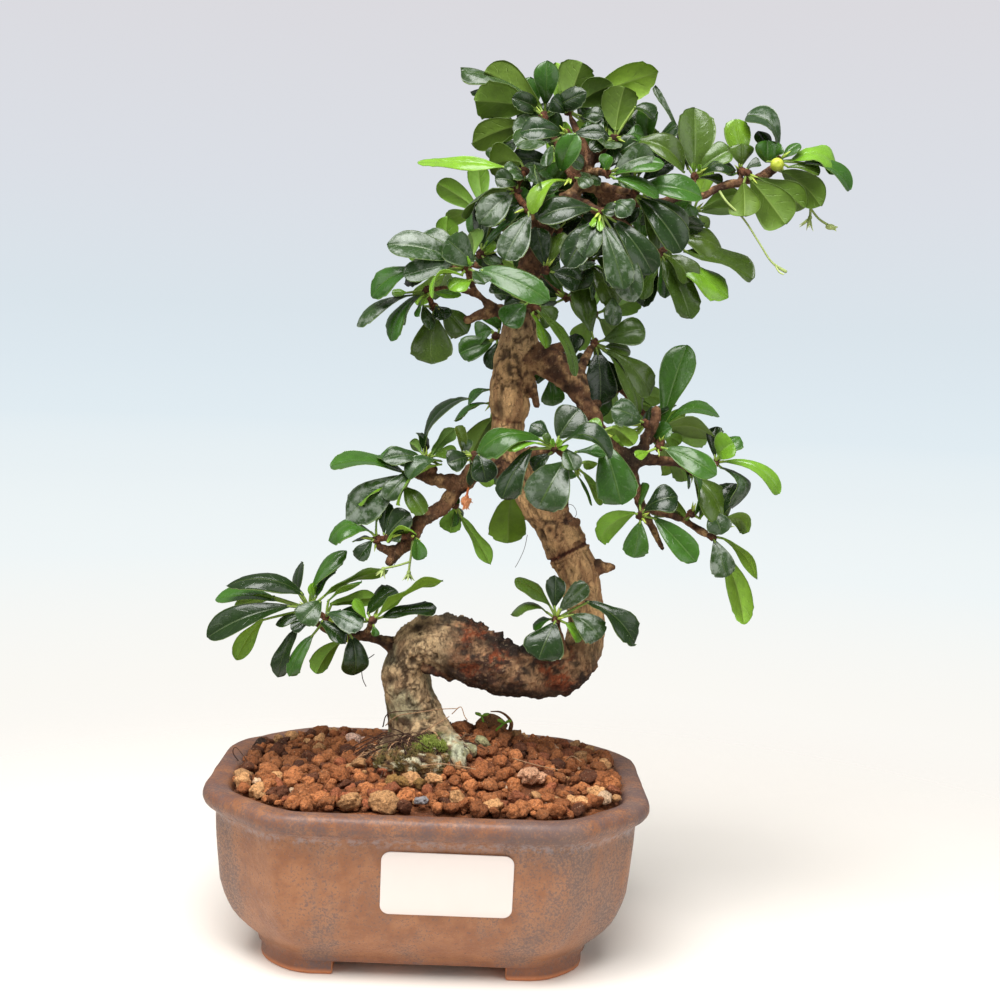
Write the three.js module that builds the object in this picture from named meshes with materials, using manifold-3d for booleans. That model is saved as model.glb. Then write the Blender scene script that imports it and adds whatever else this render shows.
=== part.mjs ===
// A small Fukien tea tree (Carmona) with an S-shaped trunk, growing in a shallow eight-sided glazed pot.
// Millimetres, +Z up, the front of the pot towards -Y, the long side of the pot along X.
import * as THREE from "three";
import { mergeVertices } from "three/addons/utils/BufferGeometryUtils.js";
import Module from "manifold-3d";

const wasm = await Module();
wasm.setup();

// Pot
const RIM_HALF_X = 75;
const RIM_HALF_Y = 58.5;
const FRONT_HALF_STRAIGHT = 48.5;
const SIDE_HALF_STRAIGHT = 31.5;
const STRAIGHT_LOSS = 0.414;
const CORNER_RADIUS = 26;
const POINTS_PER_CORNER = 4;
const POT_TOP = 56.5;
const POT_UNDERSIDE = 2.5;
const FOOT_BOTTOM = -2.5;
const FOOT_ROOT = 3;
const WALL_TOP = [45, 4.9];
const WALL_FOOT = [25, 6.9];
// [height, inset from the rim's outline], from the underside up the outside, over the lip, down to the floor
const POT_PROFILE = [
  [POT_UNDERSIDE, 19.5], [4.5, 19.5], [4.5, 18], [5.5, 18], [9, 14.4], [14, 10.9], [20, 8.3],
  WALL_FOOT, WALL_TOP, [49, 3.2], [50.5, 1], [52.5, 0], [55, 0.3], [POT_TOP, 1.5],
  [POT_TOP, 7.4], [55.6, 8.6], [50, 10.5], [22, 14.5], [10, 20], [7.5, 24],
];
const POT_FLOOR = 7.5;
const INNER_PROFILE = [[7.5, 24], [10, 20], [22, 14.5], [50, 10.5], [55, 8.9]];
const FOOT_OUTLINE = [
  [28.5, 38.2], [36.5, 38.2], [43, 36.2], [49.5, 30.6], [53.4, 24.4], [54.6, 18], [54.6, 12], [45.5, 12],
  [45.5, 17], [43, 22], [38.6, 26.6], [34, 29], [28.5, 29],
];
const DRAIN_X = 30;
const DRAIN_RADIUS = 8;
const MESH_SIDE = 24;
const MESH_THICKNESS = 0.8;
const MESH_HOLE = 4.8;
const MESH_PITCH = 7;
const MESH_HOLES_PER_SIDE = 3;

// Blank tag on the front wall
const TAG_WIDTH = 42;
const TAG_HEIGHT = 21;
const TAG_CORNER = 3;
const TAG_THICKNESS = 0.6;
const TAG_CENTRE = [8.1, 34.5];

// Soil: a mound round the trunk inside the rim
const GAP = 0.33;
const SOIL_EDGE = 55;
const MOUND_HEIGHT = 16;
const MOUND_CENTRE = [10, 2];
const MOUND_SPREAD = [40, 28];
const MOUND_RINGS = [0.9, 0.76, 0.6, 0.44, 0.28, 0.13];
const SOIL_ROUGHNESS = 1.1;
const SOIL_LIFT = 0.35;

// The photograph was taken from here; positions of the tree are read on the plane y = 0 and moved along
// the line of sight to the depth y that each row gives.
const EYE = new THREE.Vector3(11.8, -499.3, 196.5);

// Leaves
const PETIOLE_HALF_WIDTH = 0.4;
const PETIOLE_START = 1;
const LEAF_THICKNESS = 0.6;
const LEAF_DROOP = 0.12;
const BASE_DEPTH_SHARE = 0.3;
const NARROWEST_TURN = 0.5;
const WIDEST_LEAF = 15;
// [share of the blade's length, share of its width] at each section
const LEAF_SECTIONS = [[0.45, 0.36], [0.82, 0.5], [1, 0.22]];
// Leaves below the first length have one section less, and those below the second are left out
const SHORT_LEAF = 13;
const TINY_LEAF = 8.5;
const HUB_RADIUS = 2.4;
const STEM_RADIUS = 0.95;
const STEM_SIDES = 4;
const TWIG_SIDES = 4;
const BRANCH_SIDES = 5;
const TRUNK_SIDES = 9;
const INSCRIBED_SHARE = 0.577;

// The trunk: [x, depth y, z, radius] along its centre line
const TRUNK = [
  [-5, 6, 46, 11], [-5, 6, 56, 10.5], [-5, 5, 66, 10.5], [-5.5, 4, 74, 10], [-8.5, 2, 84, 8.6],
  [-9.5, 0, 93, 8.1], [-6, -2, 101, 8], [0, -4, 102.5, 8.5], [10, -5, 99.5, 10], [20, -6, 94.5, 9.2],
  [30, -6, 92.8, 8.3], [40, -5, 92, 7.5], [48, -4, 95.5, 7.2], [52, -3, 103, 6.6], [52.5, -2, 112, 6.3],
  [51, -1, 120, 6.4], [49, 0, 128, 7.2], [44.5, 1, 137, 7.2], [40, 2, 144.5, 7], [34.5, 3, 151, 6.4],
  [29, 4, 158, 5.2], [24.8, 5, 165, 5.7], [22.3, 5, 173, 5.6], [22, 5, 180.5, 5.7], [22.5, 5, 185.4, 7.2],
  [21.7, 5, 190, 6.3], [22.3, 5, 195, 6.4], [22.7, 5, 199, 6.5], [24.5, 5, 206, 7], [25, 4, 214, 6],
  [25.5, 3, 223, 4.6], [27, 2, 233, 4.2], [29.5, 1, 242, 3.8], [34, 0, 250, 3.2], [40, -1, 257, 2.8],
  [44.5, -1, 264, 2.6], [46, -1, 271, 1.8],
];

// Roots that spread into the soil, knobs of bark and the stumps of cut branches
const ROOTS = [
  [[-5, 2, 70, 5], [-12, -2, 66, 3.6], [-19, -6, 61, 2.6], [-24, -9, 55, 2]],
  [[-3, 2, 80, 5.2], [0, 0, 75, 4.8], [4.5, -3, 70, 3.8], [10, -8, 63, 3], [15, -13, 56, 2.2]],
  [[-4, -2, 71, 5.5], [-1, -11, 65, 4], [2, -18, 59, 2.8], [3, -23, 53, 2.2]],
  [[-6, 8, 73, 6], [-8, 16, 66, 4], [-9, 24, 58, 2.6]],
  [[-2, 8, 73, 6], [6, 14, 66, 4], [11, 20, 58, 2.6]],
  [[0, -4, 69, 5], [6, -11, 66.5, 4.6], [9, -16, 63.5, 3.6], [11, -19, 57, 2.4]],
];
const KNOBS = [
  [[11, -6, 102, 5], [15, -6.5, 105, 3], [19.5, -7, 105.4, 1.2]],
  [[-2, -6, 94, 3], [2, -7, 91.8, 1.9], [5.6, -7, 89.7, 1.4]],
  [[50, 0, 130, 5], [56, -1, 130.6, 2.6], [60.2, -1, 131, 1.2]],
  [[42, 0, 145, 4.5], [46.6, -1, 146, 1.9]],
  [[40, 0, 146, 3.2], [42.2, -1, 150, 2.4], [42.6, -1, 153.3, 2.1]],
  [[27, 3, 196, 3], [29.8, 2, 192, 1.8], [31.8, 2, 186.2, 1.2]],
  [[33, 3, 203, 3.4], [37, 3, 205.4, 2.1], [40.3, 3, 207.4, 1.6]],
  [[-3, -7, 162.5, 1.6], [-7, -8, 163, 2], [-10.3, -9, 163.3, 1.9]],
  [[20, 1, 216.5, 2.4], [15, -4, 217.5, 2.2], [10, -5, 215.5, 1.8], [6.5, -6, 213.8, 1.5]],
];

// Branches: [x, depth y, z, radius]
const BRANCHES = [
  [[24, 4, 163, 4.6], [17, -1, 164, 3.4], [12, -5, 163, 3], [8, -6, 158.5, 3.2], [4.5, -6, 154.5, 2.4],
    [1.5, -7, 150.5, 2.3], [-3, -8, 146.7, 2.3], [-7.4, -9, 143.5, 2.6], [-8.5, -10, 139.5, 2.2],
    [-12, -10, 135.8, 2.6], [-14.8, -10, 132.4, 1.8], [-16.7, -10, 129.6, 1.5]],
  [[24, 5, 203, 6.2], [32, 4, 202, 5.6], [39, 2, 198.5, 5], [44, 0, 194, 5.2], [47, -1, 189.5, 3.2],
    [50, -2, 185, 2.6], [53.5, -3, 179.5, 2.3], [57.5, -3, 173.5, 2.3], [62, -3, 170.5, 2.8],
    [66, -3, 169, 3.4]],
  [[66, -3, 168.5, 3.4], [68.5, -3, 171, 2.6], [70.5, -2, 177, 1.9], [72.5, -2, 183, 1.8],
    [73, -2, 186.2, 1.5]],
  [[66, -3, 170, 3], [66.5, -3, 163, 1.9], [68, -3, 157, 1.7], [70, -3, 151.5, 1.9], [72.8, -3, 146.8, 1.4],
    [75.5, -3, 142.2, 1.2], [77.6, -3, 138.4, 1]],
  [[43, -1, 262, 2.6], [49, -2, 260, 2.1], [55, -3, 258, 1.9], [61, -3, 257, 1.8], [67, -3, 256, 1.7],
    [72.3, -3, 257, 1.6], [77.7, -2, 259, 1.5], [83.7, -1, 259, 1.4], [90, -1, 262.3, 1.3],
    [96, -1, 264.2, 1.4], [101, -1, 265.4, 1.3], [106.8, -1, 267.8, 1.8]],
];

// Leafy shoots: name, twig [x, depth y, z, radius] that carries it, stem [x, depth y, z] and leaves
// [base x, base z, tip x, tip z, depth, seen width, turn in degrees, arch]
const SHOOTS = [
  ["low_left_outer",
    [[-14, -2, 100, 3.2], [-20, -3, 102.5, 2.1], [-25, -4, 103.5, 1.8], [-31, -5, 102.5, 1.6],
     [-36, -6, 104, 1.4], [-41, -6, 107, 1.1], [-44, -6, 112, 0.9]],
    [[-44, -6, 112], [-38, -9, 109], [-31, -9, 105.5]],
    [[-46, 117, -73, 119, -3, 6.6, 50, 5], [-55, 114.6, -76.7, 114, 4, 5, 60, 2],
     [-50, 113, -79, 100.5, -6, 9, 30, 4], [-56, 116, -70, 112, 2, 4, 150, 1],
     [-60, 108, -69, 93, 0, 6, 150, 2], [-40, 115, -47, 107, -8, 9, 10, 1],
     [-46, 110, -55.6, 106, -2, 4, 40, 1], [-43, 109, -50, 104.4, -4, 4, 30, 0.5],
     [-48, 105, -54, 87.5, 1, 6, 40, 2], [-42.5, 103, -50, 88, -1, 5.5, 40, 2],
     [-32, 102, -41, 89.3, 2, 6, 140, 2], [-29, 103, -27.5, 89.4, 0, 9.5, 25, 2],
     [-44, 117, -31.7, 133, 2, 4, 60, 3], [-48, 117, -47.3, 128.4, 6, 5, 70, 1],
     [-42, 116, -36, 128, 4, 3.5, 60, 1], [-43, 115, -43.7, 121, -2, 3, 60, 0.5],
     [-39, 117, -17.2, 126.8, -3, 5, 110, 2], [-38, 115, -26.4, 122.4, -4, 4, 100, 1],
     [-37, 114, -20.7, 117, 2, 5, 150, 1], [-38, 111, -25.4, 106.3, -8, 7.5, 25, 1.5],
     [-40, 108, -31, 100.2, -6, 5.5, 30, 1]]],
  ["low_left_inner",
    [[-25, -4, 103.5, 1.4], [-23.5, -9, 105.5, 1.1], [-22, -14, 109, 0.9]],
    [[-22, -14, 109]],
    [[-24, 109, -28.5, 116.4, 0, 3, 60, 0.5], [-20, 111, 2, 124, -3, 5.5, 105, 2],
     [-19.4, 110, 0, 113.5, 2, 5, 50, 1.5], [-21.5, 107, -21.2, 103.3, -2, 3, 40, 0.5],
     [-24, 111, -14, 120, 6, 6, 60, 1], [-25, 108, -33, 112, 6, 5, 60, 1]]],
  ["low_mid",
    [[46, -6, 97, 2.2], [44, -11, 104, 1.4], [42, -14, 112, 0.9]],
    [[42, -14, 112]],
    [[40, 116, 26.8, 125.2, -2, 5, 60, 2], [39, 114, 26, 112.8, -1, 6, 80, 4],
     [41, 116, 40.8, 127.4, 2, 7, 20, 1], [43, 115, 52, 125, -3, 6.5, 15, 1],
     [51.7, 118.8, 69.7, 104.4, -3, 7.5, 40, 4], [47, 114, 57.6, 105.8, -5, 9.4, 25, 2],
     [45, 111, 51.3, 105.2, 0, 6, 40, 1], [41.5, 111, 36.4, 97.4, -7, 14, 10, 1.5],
     [40, 112, 34, 110, 4, 4, 60, 0.5]]],
  ["left_spray",
    [[8, -6, 158.8, 2.4], [2, -7, 158.5, 2.6], [-4, -8, 158.5, 1.8], [-10, -9, 160.5, 0.9]],
    [[-10, -9, 160.5], [-7.2, -8.4, 163.3], [-5.6, -8, 165.8]],
    [[-6.5, 168, 8.4, 187.4, 2, 7, 75, 5], [-6.5, 168, -7.6, 174.8, 5, 4, 60, 1],
     [-7, 168, -11.4, 171.4, 3, 3.5, 130, 0.5], [-4, 167, 3.9, 177, -2, 4.5, 140, 1],
     [-3, 167, 5, 168.5, -3, 4, 60, 1], [-7, 166, -20.9, 165.1, -6, 6, 40, 2],
     [-13, 161, -38.5, 162, 0, 10, 70, 3], [-12, 163, -21.5, 166.5, 4, 5, 60, 1],
     [0, 165.5, -11.3, 158.6, -8, 4.5, 60, 3], [0, 164.5, -14.6, 149.4, -9, 2.5, 100, 4],
     [-12, 160, -32.5, 144, -2, 13, 20, 3], [-10.6, 161.2, -19, 151.3, -7, 6.5, 20, 1.5],
     [-18, 157, -27.9, 148.8, -5, 2.5, 80, 1], [-12.6, 156, -5.8, 146.5, -6, 7, 30, 1]]],
  ["left_tip",
    [[-12.5, -10, 135, 1.8], [-17, -10, 134, 1.7], [-20.5, -10, 134.8, 1.2], [-21.5, -10, 137.5, 0.9]],
    [[-21.5, -10, 137.5], [-17.5, -12, 138], [-9.5, -14.5, 139]],
    [[-19.2, 139, -18, 150.5, 2, 5, 20, 1], [-18.5, 138.5, -10.5, 147.3, -1, 8, 20, 1],
     [-22, 140.3, -21.3, 149.5, -2, 2.5, 80, 0.5], [-23, 139.5, -38, 136, -3, 6.5, 60, 5],
     [-23, 137, -27.7, 129.9, -4, 5.5, 15, 1], [-22.5, 138, -30, 136.2, 3, 3, 80, 0.5],
     [-18, 136.5, -8.2, 140.1, -6, 3.5, 120, 3], [-17, 137, -13, 139.5, -2, 4, 40, 0.5],
     [-8, 138.5, -7.1, 130.6, -3, 5, 40, 0.5]]],
  ["left_under",
    [[1.5, -7, 150.5, 1.6], [3.5, -5, 150.8, 1.2], [5, -2, 150.5, 0.9]],
    [[5, -2, 150.5]],
    [[4.8, 149.5, 3.7, 140.7, -1, 7.5, 165, 1], [5, 149.8, 7.2, 144.3, 3, 5, 60, 0.5],
     [7, 147, 18.3, 130.2, 0, 5, 150, 1], [5, 151, 6, 153.8, -2, 3, 60, 0.3]]],
  ["left_near",
    [[12, -5, 163, 1.6], [11.5, -11, 165.5, 1.1], [11, -16, 167.5, 0.9]],
    [[11, -16, 167.5]],
    [[9, 167.5, 1.8, 164.8, -6, 8, 10, 0.5], [12.5, 168.5, 15.5, 158.7, -5, 9, 10, 1],
     [9.8, 166, 10.3, 157.3, 1, 3, 50, 0.5], [12, 160.5, 18, 158, 5, 4, 165, 0.5],
     [7, 168.5, 4.4, 177.7, -2, 3.5, 60, 0.5], [8, 169, 7.5, 173.5, 1, 4, 40, 0.5]]],
  ["trunk_left_back",
    [[20, 8, 188, 1.8], [18, 10.5, 187.5, 1.1], [17, 13, 187, 0.9]],
    [[17, 13, 187]],
    [[16, 191, 8.2, 184.1, 3, 3.5, 70, 2], [15.4, 186, 3.7, 179.3, 2, 5, 90, 3],
     [16.4, 181, 10, 168.5, 0, 9, 160, 1], [18, 184, 26, 176, 5, 7, 40, 1], [18, 190, 28, 196, 6, 8, 40, 1]]],
  ["fork_back",
    [[34, 5, 200, 2.4], [37.5, 9, 199.5, 1.2], [40, 12, 199, 0.9]],
    [[40, 12, 199]],
    [[36, 196, 37.5, 186, 2, 8, 30, 1], [38, 198, 31, 194.5, 3, 5, 40, 1],
     [40, 200, 38.5, 206, 3, 6, 30, 1], [43, 200, 49, 203, 4, 6, 30, 1],
     [45, 199, 47.5, 190.5, 2, 3, 110, 1], [42, 201, 43.5, 211, 5, 8, 30, 1]]],
  ["centre_front",
    [[26, 2, 168, 2.4], [31, -6, 170, 1.7], [36, -15, 169.8, 1.4], [38.8, -24, 171.5, 0.9]],
    [[38.8, -24, 171.5], [43, -22, 168], [46, -19, 165.5]],
    [[34, 174, 12, 168.7, -3, 8.5, 45, 6], [33.5, 173, 21, 170.5, -7, 3, 70, 1.5],
     [31, 171.5, 21.3, 153.1, -5, 8.5, 25, 3], [42, 167, 33.7, 150.3, -9, 16, 5, 2],
     [37, 169.5, 31.3, 163.8, 1, 5.5, 20, 1], [39.5, 175, 46.5, 185.5, 3, 11.5, 15, 1],
     [37, 175, 30, 179.5, 2, 6.5, 20, 1], [37.5, 172.8, 34, 175.5, -3, 3, 40, 0.5],
     [39, 172, 41, 174.2, -3, 2, 40, 0.2], [38.5, 172, 37.2, 174.4, -3, 1.8, 40, 0.2],
     [40, 172, 43, 172.2, -4, 2, 50, 0.2], [41.5, 174, 57.8, 168.7, -7, 6.5, 50, 6],
     [42.3, 171.5, 45.9, 164.2, -8, 6.5, 10, 0.5], [45.6, 170.6, 56.4, 170.2, -2, 4, 45, 0.5],
     [44, 165, 43.5, 160.8, -1, 5, 40, 0.5], [46, 163.5, 52.4, 152.2, -1, 1.8, 80, 1],
     [49, 163.5, 55.5, 152.4, 0, 3.5, 150, 1], [49, 167.5, 52.5, 165.5, 4, 4, 140, 0.5]]],
  ["centre_big",
    [[54.5, -3, 178, 1.6], [54, -9, 178, 1.1], [54, -16, 177.5, 0.9]],
    [[54, -16, 177.5]],
    [[55, 175, 62.6, 153, -7, 14, 5, 3], [58, 180, 66, 174, 2, 6, 150, 1],
     [55, 178, 50, 181.5, 2, 4, 40, 0.5]]],
  ["trunk_back",
    [[27, 5, 160, 1.6], [26, 9, 158, 1.1], [24.5, 13, 156.5, 0.9]],
    [[24.5, 13, 156.5]],
    [[24, 154, 24, 137.9, 3, 13.5, 170, 2], [27, 154, 33, 147, 6, 7, 150, 1],
     [22, 157, 14, 163, 6, 7, 60, 1], [27, 158, 38, 163, 6, 8, 50, 1], [40, 155, 43.6, 146.5, 0, 3, 150, 1]]],
  ["right_inner",
    [[71.8, -2, 181, 1.3], [70.7, -5.5, 181.3, 1], [69.5, -9, 181.3, 0.9]],
    [[69.5, -9, 181.3]],
    [[68, 182, 57.3, 186, -5, 9.5, 25, 2], [66, 179, 55, 176, 5, 6, 160, 1],
     [67, 178, 58, 173.5, 5, 5, 165, 1], [67.5, 178, 64.5, 174.8, 2, 3, 60, 1]]],
  ["right_upper",
    [[70.8, -2, 175, 1.4], [72, 0.5, 175.5, 1], [73.5, 3, 176.5, 0.9]],
    [[73.5, 3, 176.5], [75, -2, 174.8], [74.5, -7, 173.4]],
    [[75, 180, 82.2, 208.9, 3, 11, 20, 1.5], [76, 181, 94.8, 185, -1, 5, 60, 5],
     [76, 180, 93.9, 177.7, -4, 8.5, 120, 3], [72.5, 176, 78.5, 180.5, -4, 6, 30, 1],
     [76, 178, 82, 175, 3, 5, 150, 1], [76.5, 173.2, 95, 164.6, -9, 9, 25, 2],
     [71, 171.8, 66.7, 169.8, -8, 3.5, 20, 0.3], [71, 180, 71, 187, 4, 6, 60, 1],
     [73, 183, 77, 188, 5, 6, 60, 2]]],
  ["right_mid",
    [[45, 1, 196, 2.4], [47, 6, 201, 1.7], [49, 9.5, 205.5, 1.3], [50.5, 12, 208.2, 0.9]],
    [[50.5, 12, 208.2]],
    [[49.6, 211, 44, 227, 0, 8.5, 30, 1], [53, 209, 67.5, 214, -3, 10, 20, 1],
     [54, 207, 63, 206, 2, 5, 60, 1], [54, 206.2, 70.4, 191, -2, 8, 40, 4],
     [53.5, 206, 67.2, 183.7, -6, 6, 60, 4], [51.8, 205, 53.5, 186.5, -4, 11.5, 15, 2],
     [54, 203, 59.5, 192, 0, 7, 30, 1], [51, 202, 53.5, 182.5, 3, 5, 60, 1]]],
  ["right_low_inner",
    [[70.5, -2, 152, 1.5], [78, 2, 150.5, 1.2], [84, 1.5, 149, 1.1], [87, -2.5, 151, 0.9]],
    [[87, -2.5, 151]],
    [[88.3, 150, 87, 165, 1, 5, 75, 2], [86, 148.5, 73, 152.3, 3, 8.5, 140, 4],
     [90, 149, 91.5, 154, 2, 3, 60, 0.5]]],
  ["right_low",
    [[84, 1.5, 149, 1.1], [89, 1, 145.8, 1.3], [92, -1, 144, 1.3], [94.6, -2, 143.2, 0.9]],
    [[94.6, -2, 143.2], [97, -1, 147]],
    [[97, 150, 101.5, 162, 2, 8, 30, 2], [94, 152, 98, 144, -5, 8.5, 25, 1],
     [99, 150, 107.2, 145.2, -2, 6.5, 120, 3], [95.5, 142, 100.5, 129.3, -5, 9, 10, 1],
     [98, 139, 107.7, 112.8, 0, 8.5, 150, 3], [98, 143, 111.3, 128.9, -2, 4, 130, 3]]],
  ["right_tip",
    [[66, -3, 169, 2.6], [70, -2, 169, 2.2], [76, -1, 168.8, 1.8], [82, 1, 168, 1.4], [86.6, 4, 165.2, 0.9]],
    [[86.6, 4, 165.2], [90.5, 1, 167.5], [94.3, -2, 168.8]],
    [[87.5, 163.5, 98.5, 147.4, -6, 10.5, 40, 3], [84, 167, 85.7, 159.4, 1, 2.5, 80, 0.5],
     [88, 164.5, 91.5, 161.5, 1, 3, 40, 0.5], [95, 171, 100.2, 176, -5, 9, 30, 1],
     [97, 169.5, 117, 159, -2, 5, 50, 5], [94, 171, 94, 181.4, 4, 5.5, 30, 1],
     [96, 171.5, 102.2, 178.3, 3, 6, 40, 1], [96, 167.5, 101.2, 153.3, 1, 6, 60, 8]]],
  ["right_hang",
    [[70, -3, 151.5, 1.9], [69.8, -5, 150.3, 1.2], [69.5, -7, 149.3, 0.9]],
    [[69.5, -7, 149.3]],
    [[67.5, 150.5, 55.5, 140.2, -2, 8.5, 150, 4], [69.4, 147.3, 68, 134.6, -3, 8.8, 10, 0.5],
     [74, 149.2, 89.5, 134, -5, 9, 20, 1], [70.3, 151, 82, 156.5, -3, 9.5, 30, 3],
     [69, 152.5, 69.5, 161, 4, 4, 60, 0.5]]],
  ["crown_left",
    [[20, 0, 217, 2.2], [15.5, -5, 218.5, 1.7], [10.5, -10, 222.5, 1.3], [7.5, -15, 226, 1.1],
     [5.5, -21, 231.5, 0.9]],
    [[5.5, -21, 231.5], [9, -20, 228]],
    [[2, 234, -21.7, 238.2, -3, 10, 35, 3], [4, 236, -11, 242, 4, 7, 40, 2],
     [8, 233, -1.5, 241, -6, 10.5, 15, 1], [1.5, 233, -15.6, 228.1, -6, 7, 20, 1],
     [0, 231, -15.2, 225.5, 4, 7, 50, 4], [-1, 229.5, -26.4, 220.5, 3, 6, 50, 6],
     [5, 233, 6, 235.5, -4, 4, 40, 0.3], [10, 231.3, 34.4, 221.8, -8, 9.5, 25, 3],
     [8, 231, 12.2, 226.6, -9, 5, 40, 0.5], [4.6, 229.2, -5.5, 221, -9, 2.2, 90, 5],
     [7, 227.5, 0, 224, -5, 5.5, 50, 1], [8, 236, 6.5, 244, 3, 5, 120, 1]]],
  ["crown_left_low",
    [[10.5, -10, 222.5, 1.3], [5, -12, 224, 1], [-1, -14, 224.5, 0.9], [-7.5, -14, 223.5, 0.9]],
    [[-7.5, -14, 223.5], [-5, -9, 217.8]],
    [[-11, 222, -31, 210.3, -2, 4, 60, 3], [-14, 222.5, -19.4, 221.7, -2, 2.5, 50, 0.3],
     [-10, 222, -19.3, 205.8, 0, 5, 60, 3], [-9, 222.5, -15, 211.3, -4, 2.5, 80, 1.5],
     [-7, 222, -10, 214.5, -6, 2.5, 80, 1], [-5, 216, -5.2, 198.5, -2, 14, 15, 1],
     [-8.5, 218.5, -6, 210.2, -6, 4, 50, 1], [-4, 218.5, -1, 213.8, -5, 6.5, 20, 0.5],
     [-2, 217.5, 6.5, 209.3, 2, 9, 30, 1], [-5, 223, 4.2, 222.3, -8, 3, 40, 0.5]]],
  ["crown_mid",
    [[26, -1, 221, 1.8], [27, -7, 220.8, 1.2], [27.5, -14, 220.8, 0.9]],
    [[27.5, -14, 220.8], [30, -12, 218.5]],
    [[26.5, 220.5, 19.5, 213, -6, 9, 15, 0.5], [28.5, 217.5, 33.9, 205.6, -5, 5, 70, 1],
     [30, 218.5, 44.5, 196.5, -5, 3.5, 60, 4], [27.5, 222.5, 28, 227, -2, 3.5, 40, 0.5],
     [31, 220, 36, 214, 4, 8, 30, 1], [25, 221, 19, 219, 3, 6, 30, 0.5], [22, 223, 14, 226, 3, 5, 30, 0.5]]],
  ["crown_left_back",
    [[21, 5, 209, 1.8], [19, 7.5, 209, 1.1], [17, 9.5, 209, 0.9]],
    [[17, 9.5, 209]],
    [[15.5, 207, 4.4, 202.6, 0, 9, 20, 1], [17.3, 207, 15.6, 197.5, -2, 5.5, 40, 1],
     [15.5, 211, 9.9, 208.7, 3, 8, 30, 1], [18, 211, 12, 218, 5, 7, 40, 1], [20, 210, 26, 217, 7, 8, 40, 1]]],
  ["crown_left_upper",
    [[26, 2, 229, 2.2], [18, -5, 232, 1.4], [13, -10, 234.5, 1], [10.3, -12, 236.5, 0.9]],
    [[10.3, -12, 236.5]],
    [[10.5, 239, 10.8, 256, 1, 6.5, 30, 1], [11, 238.5, 27.5, 253.5, -4, 3, 50, 2],
     [12, 237, 15, 241, -3, 4, 30, 0.5], [11, 235.5, 17, 233.5, -4, 4, 60, 0.5]]],
  ["crown_front_left",
    [[30, 0, 244, 1.9], [27.5, -9, 249, 1.2], [25.5, -18, 252.5, 0.9]],
    [[25.5, -18, 252.5], [21.5, -17, 258], [24, -12, 265]],
    [[26.5, 250.5, 18.5, 235, -7, 10, 20, 1.5], [20, 257.5, 9.5, 246.5, -3, 10, 20, 2],
     [19, 259, 3.9, 248.3, 3, 4, 100, 3], [23, 268, 11.7, 266.5, 2, 12, 150, 2],
     [18, 266, -12.4, 266.3, 0, 4.5, 60, 1], [22, 260, 14, 262, -5, 6, 30, 2],
     [24, 262, 16, 263.5, -6, 5, 60, 3], [25, 254, 17, 250, 2, 6, 40, 1]]],
  ["crown_front",
    [[40, -2, 257, 2.2], [45, -10, 255, 1.5], [49, -18, 253, 1.2], [50.5, -24, 252.3, 0.9]],
    [[50.5, -24, 252.3]],
    [[48, 253.5, 28.8, 249.3, -2, 8.5, 25, 4], [49, 250, 39.5, 233.2, -6, 9.5, 10, 2],
     [50, 249, 45.5, 237, -7, 8, 10, 1], [51.5, 248.5, 59.7, 226.7, -7, 9, 10, 2],
     [53.5, 248.5, 63.2, 222.6, -4, 10, 10, 3], [55, 250, 69.2, 232.6, -2, 9, 20, 3],
     [55, 256, 61.1, 252.3, -6, 7.5, 25, 2], [51, 253, 56, 253, -5, 4.5, 30, 1],
     [50, 251, 50.5, 246, -6, 2, 20, 0.3], [49, 251, 47.5, 247.5, -6, 2, 20, 0.3]]],
  ["crown_inner",
    [[28, 1, 236, 1.8], [31, -6, 233, 1.2], [32.6, -12, 232.2, 0.9]],
    [[32.6, -12, 232.2]],
    [[32, 234, 28.5, 246.5, 1, 8, 25, 1], [34, 235, 37.5, 245, 5, 6, 40, 1],
     [35, 231.5, 44.7, 229, 2, 9.5, 20, 1]]],
  ["crown_right_front",
    [[48, -2, 261, 1.8], [54, -7, 260.5, 1.4], [58.5, -11, 260, 1.1], [61.5, -14, 259.2, 0.9]],
    [[61.5, -14, 259.2]],
    [[63, 258, 78.8, 240.4, -4, 10.5, 25, 3], [64, 258.5, 79.5, 246, 3, 8, 40, 3],
     [62, 261, 84.7, 259, -2, 8, 40, 3], [61, 261, 66, 262.5, -4, 4, 40, 0.5],
     [63, 256.5, 71, 241, 4, 4, 60, 2]]],
  ["crown_back_right",
    [[29, 2, 238, 2.2], [37, 7, 238, 1.4], [43, 12, 237, 1], [46, 14, 236.5, 0.9]],
    [[46, 14, 236.5]],
    [[48, 235, 57, 221, -3, 9, 30, 1], [47.5, 235, 49, 222.5, -6, 3.5, 70, 1],
     [45, 234, 41, 226.5, -2, 6, 40, 1], [50, 237, 60, 231, 2, 8, 40, 1], [44, 238, 36, 243, 3, 7, 40, 1]]],
  ["crown_right_low",
    [[50, -2, 258, 1.8], [58, 1, 249.5, 1.4], [66, 3, 243, 1.2], [71.5, 4, 239.8, 0.9]],
    [[71.5, 4, 239.8], [76, 5, 243.5]],
    [[72.5, 238, 83, 217.8, -2, 10, 30, 2], [74, 238.8, 82.1, 230.4, -4, 8, 40, 2],
     [75, 237.5, 95.7, 225.6, -3, 8.5, 45, 2], [79.3, 240.6, 103.6, 232.1, -1, 9, 60, 2],
     [77, 245, 92.5, 241.7, 3, 10.5, 40, 3], [71, 238, 66.7, 221.1, 2, 8, 40, 1],
     [72, 237, 73.8, 224.4, 0, 5.5, 60, 1], [70.5, 238, 66, 223.5, -4, 4, 60, 1],
     [78, 247, 84.5, 250.8, 3, 6, 30, 2]]],
  ["top_left",
    [[43, -1, 262, 2], [37, -1, 271, 1.5], [32, -2, 279, 1.1], [29.5, -2, 283.3, 0.9]],
    [[29.5, -2, 283.3]],
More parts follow.
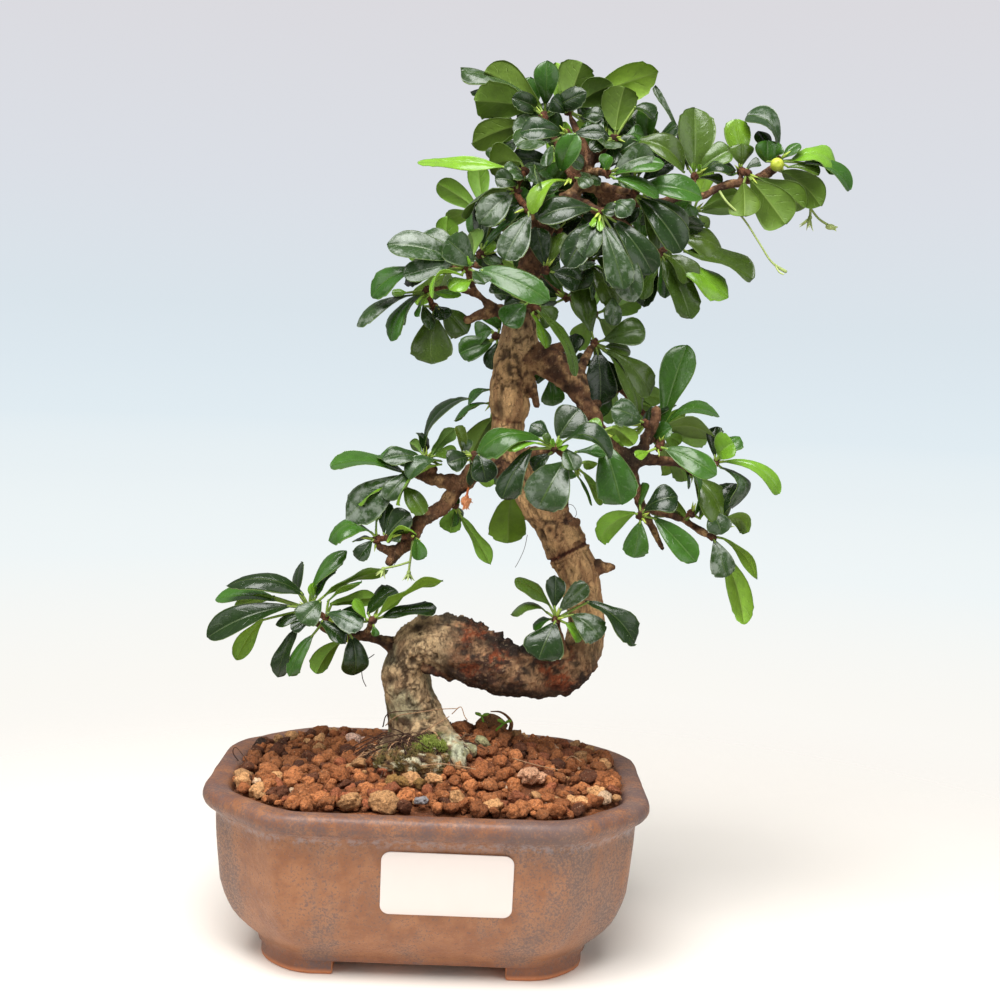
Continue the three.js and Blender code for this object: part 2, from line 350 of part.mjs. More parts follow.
    [[29, 286, 9, 297.4, 2, 10, 150, 2], [24, 290, 1, 297.3, 5, 5, 60, 2],
     [27, 285.5, 6.1, 287.5, -3, 13, 150, 2], [26, 281.5, 5.8, 273.5, -5, 9, 150, 2],
     [22, 277, 9, 275, 2, 7, 160, 1], [22, 290, 4.5, 290.5, 6, 4, 60, 1]]],
  ["top_mid",
    [[46, -1, 270, 1.6], [42, 0, 277.5, 1.3], [39.3, 0, 282.5, 1], [38, 0, 285.5, 0.9]],
    [[38, 0, 285.5]],
    [[34.8, 288, 32.9, 301.5, 3, 6.5, 160, 1], [38, 288, 41.8, 301.9, -2, 12, 155, 1],
     [40, 287.5, 52.6, 294.8, -3, 10, 150, 2], [43, 290, 67.6, 300, 4, 12, 160, 1],
     [37, 285, 32, 289.5, -6, 6, 30, 1], [42, 284, 50, 284.5, -5, 5, 30, 2],
     [42.5, 282.5, 49.5, 281, -5, 3, 60, 1]]],
  ["top_right",
    [[46, -1, 268, 1.5], [50.5, 0, 273.5, 1.2], [54, 0, 277.3, 0.9]],
    [[54, 0, 277.3]],
    [[54, 280, 56.3, 294.6, -3, 13.5, 150, 1], [60, 288, 66.8, 284.7, -1, 4.5, 60, 1],
     [57, 277.5, 64.2, 278.5, 2, 6, 40, 1], [60.5, 277, 78, 267.5, 1, 8, 40, 5],
     [52.5, 277, 45, 281, -4, 4, 30, 0.5], [52, 276.5, 46, 273, -5, 5, 30, 1],
     [53, 275, 54.5, 269, -6, 6, 20, 0.5]]],
  ["top_front",
    [[45, -1, 266, 1.5], [41.5, -7, 272, 1.2], [38, -14, 277.8, 0.9]],
    [[38, -14, 277.8], [36.5, -18, 269], [40, -20, 263.5]],
    [[36, 278, 22, 278, -3, 8, 25, 3], [33, 275, 20.5, 273.4, -6, 7.5, 60, 2],
     [33, 274, 31.5, 267, -7, 4, 40, 1], [36, 265.5, 41, 278, -9, 8, 15, 2],
     [39, 263, 27.5, 266, -6, 6, 60, -5], [42, 263.5, 46.6, 260.9, -5, 4.5, 40, 1],
     [39, 262.5, 27.1, 250.6, -6, 4.5, 50, 5], [40, 278, 50.5, 279, -3, 5, 30, 1],
     [38, 270, 44, 268, 2, 5, 30, 0.5]]],
  ["top_front_right",
    [[46, -1, 266, 1.5], [50, -8, 265.8, 1.2], [52, -16, 265.5, 0.9]],
    [[52, -16, 265.5]],
    [[55, 267, 67.7, 272.2, -3, 8, 25, 2], [54, 265, 71.3, 269.5, -5, 5, 60, 2],
     [51, 266.5, 53, 271.4, -2, 5, 50, 0.5], [54, 264, 70, 258, -6, 4.5, 60, 2]]],
  ["far_right_inner",
    [[80.5, -1, 259, 1.4], [81.5, 1.5, 262.5, 1], [81.8, 3, 265.8, 0.9]],
    [[81.8, 3, 265.8], [79.5, 4.5, 258.5]],
    [[81.5, 268, 80.5, 288.7, 2, 13, 20, 1], [83, 268, 93.5, 275.3, -2, 8.5, 25, 1],
     [84, 266.5, 95.7, 268.3, -3, 5, 60, 4], [81.5, 267, 81, 270.5, -3, 1.8, 30, 0.2],
     [83, 267, 83.5, 270, -3, 1.6, 30, 0.2], [83, 265.5, 91.4, 264.5, -1, 3, 60, 0.5],
     [79.5, 268, 66.4, 295, 5, 2.5, 60, 2], [79, 257, 82, 251.5, 1, 5.5, 30, 0.5],
     [78, 256, 72, 252, 2, 6, 40, 0.5]]],
  ["far_right_mid",
    [[97.5, -1, 264.6, 1.3], [97.5, 0.5, 266, 0.9], [97.5, 2, 268.4, 0.9]],
    [[97.5, 2, 268.4], [99.5, -5, 267.8]],
    [[97.5, 270.5, 94.8, 285.6, 1, 9, 20, 0.5], [97.5, 270, 97.3, 277.5, -2, 8.5, 30, 0.5],
     [99, 269, 104, 271, -1, 3, 50, 0.5], [96, 267.5, 92.5, 267, -1, 3, 60, 0.5],
     [101, 265.5, 113.8, 251.2, -4, 14, 165, 1.5], [103, 266.5, 120, 257, 2, 10, 160, 1.5],
     [98.5, 264.5, 99.6, 253.2, -2, 11, 165, 1]]],
  ["far_right_tip",
    [[106.8, -1, 267.8, 1.7], [108.5, 0, 269.8, 1.4], [110, 2, 272.3, 0.9]],
    [[110, 2, 272.3]],
    [[106, 271.5, 105.7, 279, -2, 9.5, 30, 0.5], [108.5, 274, 110.5, 277.5, -3, 4, 40, 0.3],
     [109.5, 275, 98.4, 287, 3, 6.5, 60, 5], [107, 275, 102.5, 282, 4, 5, 40, 0.5],
     [111.5, 273.5, 116.9, 278.4, -1, 4, 50, 0.5], [114, 272.5, 130.2, 270.1, 1, 7, 60, 5],
     [118, 272, 135, 263.7, -2, 5, 60, 4], [113, 270.5, 124.3, 268.6, -3, 3.5, 60, 1],
     [111.5, 269, 125.4, 257.8, -2, 10.5, 150, 3]]],
];

// Shoots at the back of the tree, which the photograph doesn't show: name, twig and the centres of the whorls
const BACK_SHOOTS = [
  ["back_left", [[26, 4, 226, 2.4], [18, 14, 230, 1.6], [8, 22, 233, 1.2], [0, 25, 231, 0.9]],
    [[0, 25, 231], [11, 33, 250]]],
  ["back_top", [[38, 0, 256, 2.2], [36, 12, 259, 1.5], [34, 24, 262, 1.1], [32, 31, 264, 0.9]],
    [[32, 31, 264], [52, 26, 271]]],
  ["back_middle", [[26, 4, 214, 2.4], [28, 16, 220, 1.6], [30, 26, 226, 1.1], [31, 31, 229, 0.9]],
    [[31, 31, 229], [50, 29, 218]]],
  ["back_right", [[43, 1, 262, 2.2], [50, 10, 255, 1.5], [58, 18, 248, 1.1], [62, 23, 244, 0.9]],
    [[62, 23, 244], [82, 18, 254]]],
  ["back_right_low", [[50, -1, 186, 2.2], [53, 10, 188, 1.5], [57, 19, 191, 1.1], [60, 24, 193, 0.9]],
    [[60, 24, 193], [76, 19, 178]]],
];
const BACK_LEAVES = 5;
const BACK_CENTRE = [30, 0, 232];

const COLOURS = {
  leaf: [0x2f5a24, 0.35],
  bark: [0x7a5a40, 0.9],
  glaze: [0x9a5a3c, 0.35],
  soil: [0x5a4030, 0.95],
  moss: [0x7aa030, 0.95],
  whiteChip: [0xd8cdc6, 0.8],
  greyChip: [0x9a9a98, 0.8],
  tanChip: [0xb08a66, 0.85],
  tag: [0xf2f0ea, 0.5],
  greenStem: [0xa8b878, 0.6],
  fruit: [0xb8c040, 0.4],
  withered: [0xd08a50, 0.8],
  dryLeaf: [0x6a4a2c, 0.85],
  net: [0x26282a, 0.7],
};

// A repeatable source of numbers between 0 and 1
function seeded(seed) {
  let state = seed >>> 0;
  return () => {
    state = (Math.imul(state, 1664525) + 1013904223) >>> 0;
    return state / 4294967296;
  };
}

// The point at depth y that is seen at (x, z) of the plane y = 0
function spot(x, y, z) {
  const k = 1 - y / EYE.y;
  return new THREE.Vector3(EYE.x + (x - EYE.x) * k, y, EYE.z + (z - EYE.z) * k);
}

// A surface through rings of points, closed at both ends
function loft(rings) {
  const count = rings[0].length;
  const last = (rings.length - 1) * count;
  const index = [];
  for (let r = 0; r + 1 < rings.length; r++) {
    for (let i = 0; i < count; i++) {
      const a = r * count + i;
      const b = r * count + ((i + 1) % count);
      index.push(a, b, b + count, a, b + count, a + count);
    }
  }
  for (let i = 1; i + 1 < count; i++) {
    index.push(0, i + 1, i, last, last + i, last + i + 1);
  }
  return new THREE.BufferGeometry().setFromPoints(rings.flat()).setIndex(index);
}

// A closed geometry as a solid with its faces outwards
function solid(geometry) {
  const plain = geometry.clone();
  plain.deleteAttribute("normal");
  plain.deleteAttribute("uv");
  const merged = mergeVertices(plain, 1e-4);
  const vertices = merged.attributes.position.array;
  const triangles = new Uint32Array(merged.index.array);
  const a = new THREE.Vector3();
  const b = new THREE.Vector3();
  const c = new THREE.Vector3();
  let volume = 0;
  for (let i = 0; i < triangles.length; i += 3) {
    a.fromArray(vertices, 3 * triangles[i]);
    b.fromArray(vertices, 3 * triangles[i + 1]);
    c.fromArray(vertices, 3 * triangles[i + 2]);
    volume += a.dot(b.cross(c));
  }
  if (volume < 0) {
    triangles.reverse();
  }
  return new wasm.Manifold(new wasm.Mesh({ numProp: 3, vertProperties: vertices, triVerts: triangles }));
}

function join(solids) {
  return solids.reduce((all, one) => all.add(one));
}

// The body of a cut solid that lies nearest to a point
function bodyAt(cut, point) {
  let nearest = null;
  let least = Infinity;
  for (const body of cut.decompose()) {
    if (body.volume() < 0) {
      continue;
    }
    const { min, max } = body.boundingBox();
    const box = new THREE.Box3(new THREE.Vector3(...min), new THREE.Vector3(...max));
    const distance = box.distanceToPoint(point) - 1e-6 * body.volume();
    if (distance < least) {
      least = distance;
      nearest = body;
    }
  }
  return nearest;
}

function boxesMeet(a, b) {
  const p = a.boundingBox();
  const q = b.boundingBox();
  return [0, 1, 2].every((i) => p.min[i] < q.max[i] && q.min[i] < p.max[i]);
}

function cut(body, tools) {
  return tools.filter((tool) => boxesMeet(body, tool)).reduce((left, tool) => left.subtract(tool), body);
}

// A round limb along rows of [x, depth y, z, radius]; roughness varies the radius, grow adds clearance
function limb(rows, sides, { grow = 0, roughness = 0, seed = 1 } = {}) {
  const random = seeded(seed);
  const points = rows.map(([x, y, z]) => spot(x, y, z));
  const curve = new THREE.CatmullRomCurve3(points, false, "centripetal");
  const spans = rows.length - 1;
  const rings = [];
  const side = new THREE.Vector3();
  for (let i = 0; i <= spans; i++) {
    const t = i / spans;
    const tangent = curve.getTangent(t);
    const centre = curve.getPoint(t);
    if (i === 0) {
      side.set(0, -1, 0.3).cross(tangent);
    }
    side.addScaledVector(tangent, -side.dot(tangent)).normalize();
    const up = new THREE.Vector3().crossVectors(tangent, side);
    const ends = i === 0 ? -grow : i === spans ? grow : 0;
    centre.addScaledVector(tangent, ends);
    const ring = [];
    for (let j = 0; j < sides; j++) {
      const angle = (2 * Math.PI * j) / sides;
      const out = rows[i][3] * (1 + roughness * (random() - 0.5)) + grow / Math.cos(Math.PI / sides);
      ring.push(
        centre.clone()
          .addScaledVector(side, out * Math.cos(angle))
          .addScaledVector(up, out * Math.sin(angle)),
      );
    }
    rings.push(ring);
  }
  return solid(loft(rings));
}

// A ball of few faces
function ball(centre, radius, detail, scale = [1, 1, 1]) {
  const geometry = new THREE.IcosahedronGeometry(radius, detail);
  geometry.scale(...scale).translate(centre.x, centre.y, centre.z);
  return solid(geometry);
}

// A stone or crumb of soil: a ball of few faces, uneven, turned about Z
function stone(centre, size, turn, seed) {
  const random = seeded(seed);
  const bare = new THREE.DodecahedronGeometry(1).deleteAttribute("normal").deleteAttribute("uv");
  const geometry = mergeVertices(bare);
  const place = geometry.attributes.position;
  for (let i = 0; i < place.count; i++) {
    const reach = 0.82 + 0.36 * random();
    place.setXYZ(i, place.getX(i) * reach, place.getY(i) * reach, place.getZ(i) * reach);
  }
  geometry.scale(...size).rotateZ(THREE.MathUtils.degToRad(turn)).translate(centre.x, centre.y, centre.z);
  return solid(geometry);
}

// One leaf: a petiole from the stem, then a blade with a raised midrib that widens towards its tip
function leaf({ root, base, tip, normal, width, arch }, grow) {
  const axis = new THREE.Vector3().subVectors(tip, base).normalize();
  const length = base.distanceTo(tip);
  const sections = length < SHORT_LEAF ? LEAF_SECTIONS.slice(1) : LEAF_SECTIONS;
  const centreAt = (t) => base.clone().lerp(tip, t).addScaledVector(normal, 4 * arch * t * (1 - t));
  const direction = centreAt(sections[0][0]).sub(root).normalize();
  const rings = [];
  const section = (centre, along, half, extra) => {
    const across = new THREE.Vector3().crossVectors(along, normal).normalize();
    const above = new THREE.Vector3().crossVectors(across, along);
    const middle = centre.clone().addScaledVector(along, extra);
    const droop = LEAF_DROOP * half + 0.35 * LEAF_THICKNESS + grow;
    const edge = half + 2.2 * grow;
    rings.push([
      middle.clone().addScaledVector(across, -edge).addScaledVector(above, -droop),
      middle.clone().addScaledVector(across, edge).addScaledVector(above, -droop),
      middle.clone().addScaledVector(above, 0.65 * LEAF_THICKNESS + 1.4 * grow),
    ]);
  };
  section(root.clone().addScaledVector(direction, PETIOLE_START), direction, PETIOLE_HALF_WIDTH, -grow);
  for (const [t, share] of sections) {
    const along = axis.clone().multiplyScalar(length).addScaledVector(normal, 4 * arch * (1 - 2 * t));
    section(centreAt(t), along.normalize(), width * share, t === 1 ? grow : 0);
  }
  return solid(loft(rings));
}

// A leaf row of the layout as points in space
function placedLeaf([baseX, baseZ, tipX, tipZ, depth, seenWidth, turn, arch], stem) {
  const apart = (point) => Math.hypot(point[0] - baseX, point[2] - baseZ);
  const nearest = stem.reduce((best, point) => (apart(point) < apart(best) ? point : best));
  const base = spot(baseX, nearest[1] + BASE_DEPTH_SHARE * depth, baseZ);
  const tip = spot(tipX, nearest[1] + depth, tipZ);
  const axis = new THREE.Vector3().subVectors(tip, base).normalize();
  const toEye = new THREE.Vector3().subVectors(EYE, base).normalize();
  toEye.addScaledVector(axis, -toEye.dot(axis)).normalize();
  const above = new THREE.Vector3().crossVectors(toEye, axis);
  if (above.z < 0) {
    above.negate();
  }
  const angle = THREE.MathUtils.degToRad(turn);
  const normal = toEye.multiplyScalar(Math.cos(angle)).addScaledVector(above, Math.sin(angle));
  const width = Math.min(seenWidth / Math.max(Math.abs(Math.cos(angle)), NARROWEST_TURN), WIDEST_LEAF);
  return { root: spot(...nearest), base, tip, normal, width, arch };
}

// The leaves of a whorl at the back: they spread outwards from the middle of the crown and upwards
function whorl(centre, seed) {
  const random = seeded(seed);
  const root = spot(...centre);
  const outward = new THREE.Vector3().subVectors(root, spot(...BACK_CENTRE)).normalize();
  outward.add(new THREE.Vector3(0, 0.5, 0.35)).normalize();
  const side = new THREE.Vector3(0, 0, 1).cross(outward).normalize();
  const up = new THREE.Vector3().crossVectors(outward, side);
  const leaves = [];
  for (let i = 0; i < BACK_LEAVES; i++) {
    const angle = (2 * Math.PI * (i + 0.6 * random())) / BACK_LEAVES;
    const open = 0.65 + 0.5 * random();
    const length = 13 + 5 * random();
    const spread = side.clone().multiplyScalar(Math.cos(angle)).addScaledVector(up, Math.sin(angle));
    const axis = outward.clone().multiplyScalar(Math.cos(open)).addScaledVector(spread, Math.sin(open));
    const normal = outward.clone().multiplyScalar(Math.sin(open)).addScaledVector(spread, -Math.cos(open));
    const base = root.clone().addScaledVector(axis, 3);
    leaves.push({
      root,
      base,
      tip: base.clone().addScaledVector(axis, length),
      normal,
      width: 0.48 * length + 2 * random(),
      arch: 1 + 1.5 * random(),
    });
  }
  return leaves;
}

// Stem, buds and leaves of one shoot
function shootBody(stem, leaves, grow) {
  const parts = stem.map((point) => {
    const bud = new THREE.OctahedronGeometry(HUB_RADIUS + grow / INSCRIBED_SHARE);
    const { x, y, z } = spot(...point);
    return solid(bud.rotateZ(0.5).translate(x, y, z));
  });
  if (stem.length > 1) {
    const rows = stem.map((point) => [...point, STEM_RADIUS]);
    parts.push(limb(rows, STEM_SIDES, { grow }));
  }
  return join([...parts, ...leaves.map((one) => leaf(one, grow))]);
}

// The pot's eight-sided outline with rounded corners, inset from the rim
function outline(inset, z) {
  const halfX = RIM_HALF_X - inset;
  const halfY = RIM_HALF_Y - inset;
  const straightX = FRONT_HALF_STRAIGHT - STRAIGHT_LOSS * inset;
  const straightY = SIDE_HALF_STRAIGHT - STRAIGHT_LOSS * inset;
  const corners = [
    [straightX, -halfY], [halfX, -straightY], [halfX, straightY], [straightX, halfY],
    [-straightX, halfY], [-halfX, straightY], [-halfX, -straightY], [-straightX, -halfY],
  ].map(([x, y]) => new THREE.Vector2(x, y));
  const radius = Math.max(CORNER_RADIUS - 0.3 * inset, 2);
  const run = radius * Math.tan(Math.PI / 8);
  const ring = [];
  corners.forEach((corner, i) => {
    const before = corners[(i + 7) % 8].clone().sub(corner).normalize();
    const after = corners[(i + 1) % 8].clone().sub(corner).normalize();
    const start = corner.clone().addScaledVector(before, run);
    const end = corner.clone().addScaledVector(after, run);
    for (let j = 0; j < POINTS_PER_CORNER; j++) {
      const t = j / (POINTS_PER_CORNER - 1);
      const a = start.clone().lerp(corner, t);
      const b = corner.clone().lerp(end, t);
      const p = a.lerp(b, t);
      ring.push(new THREE.Vector3(p.x, p.y, z));
    }
  });
  return ring;
}

function makePot() {
  let body = solid(loft(POT_PROFILE.map(([z, inset]) => outline(inset, z))));
  for (const side of [-1, 1]) {
    const drill = new THREE.CylinderGeometry(DRAIN_RADIUS, DRAIN_RADIUS, 4 * POT_FLOOR, 24);
    body = body.subtract(solid(drill.rotateX(Math.PI / 2).translate(side * DRAIN_X, 0, 0)));
  }
  const shape = new THREE.Shape(FOOT_OUTLINE.map(([x, y]) => new THREE.Vector2(x, y)));
  const depth = FOOT_ROOT - FOOT_BOTTOM;
  for (const sideX of [-1, 1]) {
    for (const sideY of [-1, 1]) {
      const foot = new THREE.ExtrudeGeometry(shape, { depth, bevelEnabled: false });
      body = body.add(solid(foot.scale(sideX, sideY, 1).translate(0, 0, FOOT_BOTTOM)));
    }
  }
  return body;
}

// The height of the soil above a point
function soilTop(x, y) {
  const dx = (x - MOUND_CENTRE[0]) / MOUND_SPREAD[0];
  const dy = (y - MOUND_CENTRE[1]) / MOUND_SPREAD[1];
  return SOIL_EDGE + MOUND_HEIGHT * Math.exp(-dx * dx - dy * dy);
}

function makeSoil() {
  const random = seeded(7);
  const rings = INNER_PROFILE.map(([z, inset]) => outline(inset + 1.2 * GAP, Math.max(z, POT_FLOOR + GAP)));
  const edge = rings[rings.length - 1];
  for (const share of MOUND_RINGS) {
    rings.push(edge.map((p) => {
      const wander = 1 + 0.05 * (random() - 0.5);
      const x = MOUND_CENTRE[0] * (1 - share) + p.x * share * wander;
      const y = MOUND_CENTRE[1] * (1 - share) + p.y * share * wander;
      return new THREE.Vector3(x, y, soilTop(x, y) + SOIL_ROUGHNESS * 2 * (random() - 0.5));
    }));
  }
  return solid(loft(rings));
}

// A square net over a drainage hole, as a plate with square openings
function makeNet(x) {
  let net = solid(new THREE.BoxGeometry(MESH_SIDE, MESH_SIDE, MESH_THICKNESS));
  const first = (-MESH_PITCH * (MESH_HOLES_PER_SIDE - 1)) / 2;
  for (let i = 0; i < MESH_HOLES_PER_SIDE; i++) {
    for (let j = 0; j < MESH_HOLES_PER_SIDE; j++) {
      const hole = new THREE.BoxGeometry(MESH_HOLE, MESH_HOLE, 3 * MESH_THICKNESS);
      net = net.subtract(solid(hole.translate(first + MESH_PITCH * i, first + MESH_PITCH * j, 0)));
    }
  }
  return net.translate(x, 0, POT_FLOOR + GAP + MESH_THICKNESS / 2);
}

// The blank tag, parallel to the sloping front wall
function makeTag() {
  const x = TAG_WIDTH / 2;
  const y = TAG_HEIGHT / 2;
  const r = TAG_CORNER;
  const shape = new THREE.Shape()
    .moveTo(r - x, -y).lineTo(x - r, -y).absarc(x - r, r - y, r, -Math.PI / 2, 0, false)
    .lineTo(x, y - r).absarc(x - r, y - r, r, 0, Math.PI / 2, false)
    .lineTo(r - x, y).absarc(r - x, y - r, r, Math.PI / 2, Math.PI, false)
    .lineTo(-x, r - y).absarc(r - x, r - y, r, Math.PI, 1.5 * Math.PI, false);
  const lean = Math.atan2(WALL_FOOT[1] - WALL_TOP[1], WALL_TOP[0] - WALL_FOOT[0]);
  const share = (WALL_TOP[0] - TAG_CENTRE[1]) / (WALL_TOP[0] - WALL_FOOT[0]);
  const wall = -RIM_HALF_Y + THREE.MathUtils.lerp(WALL_TOP[1], WALL_FOOT[1], share);
  const options = { depth: TAG_THICKNESS, bevelEnabled: false, curveSegments: 4 };
  const geometry = new THREE.ExtrudeGeometry(shape, options);
  geometry.translate(0, 0, GAP).rotateX(Math.PI / 2 + lean).translate(TAG_CENTRE[0], wall, TAG_CENTRE[1]);
  return solid(geometry);
}

// The trunk with its roots, knobs, branches and the twigs that carry the shoots
function makeTree(grow) {
  const twigs = [...SHOOTS, ...BACK_SHOOTS].map(([, rows]) => {
    const end = rows[rows.length - 1];
    const before = rows[rows.length - 2];
    const length = Math.hypot(end[0] - before[0], end[1] - before[1], end[2] - before[2]);
    const stop = end.map((v, i) => (i === 3 ? v : v + (before[i] - v) / length));
    return [...rows.slice(0, -1), stop];
  });
  return join([
    limb(TRUNK, TRUNK_SIDES, { grow, roughness: 0.16, seed: 11 }),
    ...ROOTS.map((rows, i) => limb(rows, 7, { grow, roughness: 0.2, seed: 20 + i })),
    ...KNOBS.map((rows, i) => limb(rows, BRANCH_SIDES, { grow, roughness: 0.14, seed: 40 + i })),
    ...BRANCHES.map((rows, i) => limb(rows, BRANCH_SIDES, { grow, roughness: 0.16, seed: 60 + i })),
    ...twigs.map((rows, i) => limb(rows, TWIG_SIDES, { grow, seed: 80 + i })),
  ]);
}

// A cup with five pointed sepals at the end of a stalk
function star(centre, down, reach, grow) {
  const axis = down.clone().normalize();
  const turn = new THREE.Quaternion().setFromUnitVectors(new THREE.Vector3(0, 0, 1), axis);
  const ring = (tipRadius, tipDepth, valleyRadius, valleyDepth) =>
    Array.from({ length: 10 }, (_, i) => {
      const [radius, depth] = i % 2 ? [valleyRadius, valleyDepth] : [tipRadius, tipDepth];
      const angle = (Math.PI * i) / 5;
      const reachOut = radius + grow;
      const point = new THREE.Vector3(reachOut * Math.cos(angle), reachOut * Math.sin(angle), depth);
      return point.applyQuaternion(turn).add(centre);
    });
  return solid(loft([
    ring(0.6, -0.5 - grow, 0.6, -0.5 - grow),
    ring(0.32 * reach, reach + grow, 0.8, 0.3 * reach + grow),
    ring(0.3, 0.25 * reach + 2 * grow, 0.3, 0.2 * reach + 2 * grow),
  ]));
}

function makeRightCalyx(grow) {
  return join([
    limb([[108.5, 0, 269.8, 0.7], [112, 7, 268.5, 0.5], [118, 9, 266, 0.5], [121, 9, 262, 0.5],
      [121.9, 9, 256, 0.5], [121.9, 9, 254, 0.6]], 5, { grow }),
    limb([[121.8, 9, 257, 0.5], [125, 9, 253.5, 0.5], [128.6, 9, 251.4, 0.6]], 5, { grow }),
    star(spot(121.9, 9, 253.4), new THREE.Vector3(-0.3, 0, -1), 4.6, grow),
    ball(spot(129, 9, 251), 1.5 + grow, 0, [1.2, 1, 1]),
  ]);
}

function makeLeftCalyx(grow) {
  return join([
    limb([[-9, -12, 139, 0.6], [-9.3, -12.5, 134, 0.5], [-9.9, -13, 128, 0.5],
      [-10, -13, 126, 0.6]], 5, { grow }),
    limb([[-9.8, -13, 130, 0.5], [-14, -13, 128.5, 0.45], [-18.4, -13, 127.4, 0.5]], 5, { grow }),
    star(spot(-10, -13, 126), new THREE.Vector3(0, 0, -1), 3.2, grow),
    star(spot(-18.9, -13, 127), new THREE.Vector3(-0.4, 0, -1), 3.2, grow),
  ]);
}

function makeWitheredFlower(grow) {
  return join([
    limb([[9.6, -6, 160, 0.6], [9.3, -8, 156, 0.45], [8.9, -9, 153.2, 0.5]], 5, { grow }),
    star(spot(9, -9, 153.6), new THREE.Vector3(0.2, 0, -1), 2.4, grow),
    ball(spot(8.7, -9, 151.6), 1.8 + grow, 1, [1, 0.9, 1.1]),
  ]);
}

function makeBareStalk(grow) {
  return limb([[90, -1, 262, 0.6], [93, -3.5, 258, 0.5], [99.2, -4, 252.4, 0.45], [105, -4, 244.6, 0.42],
    [109.5, -4, 238.5, 0.45], [112.4, -4, 236.4, 0.7], [114.6, -4, 235.3, 0.8]], 5, { grow });
}

function makeFruit(grow) {
  return join([
    ball(spot(109.6, -4.6, 271), 2.3 + grow, 1),
    limb([[108.3, 0, 269.6, 0.8], [109.4, -3.4, 270.8, 0.7]], 5, { grow }),
  ]);
}

function makeFallenLeaf() {
  const base = new THREE.Vector3(15.5, 12, 71);
  const tip = new THREE.Vector3(27.5, 13.5, 70.5);
  return leaf({
    root: new THREE.Vector3(14, 12, 69), base, tip,
    normal: new THREE.Vector3(-0.1, -0.8, 0.6).normalize(), width: 9, arch: 2.5,
  }, 0);
}

function makeSeedling() {
  const stalks = [
    limb([[20, 7, 66, 0.7], [18.8, 7, 72, 0.5], [17.4, 7, 76.6, 0.45]], 5),
    limb([[20, 7, 66, 0.7], [22, 7, 71, 0.5], [25.4, 7, 74.4, 0.45]], 5),
  ];
  const leaflets = [];
  for (const [x, z] of [[17.4, 76.6], [25.4, 74.4]]) {
    const root = spot(x, 7, z);
    for (let i = 0; i < 3; i++) {
      const angle = (2 * Math.PI * i) / 3 + 0.4;
      const axis = new THREE.Vector3(Math.cos(angle), Math.sin(angle), 0.35).normalize();
      leaflets.push(leaf({
        root,
        base: root.clone().addScaledVector(axis, 0.7),
        tip: root.clone().addScaledVector(axis, 3),
        normal: new THREE.Vector3(0, 0, 1).addScaledVector(axis, -axis.z).normalize(),
        width: 2.4,
        arch: 0.2,
      }, 0));
    }
  }
  return join([...stalks, ...leaflets]);
}

const part = new THREE.Group();

function add(name, body, [color, roughness]) {
  const mesh = body.getMesh();
  const geometry = new THREE.BufferGeometry();
  geometry.setAttribute("position", new THREE.BufferAttribute(mesh.vertProperties, 3));
  geometry.setIndex(new THREE.BufferAttribute(mesh.triVerts, 1));
  geometry.computeVertexNormals();
  const made = new THREE.Mesh(geometry, new THREE.MeshStandardMaterial({ color, roughness }));
  made.name = name;
  part.add(made);
}

const pot = makePot();
const tree = makeTree(0);
const treeRoom = makeTree(GAP);
const nets = [makeNet(-DRAIN_X), makeNet(DRAIN_X)];
const netRooms = [-1, 1].map((side) => solid(
  new THREE.BoxGeometry(MESH_SIDE + 2 * GAP, MESH_SIDE + 2 * GAP, MESH_THICKNESS + 3 * GAP)
    .translate(side * DRAIN_X, 0, POT_FLOOR + GAP + MESH_THICKNESS / 2),
));
const wholeSoil = makeSoil();
const soilRoom = wholeSoil.translate(0, 0, SOIL_LIFT);
const soil = cut(wholeSoil, [treeRoom, ...netRooms]);
const onSoil = (body, anchor) => bodyAt(cut(body, [soilRoom, treeRoom]), anchor);

add("pot", pot, COLOURS.glaze);
add("blank_tag", makeTag(), COLOURS.tag);
add("drain_net_left", nets[0], COLOURS.net);
add("drain_net_right", nets[1], COLOURS.net);
add("soil", bodyAt(soil, new THREE.Vector3(0, -30, 20)), COLOURS.soil);
add("tree", bodyAt(tree, spot(...TRUNK[0].slice(0, 3))), COLOURS.bark);

const taken = [treeRoom, soilRoom];

// Places a piece clear of everything placed before it and keeps the body at its anchor
function place(name, body, room, anchor, colour) {
  const kept = bodyAt(cut(body, taken), anchor);
  add(name, kept, colour);
  taken.push(room.add(kept));
}

function placeShoot(name, stem, leaves) {
  const body = shootBody(stem, leaves, 0);
  place("shoot_" + name, body, shootBody(stem, leaves, GAP), spot(...stem[0]), COLOURS.leaf);
}

const small = [
  ["fruit", makeFruit, spot(109.6, -4.6, 271), COLOURS.fruit],
  ["calyx_right", makeRightCalyx, spot(121.9, 9, 253.4), COLOURS.greenStem],
  ["calyx_left", makeLeftCalyx, spot(-10, -13, 126), COLOURS.greenStem],
  ["withered_flower", makeWitheredFlower, spot(8.7, -9, 151.6), COLOURS.withered],
  ["bare_stalk", makeBareStalk, spot(109.5, -4, 238.5), COLOURS.greenStem],
];
for (const [name, make, anchor, colour] of small) {
  place(name, make(0), make(GAP), anchor, colour);
}

for (const [name, , stem, rows] of SHOOTS) {
  const leaves = rows.map((row) => placedLeaf(row, stem));
  placeShoot(name, stem, leaves.filter(({ base, tip }) => base.distanceTo(tip) > TINY_LEAF));
}
BACK_SHOOTS.forEach(([name, , stem], i) => {
  const leaves = stem.flatMap((centre, j) => whorl(centre, 500 + 10 * i + j));
  placeShoot(name, stem, leaves);
});

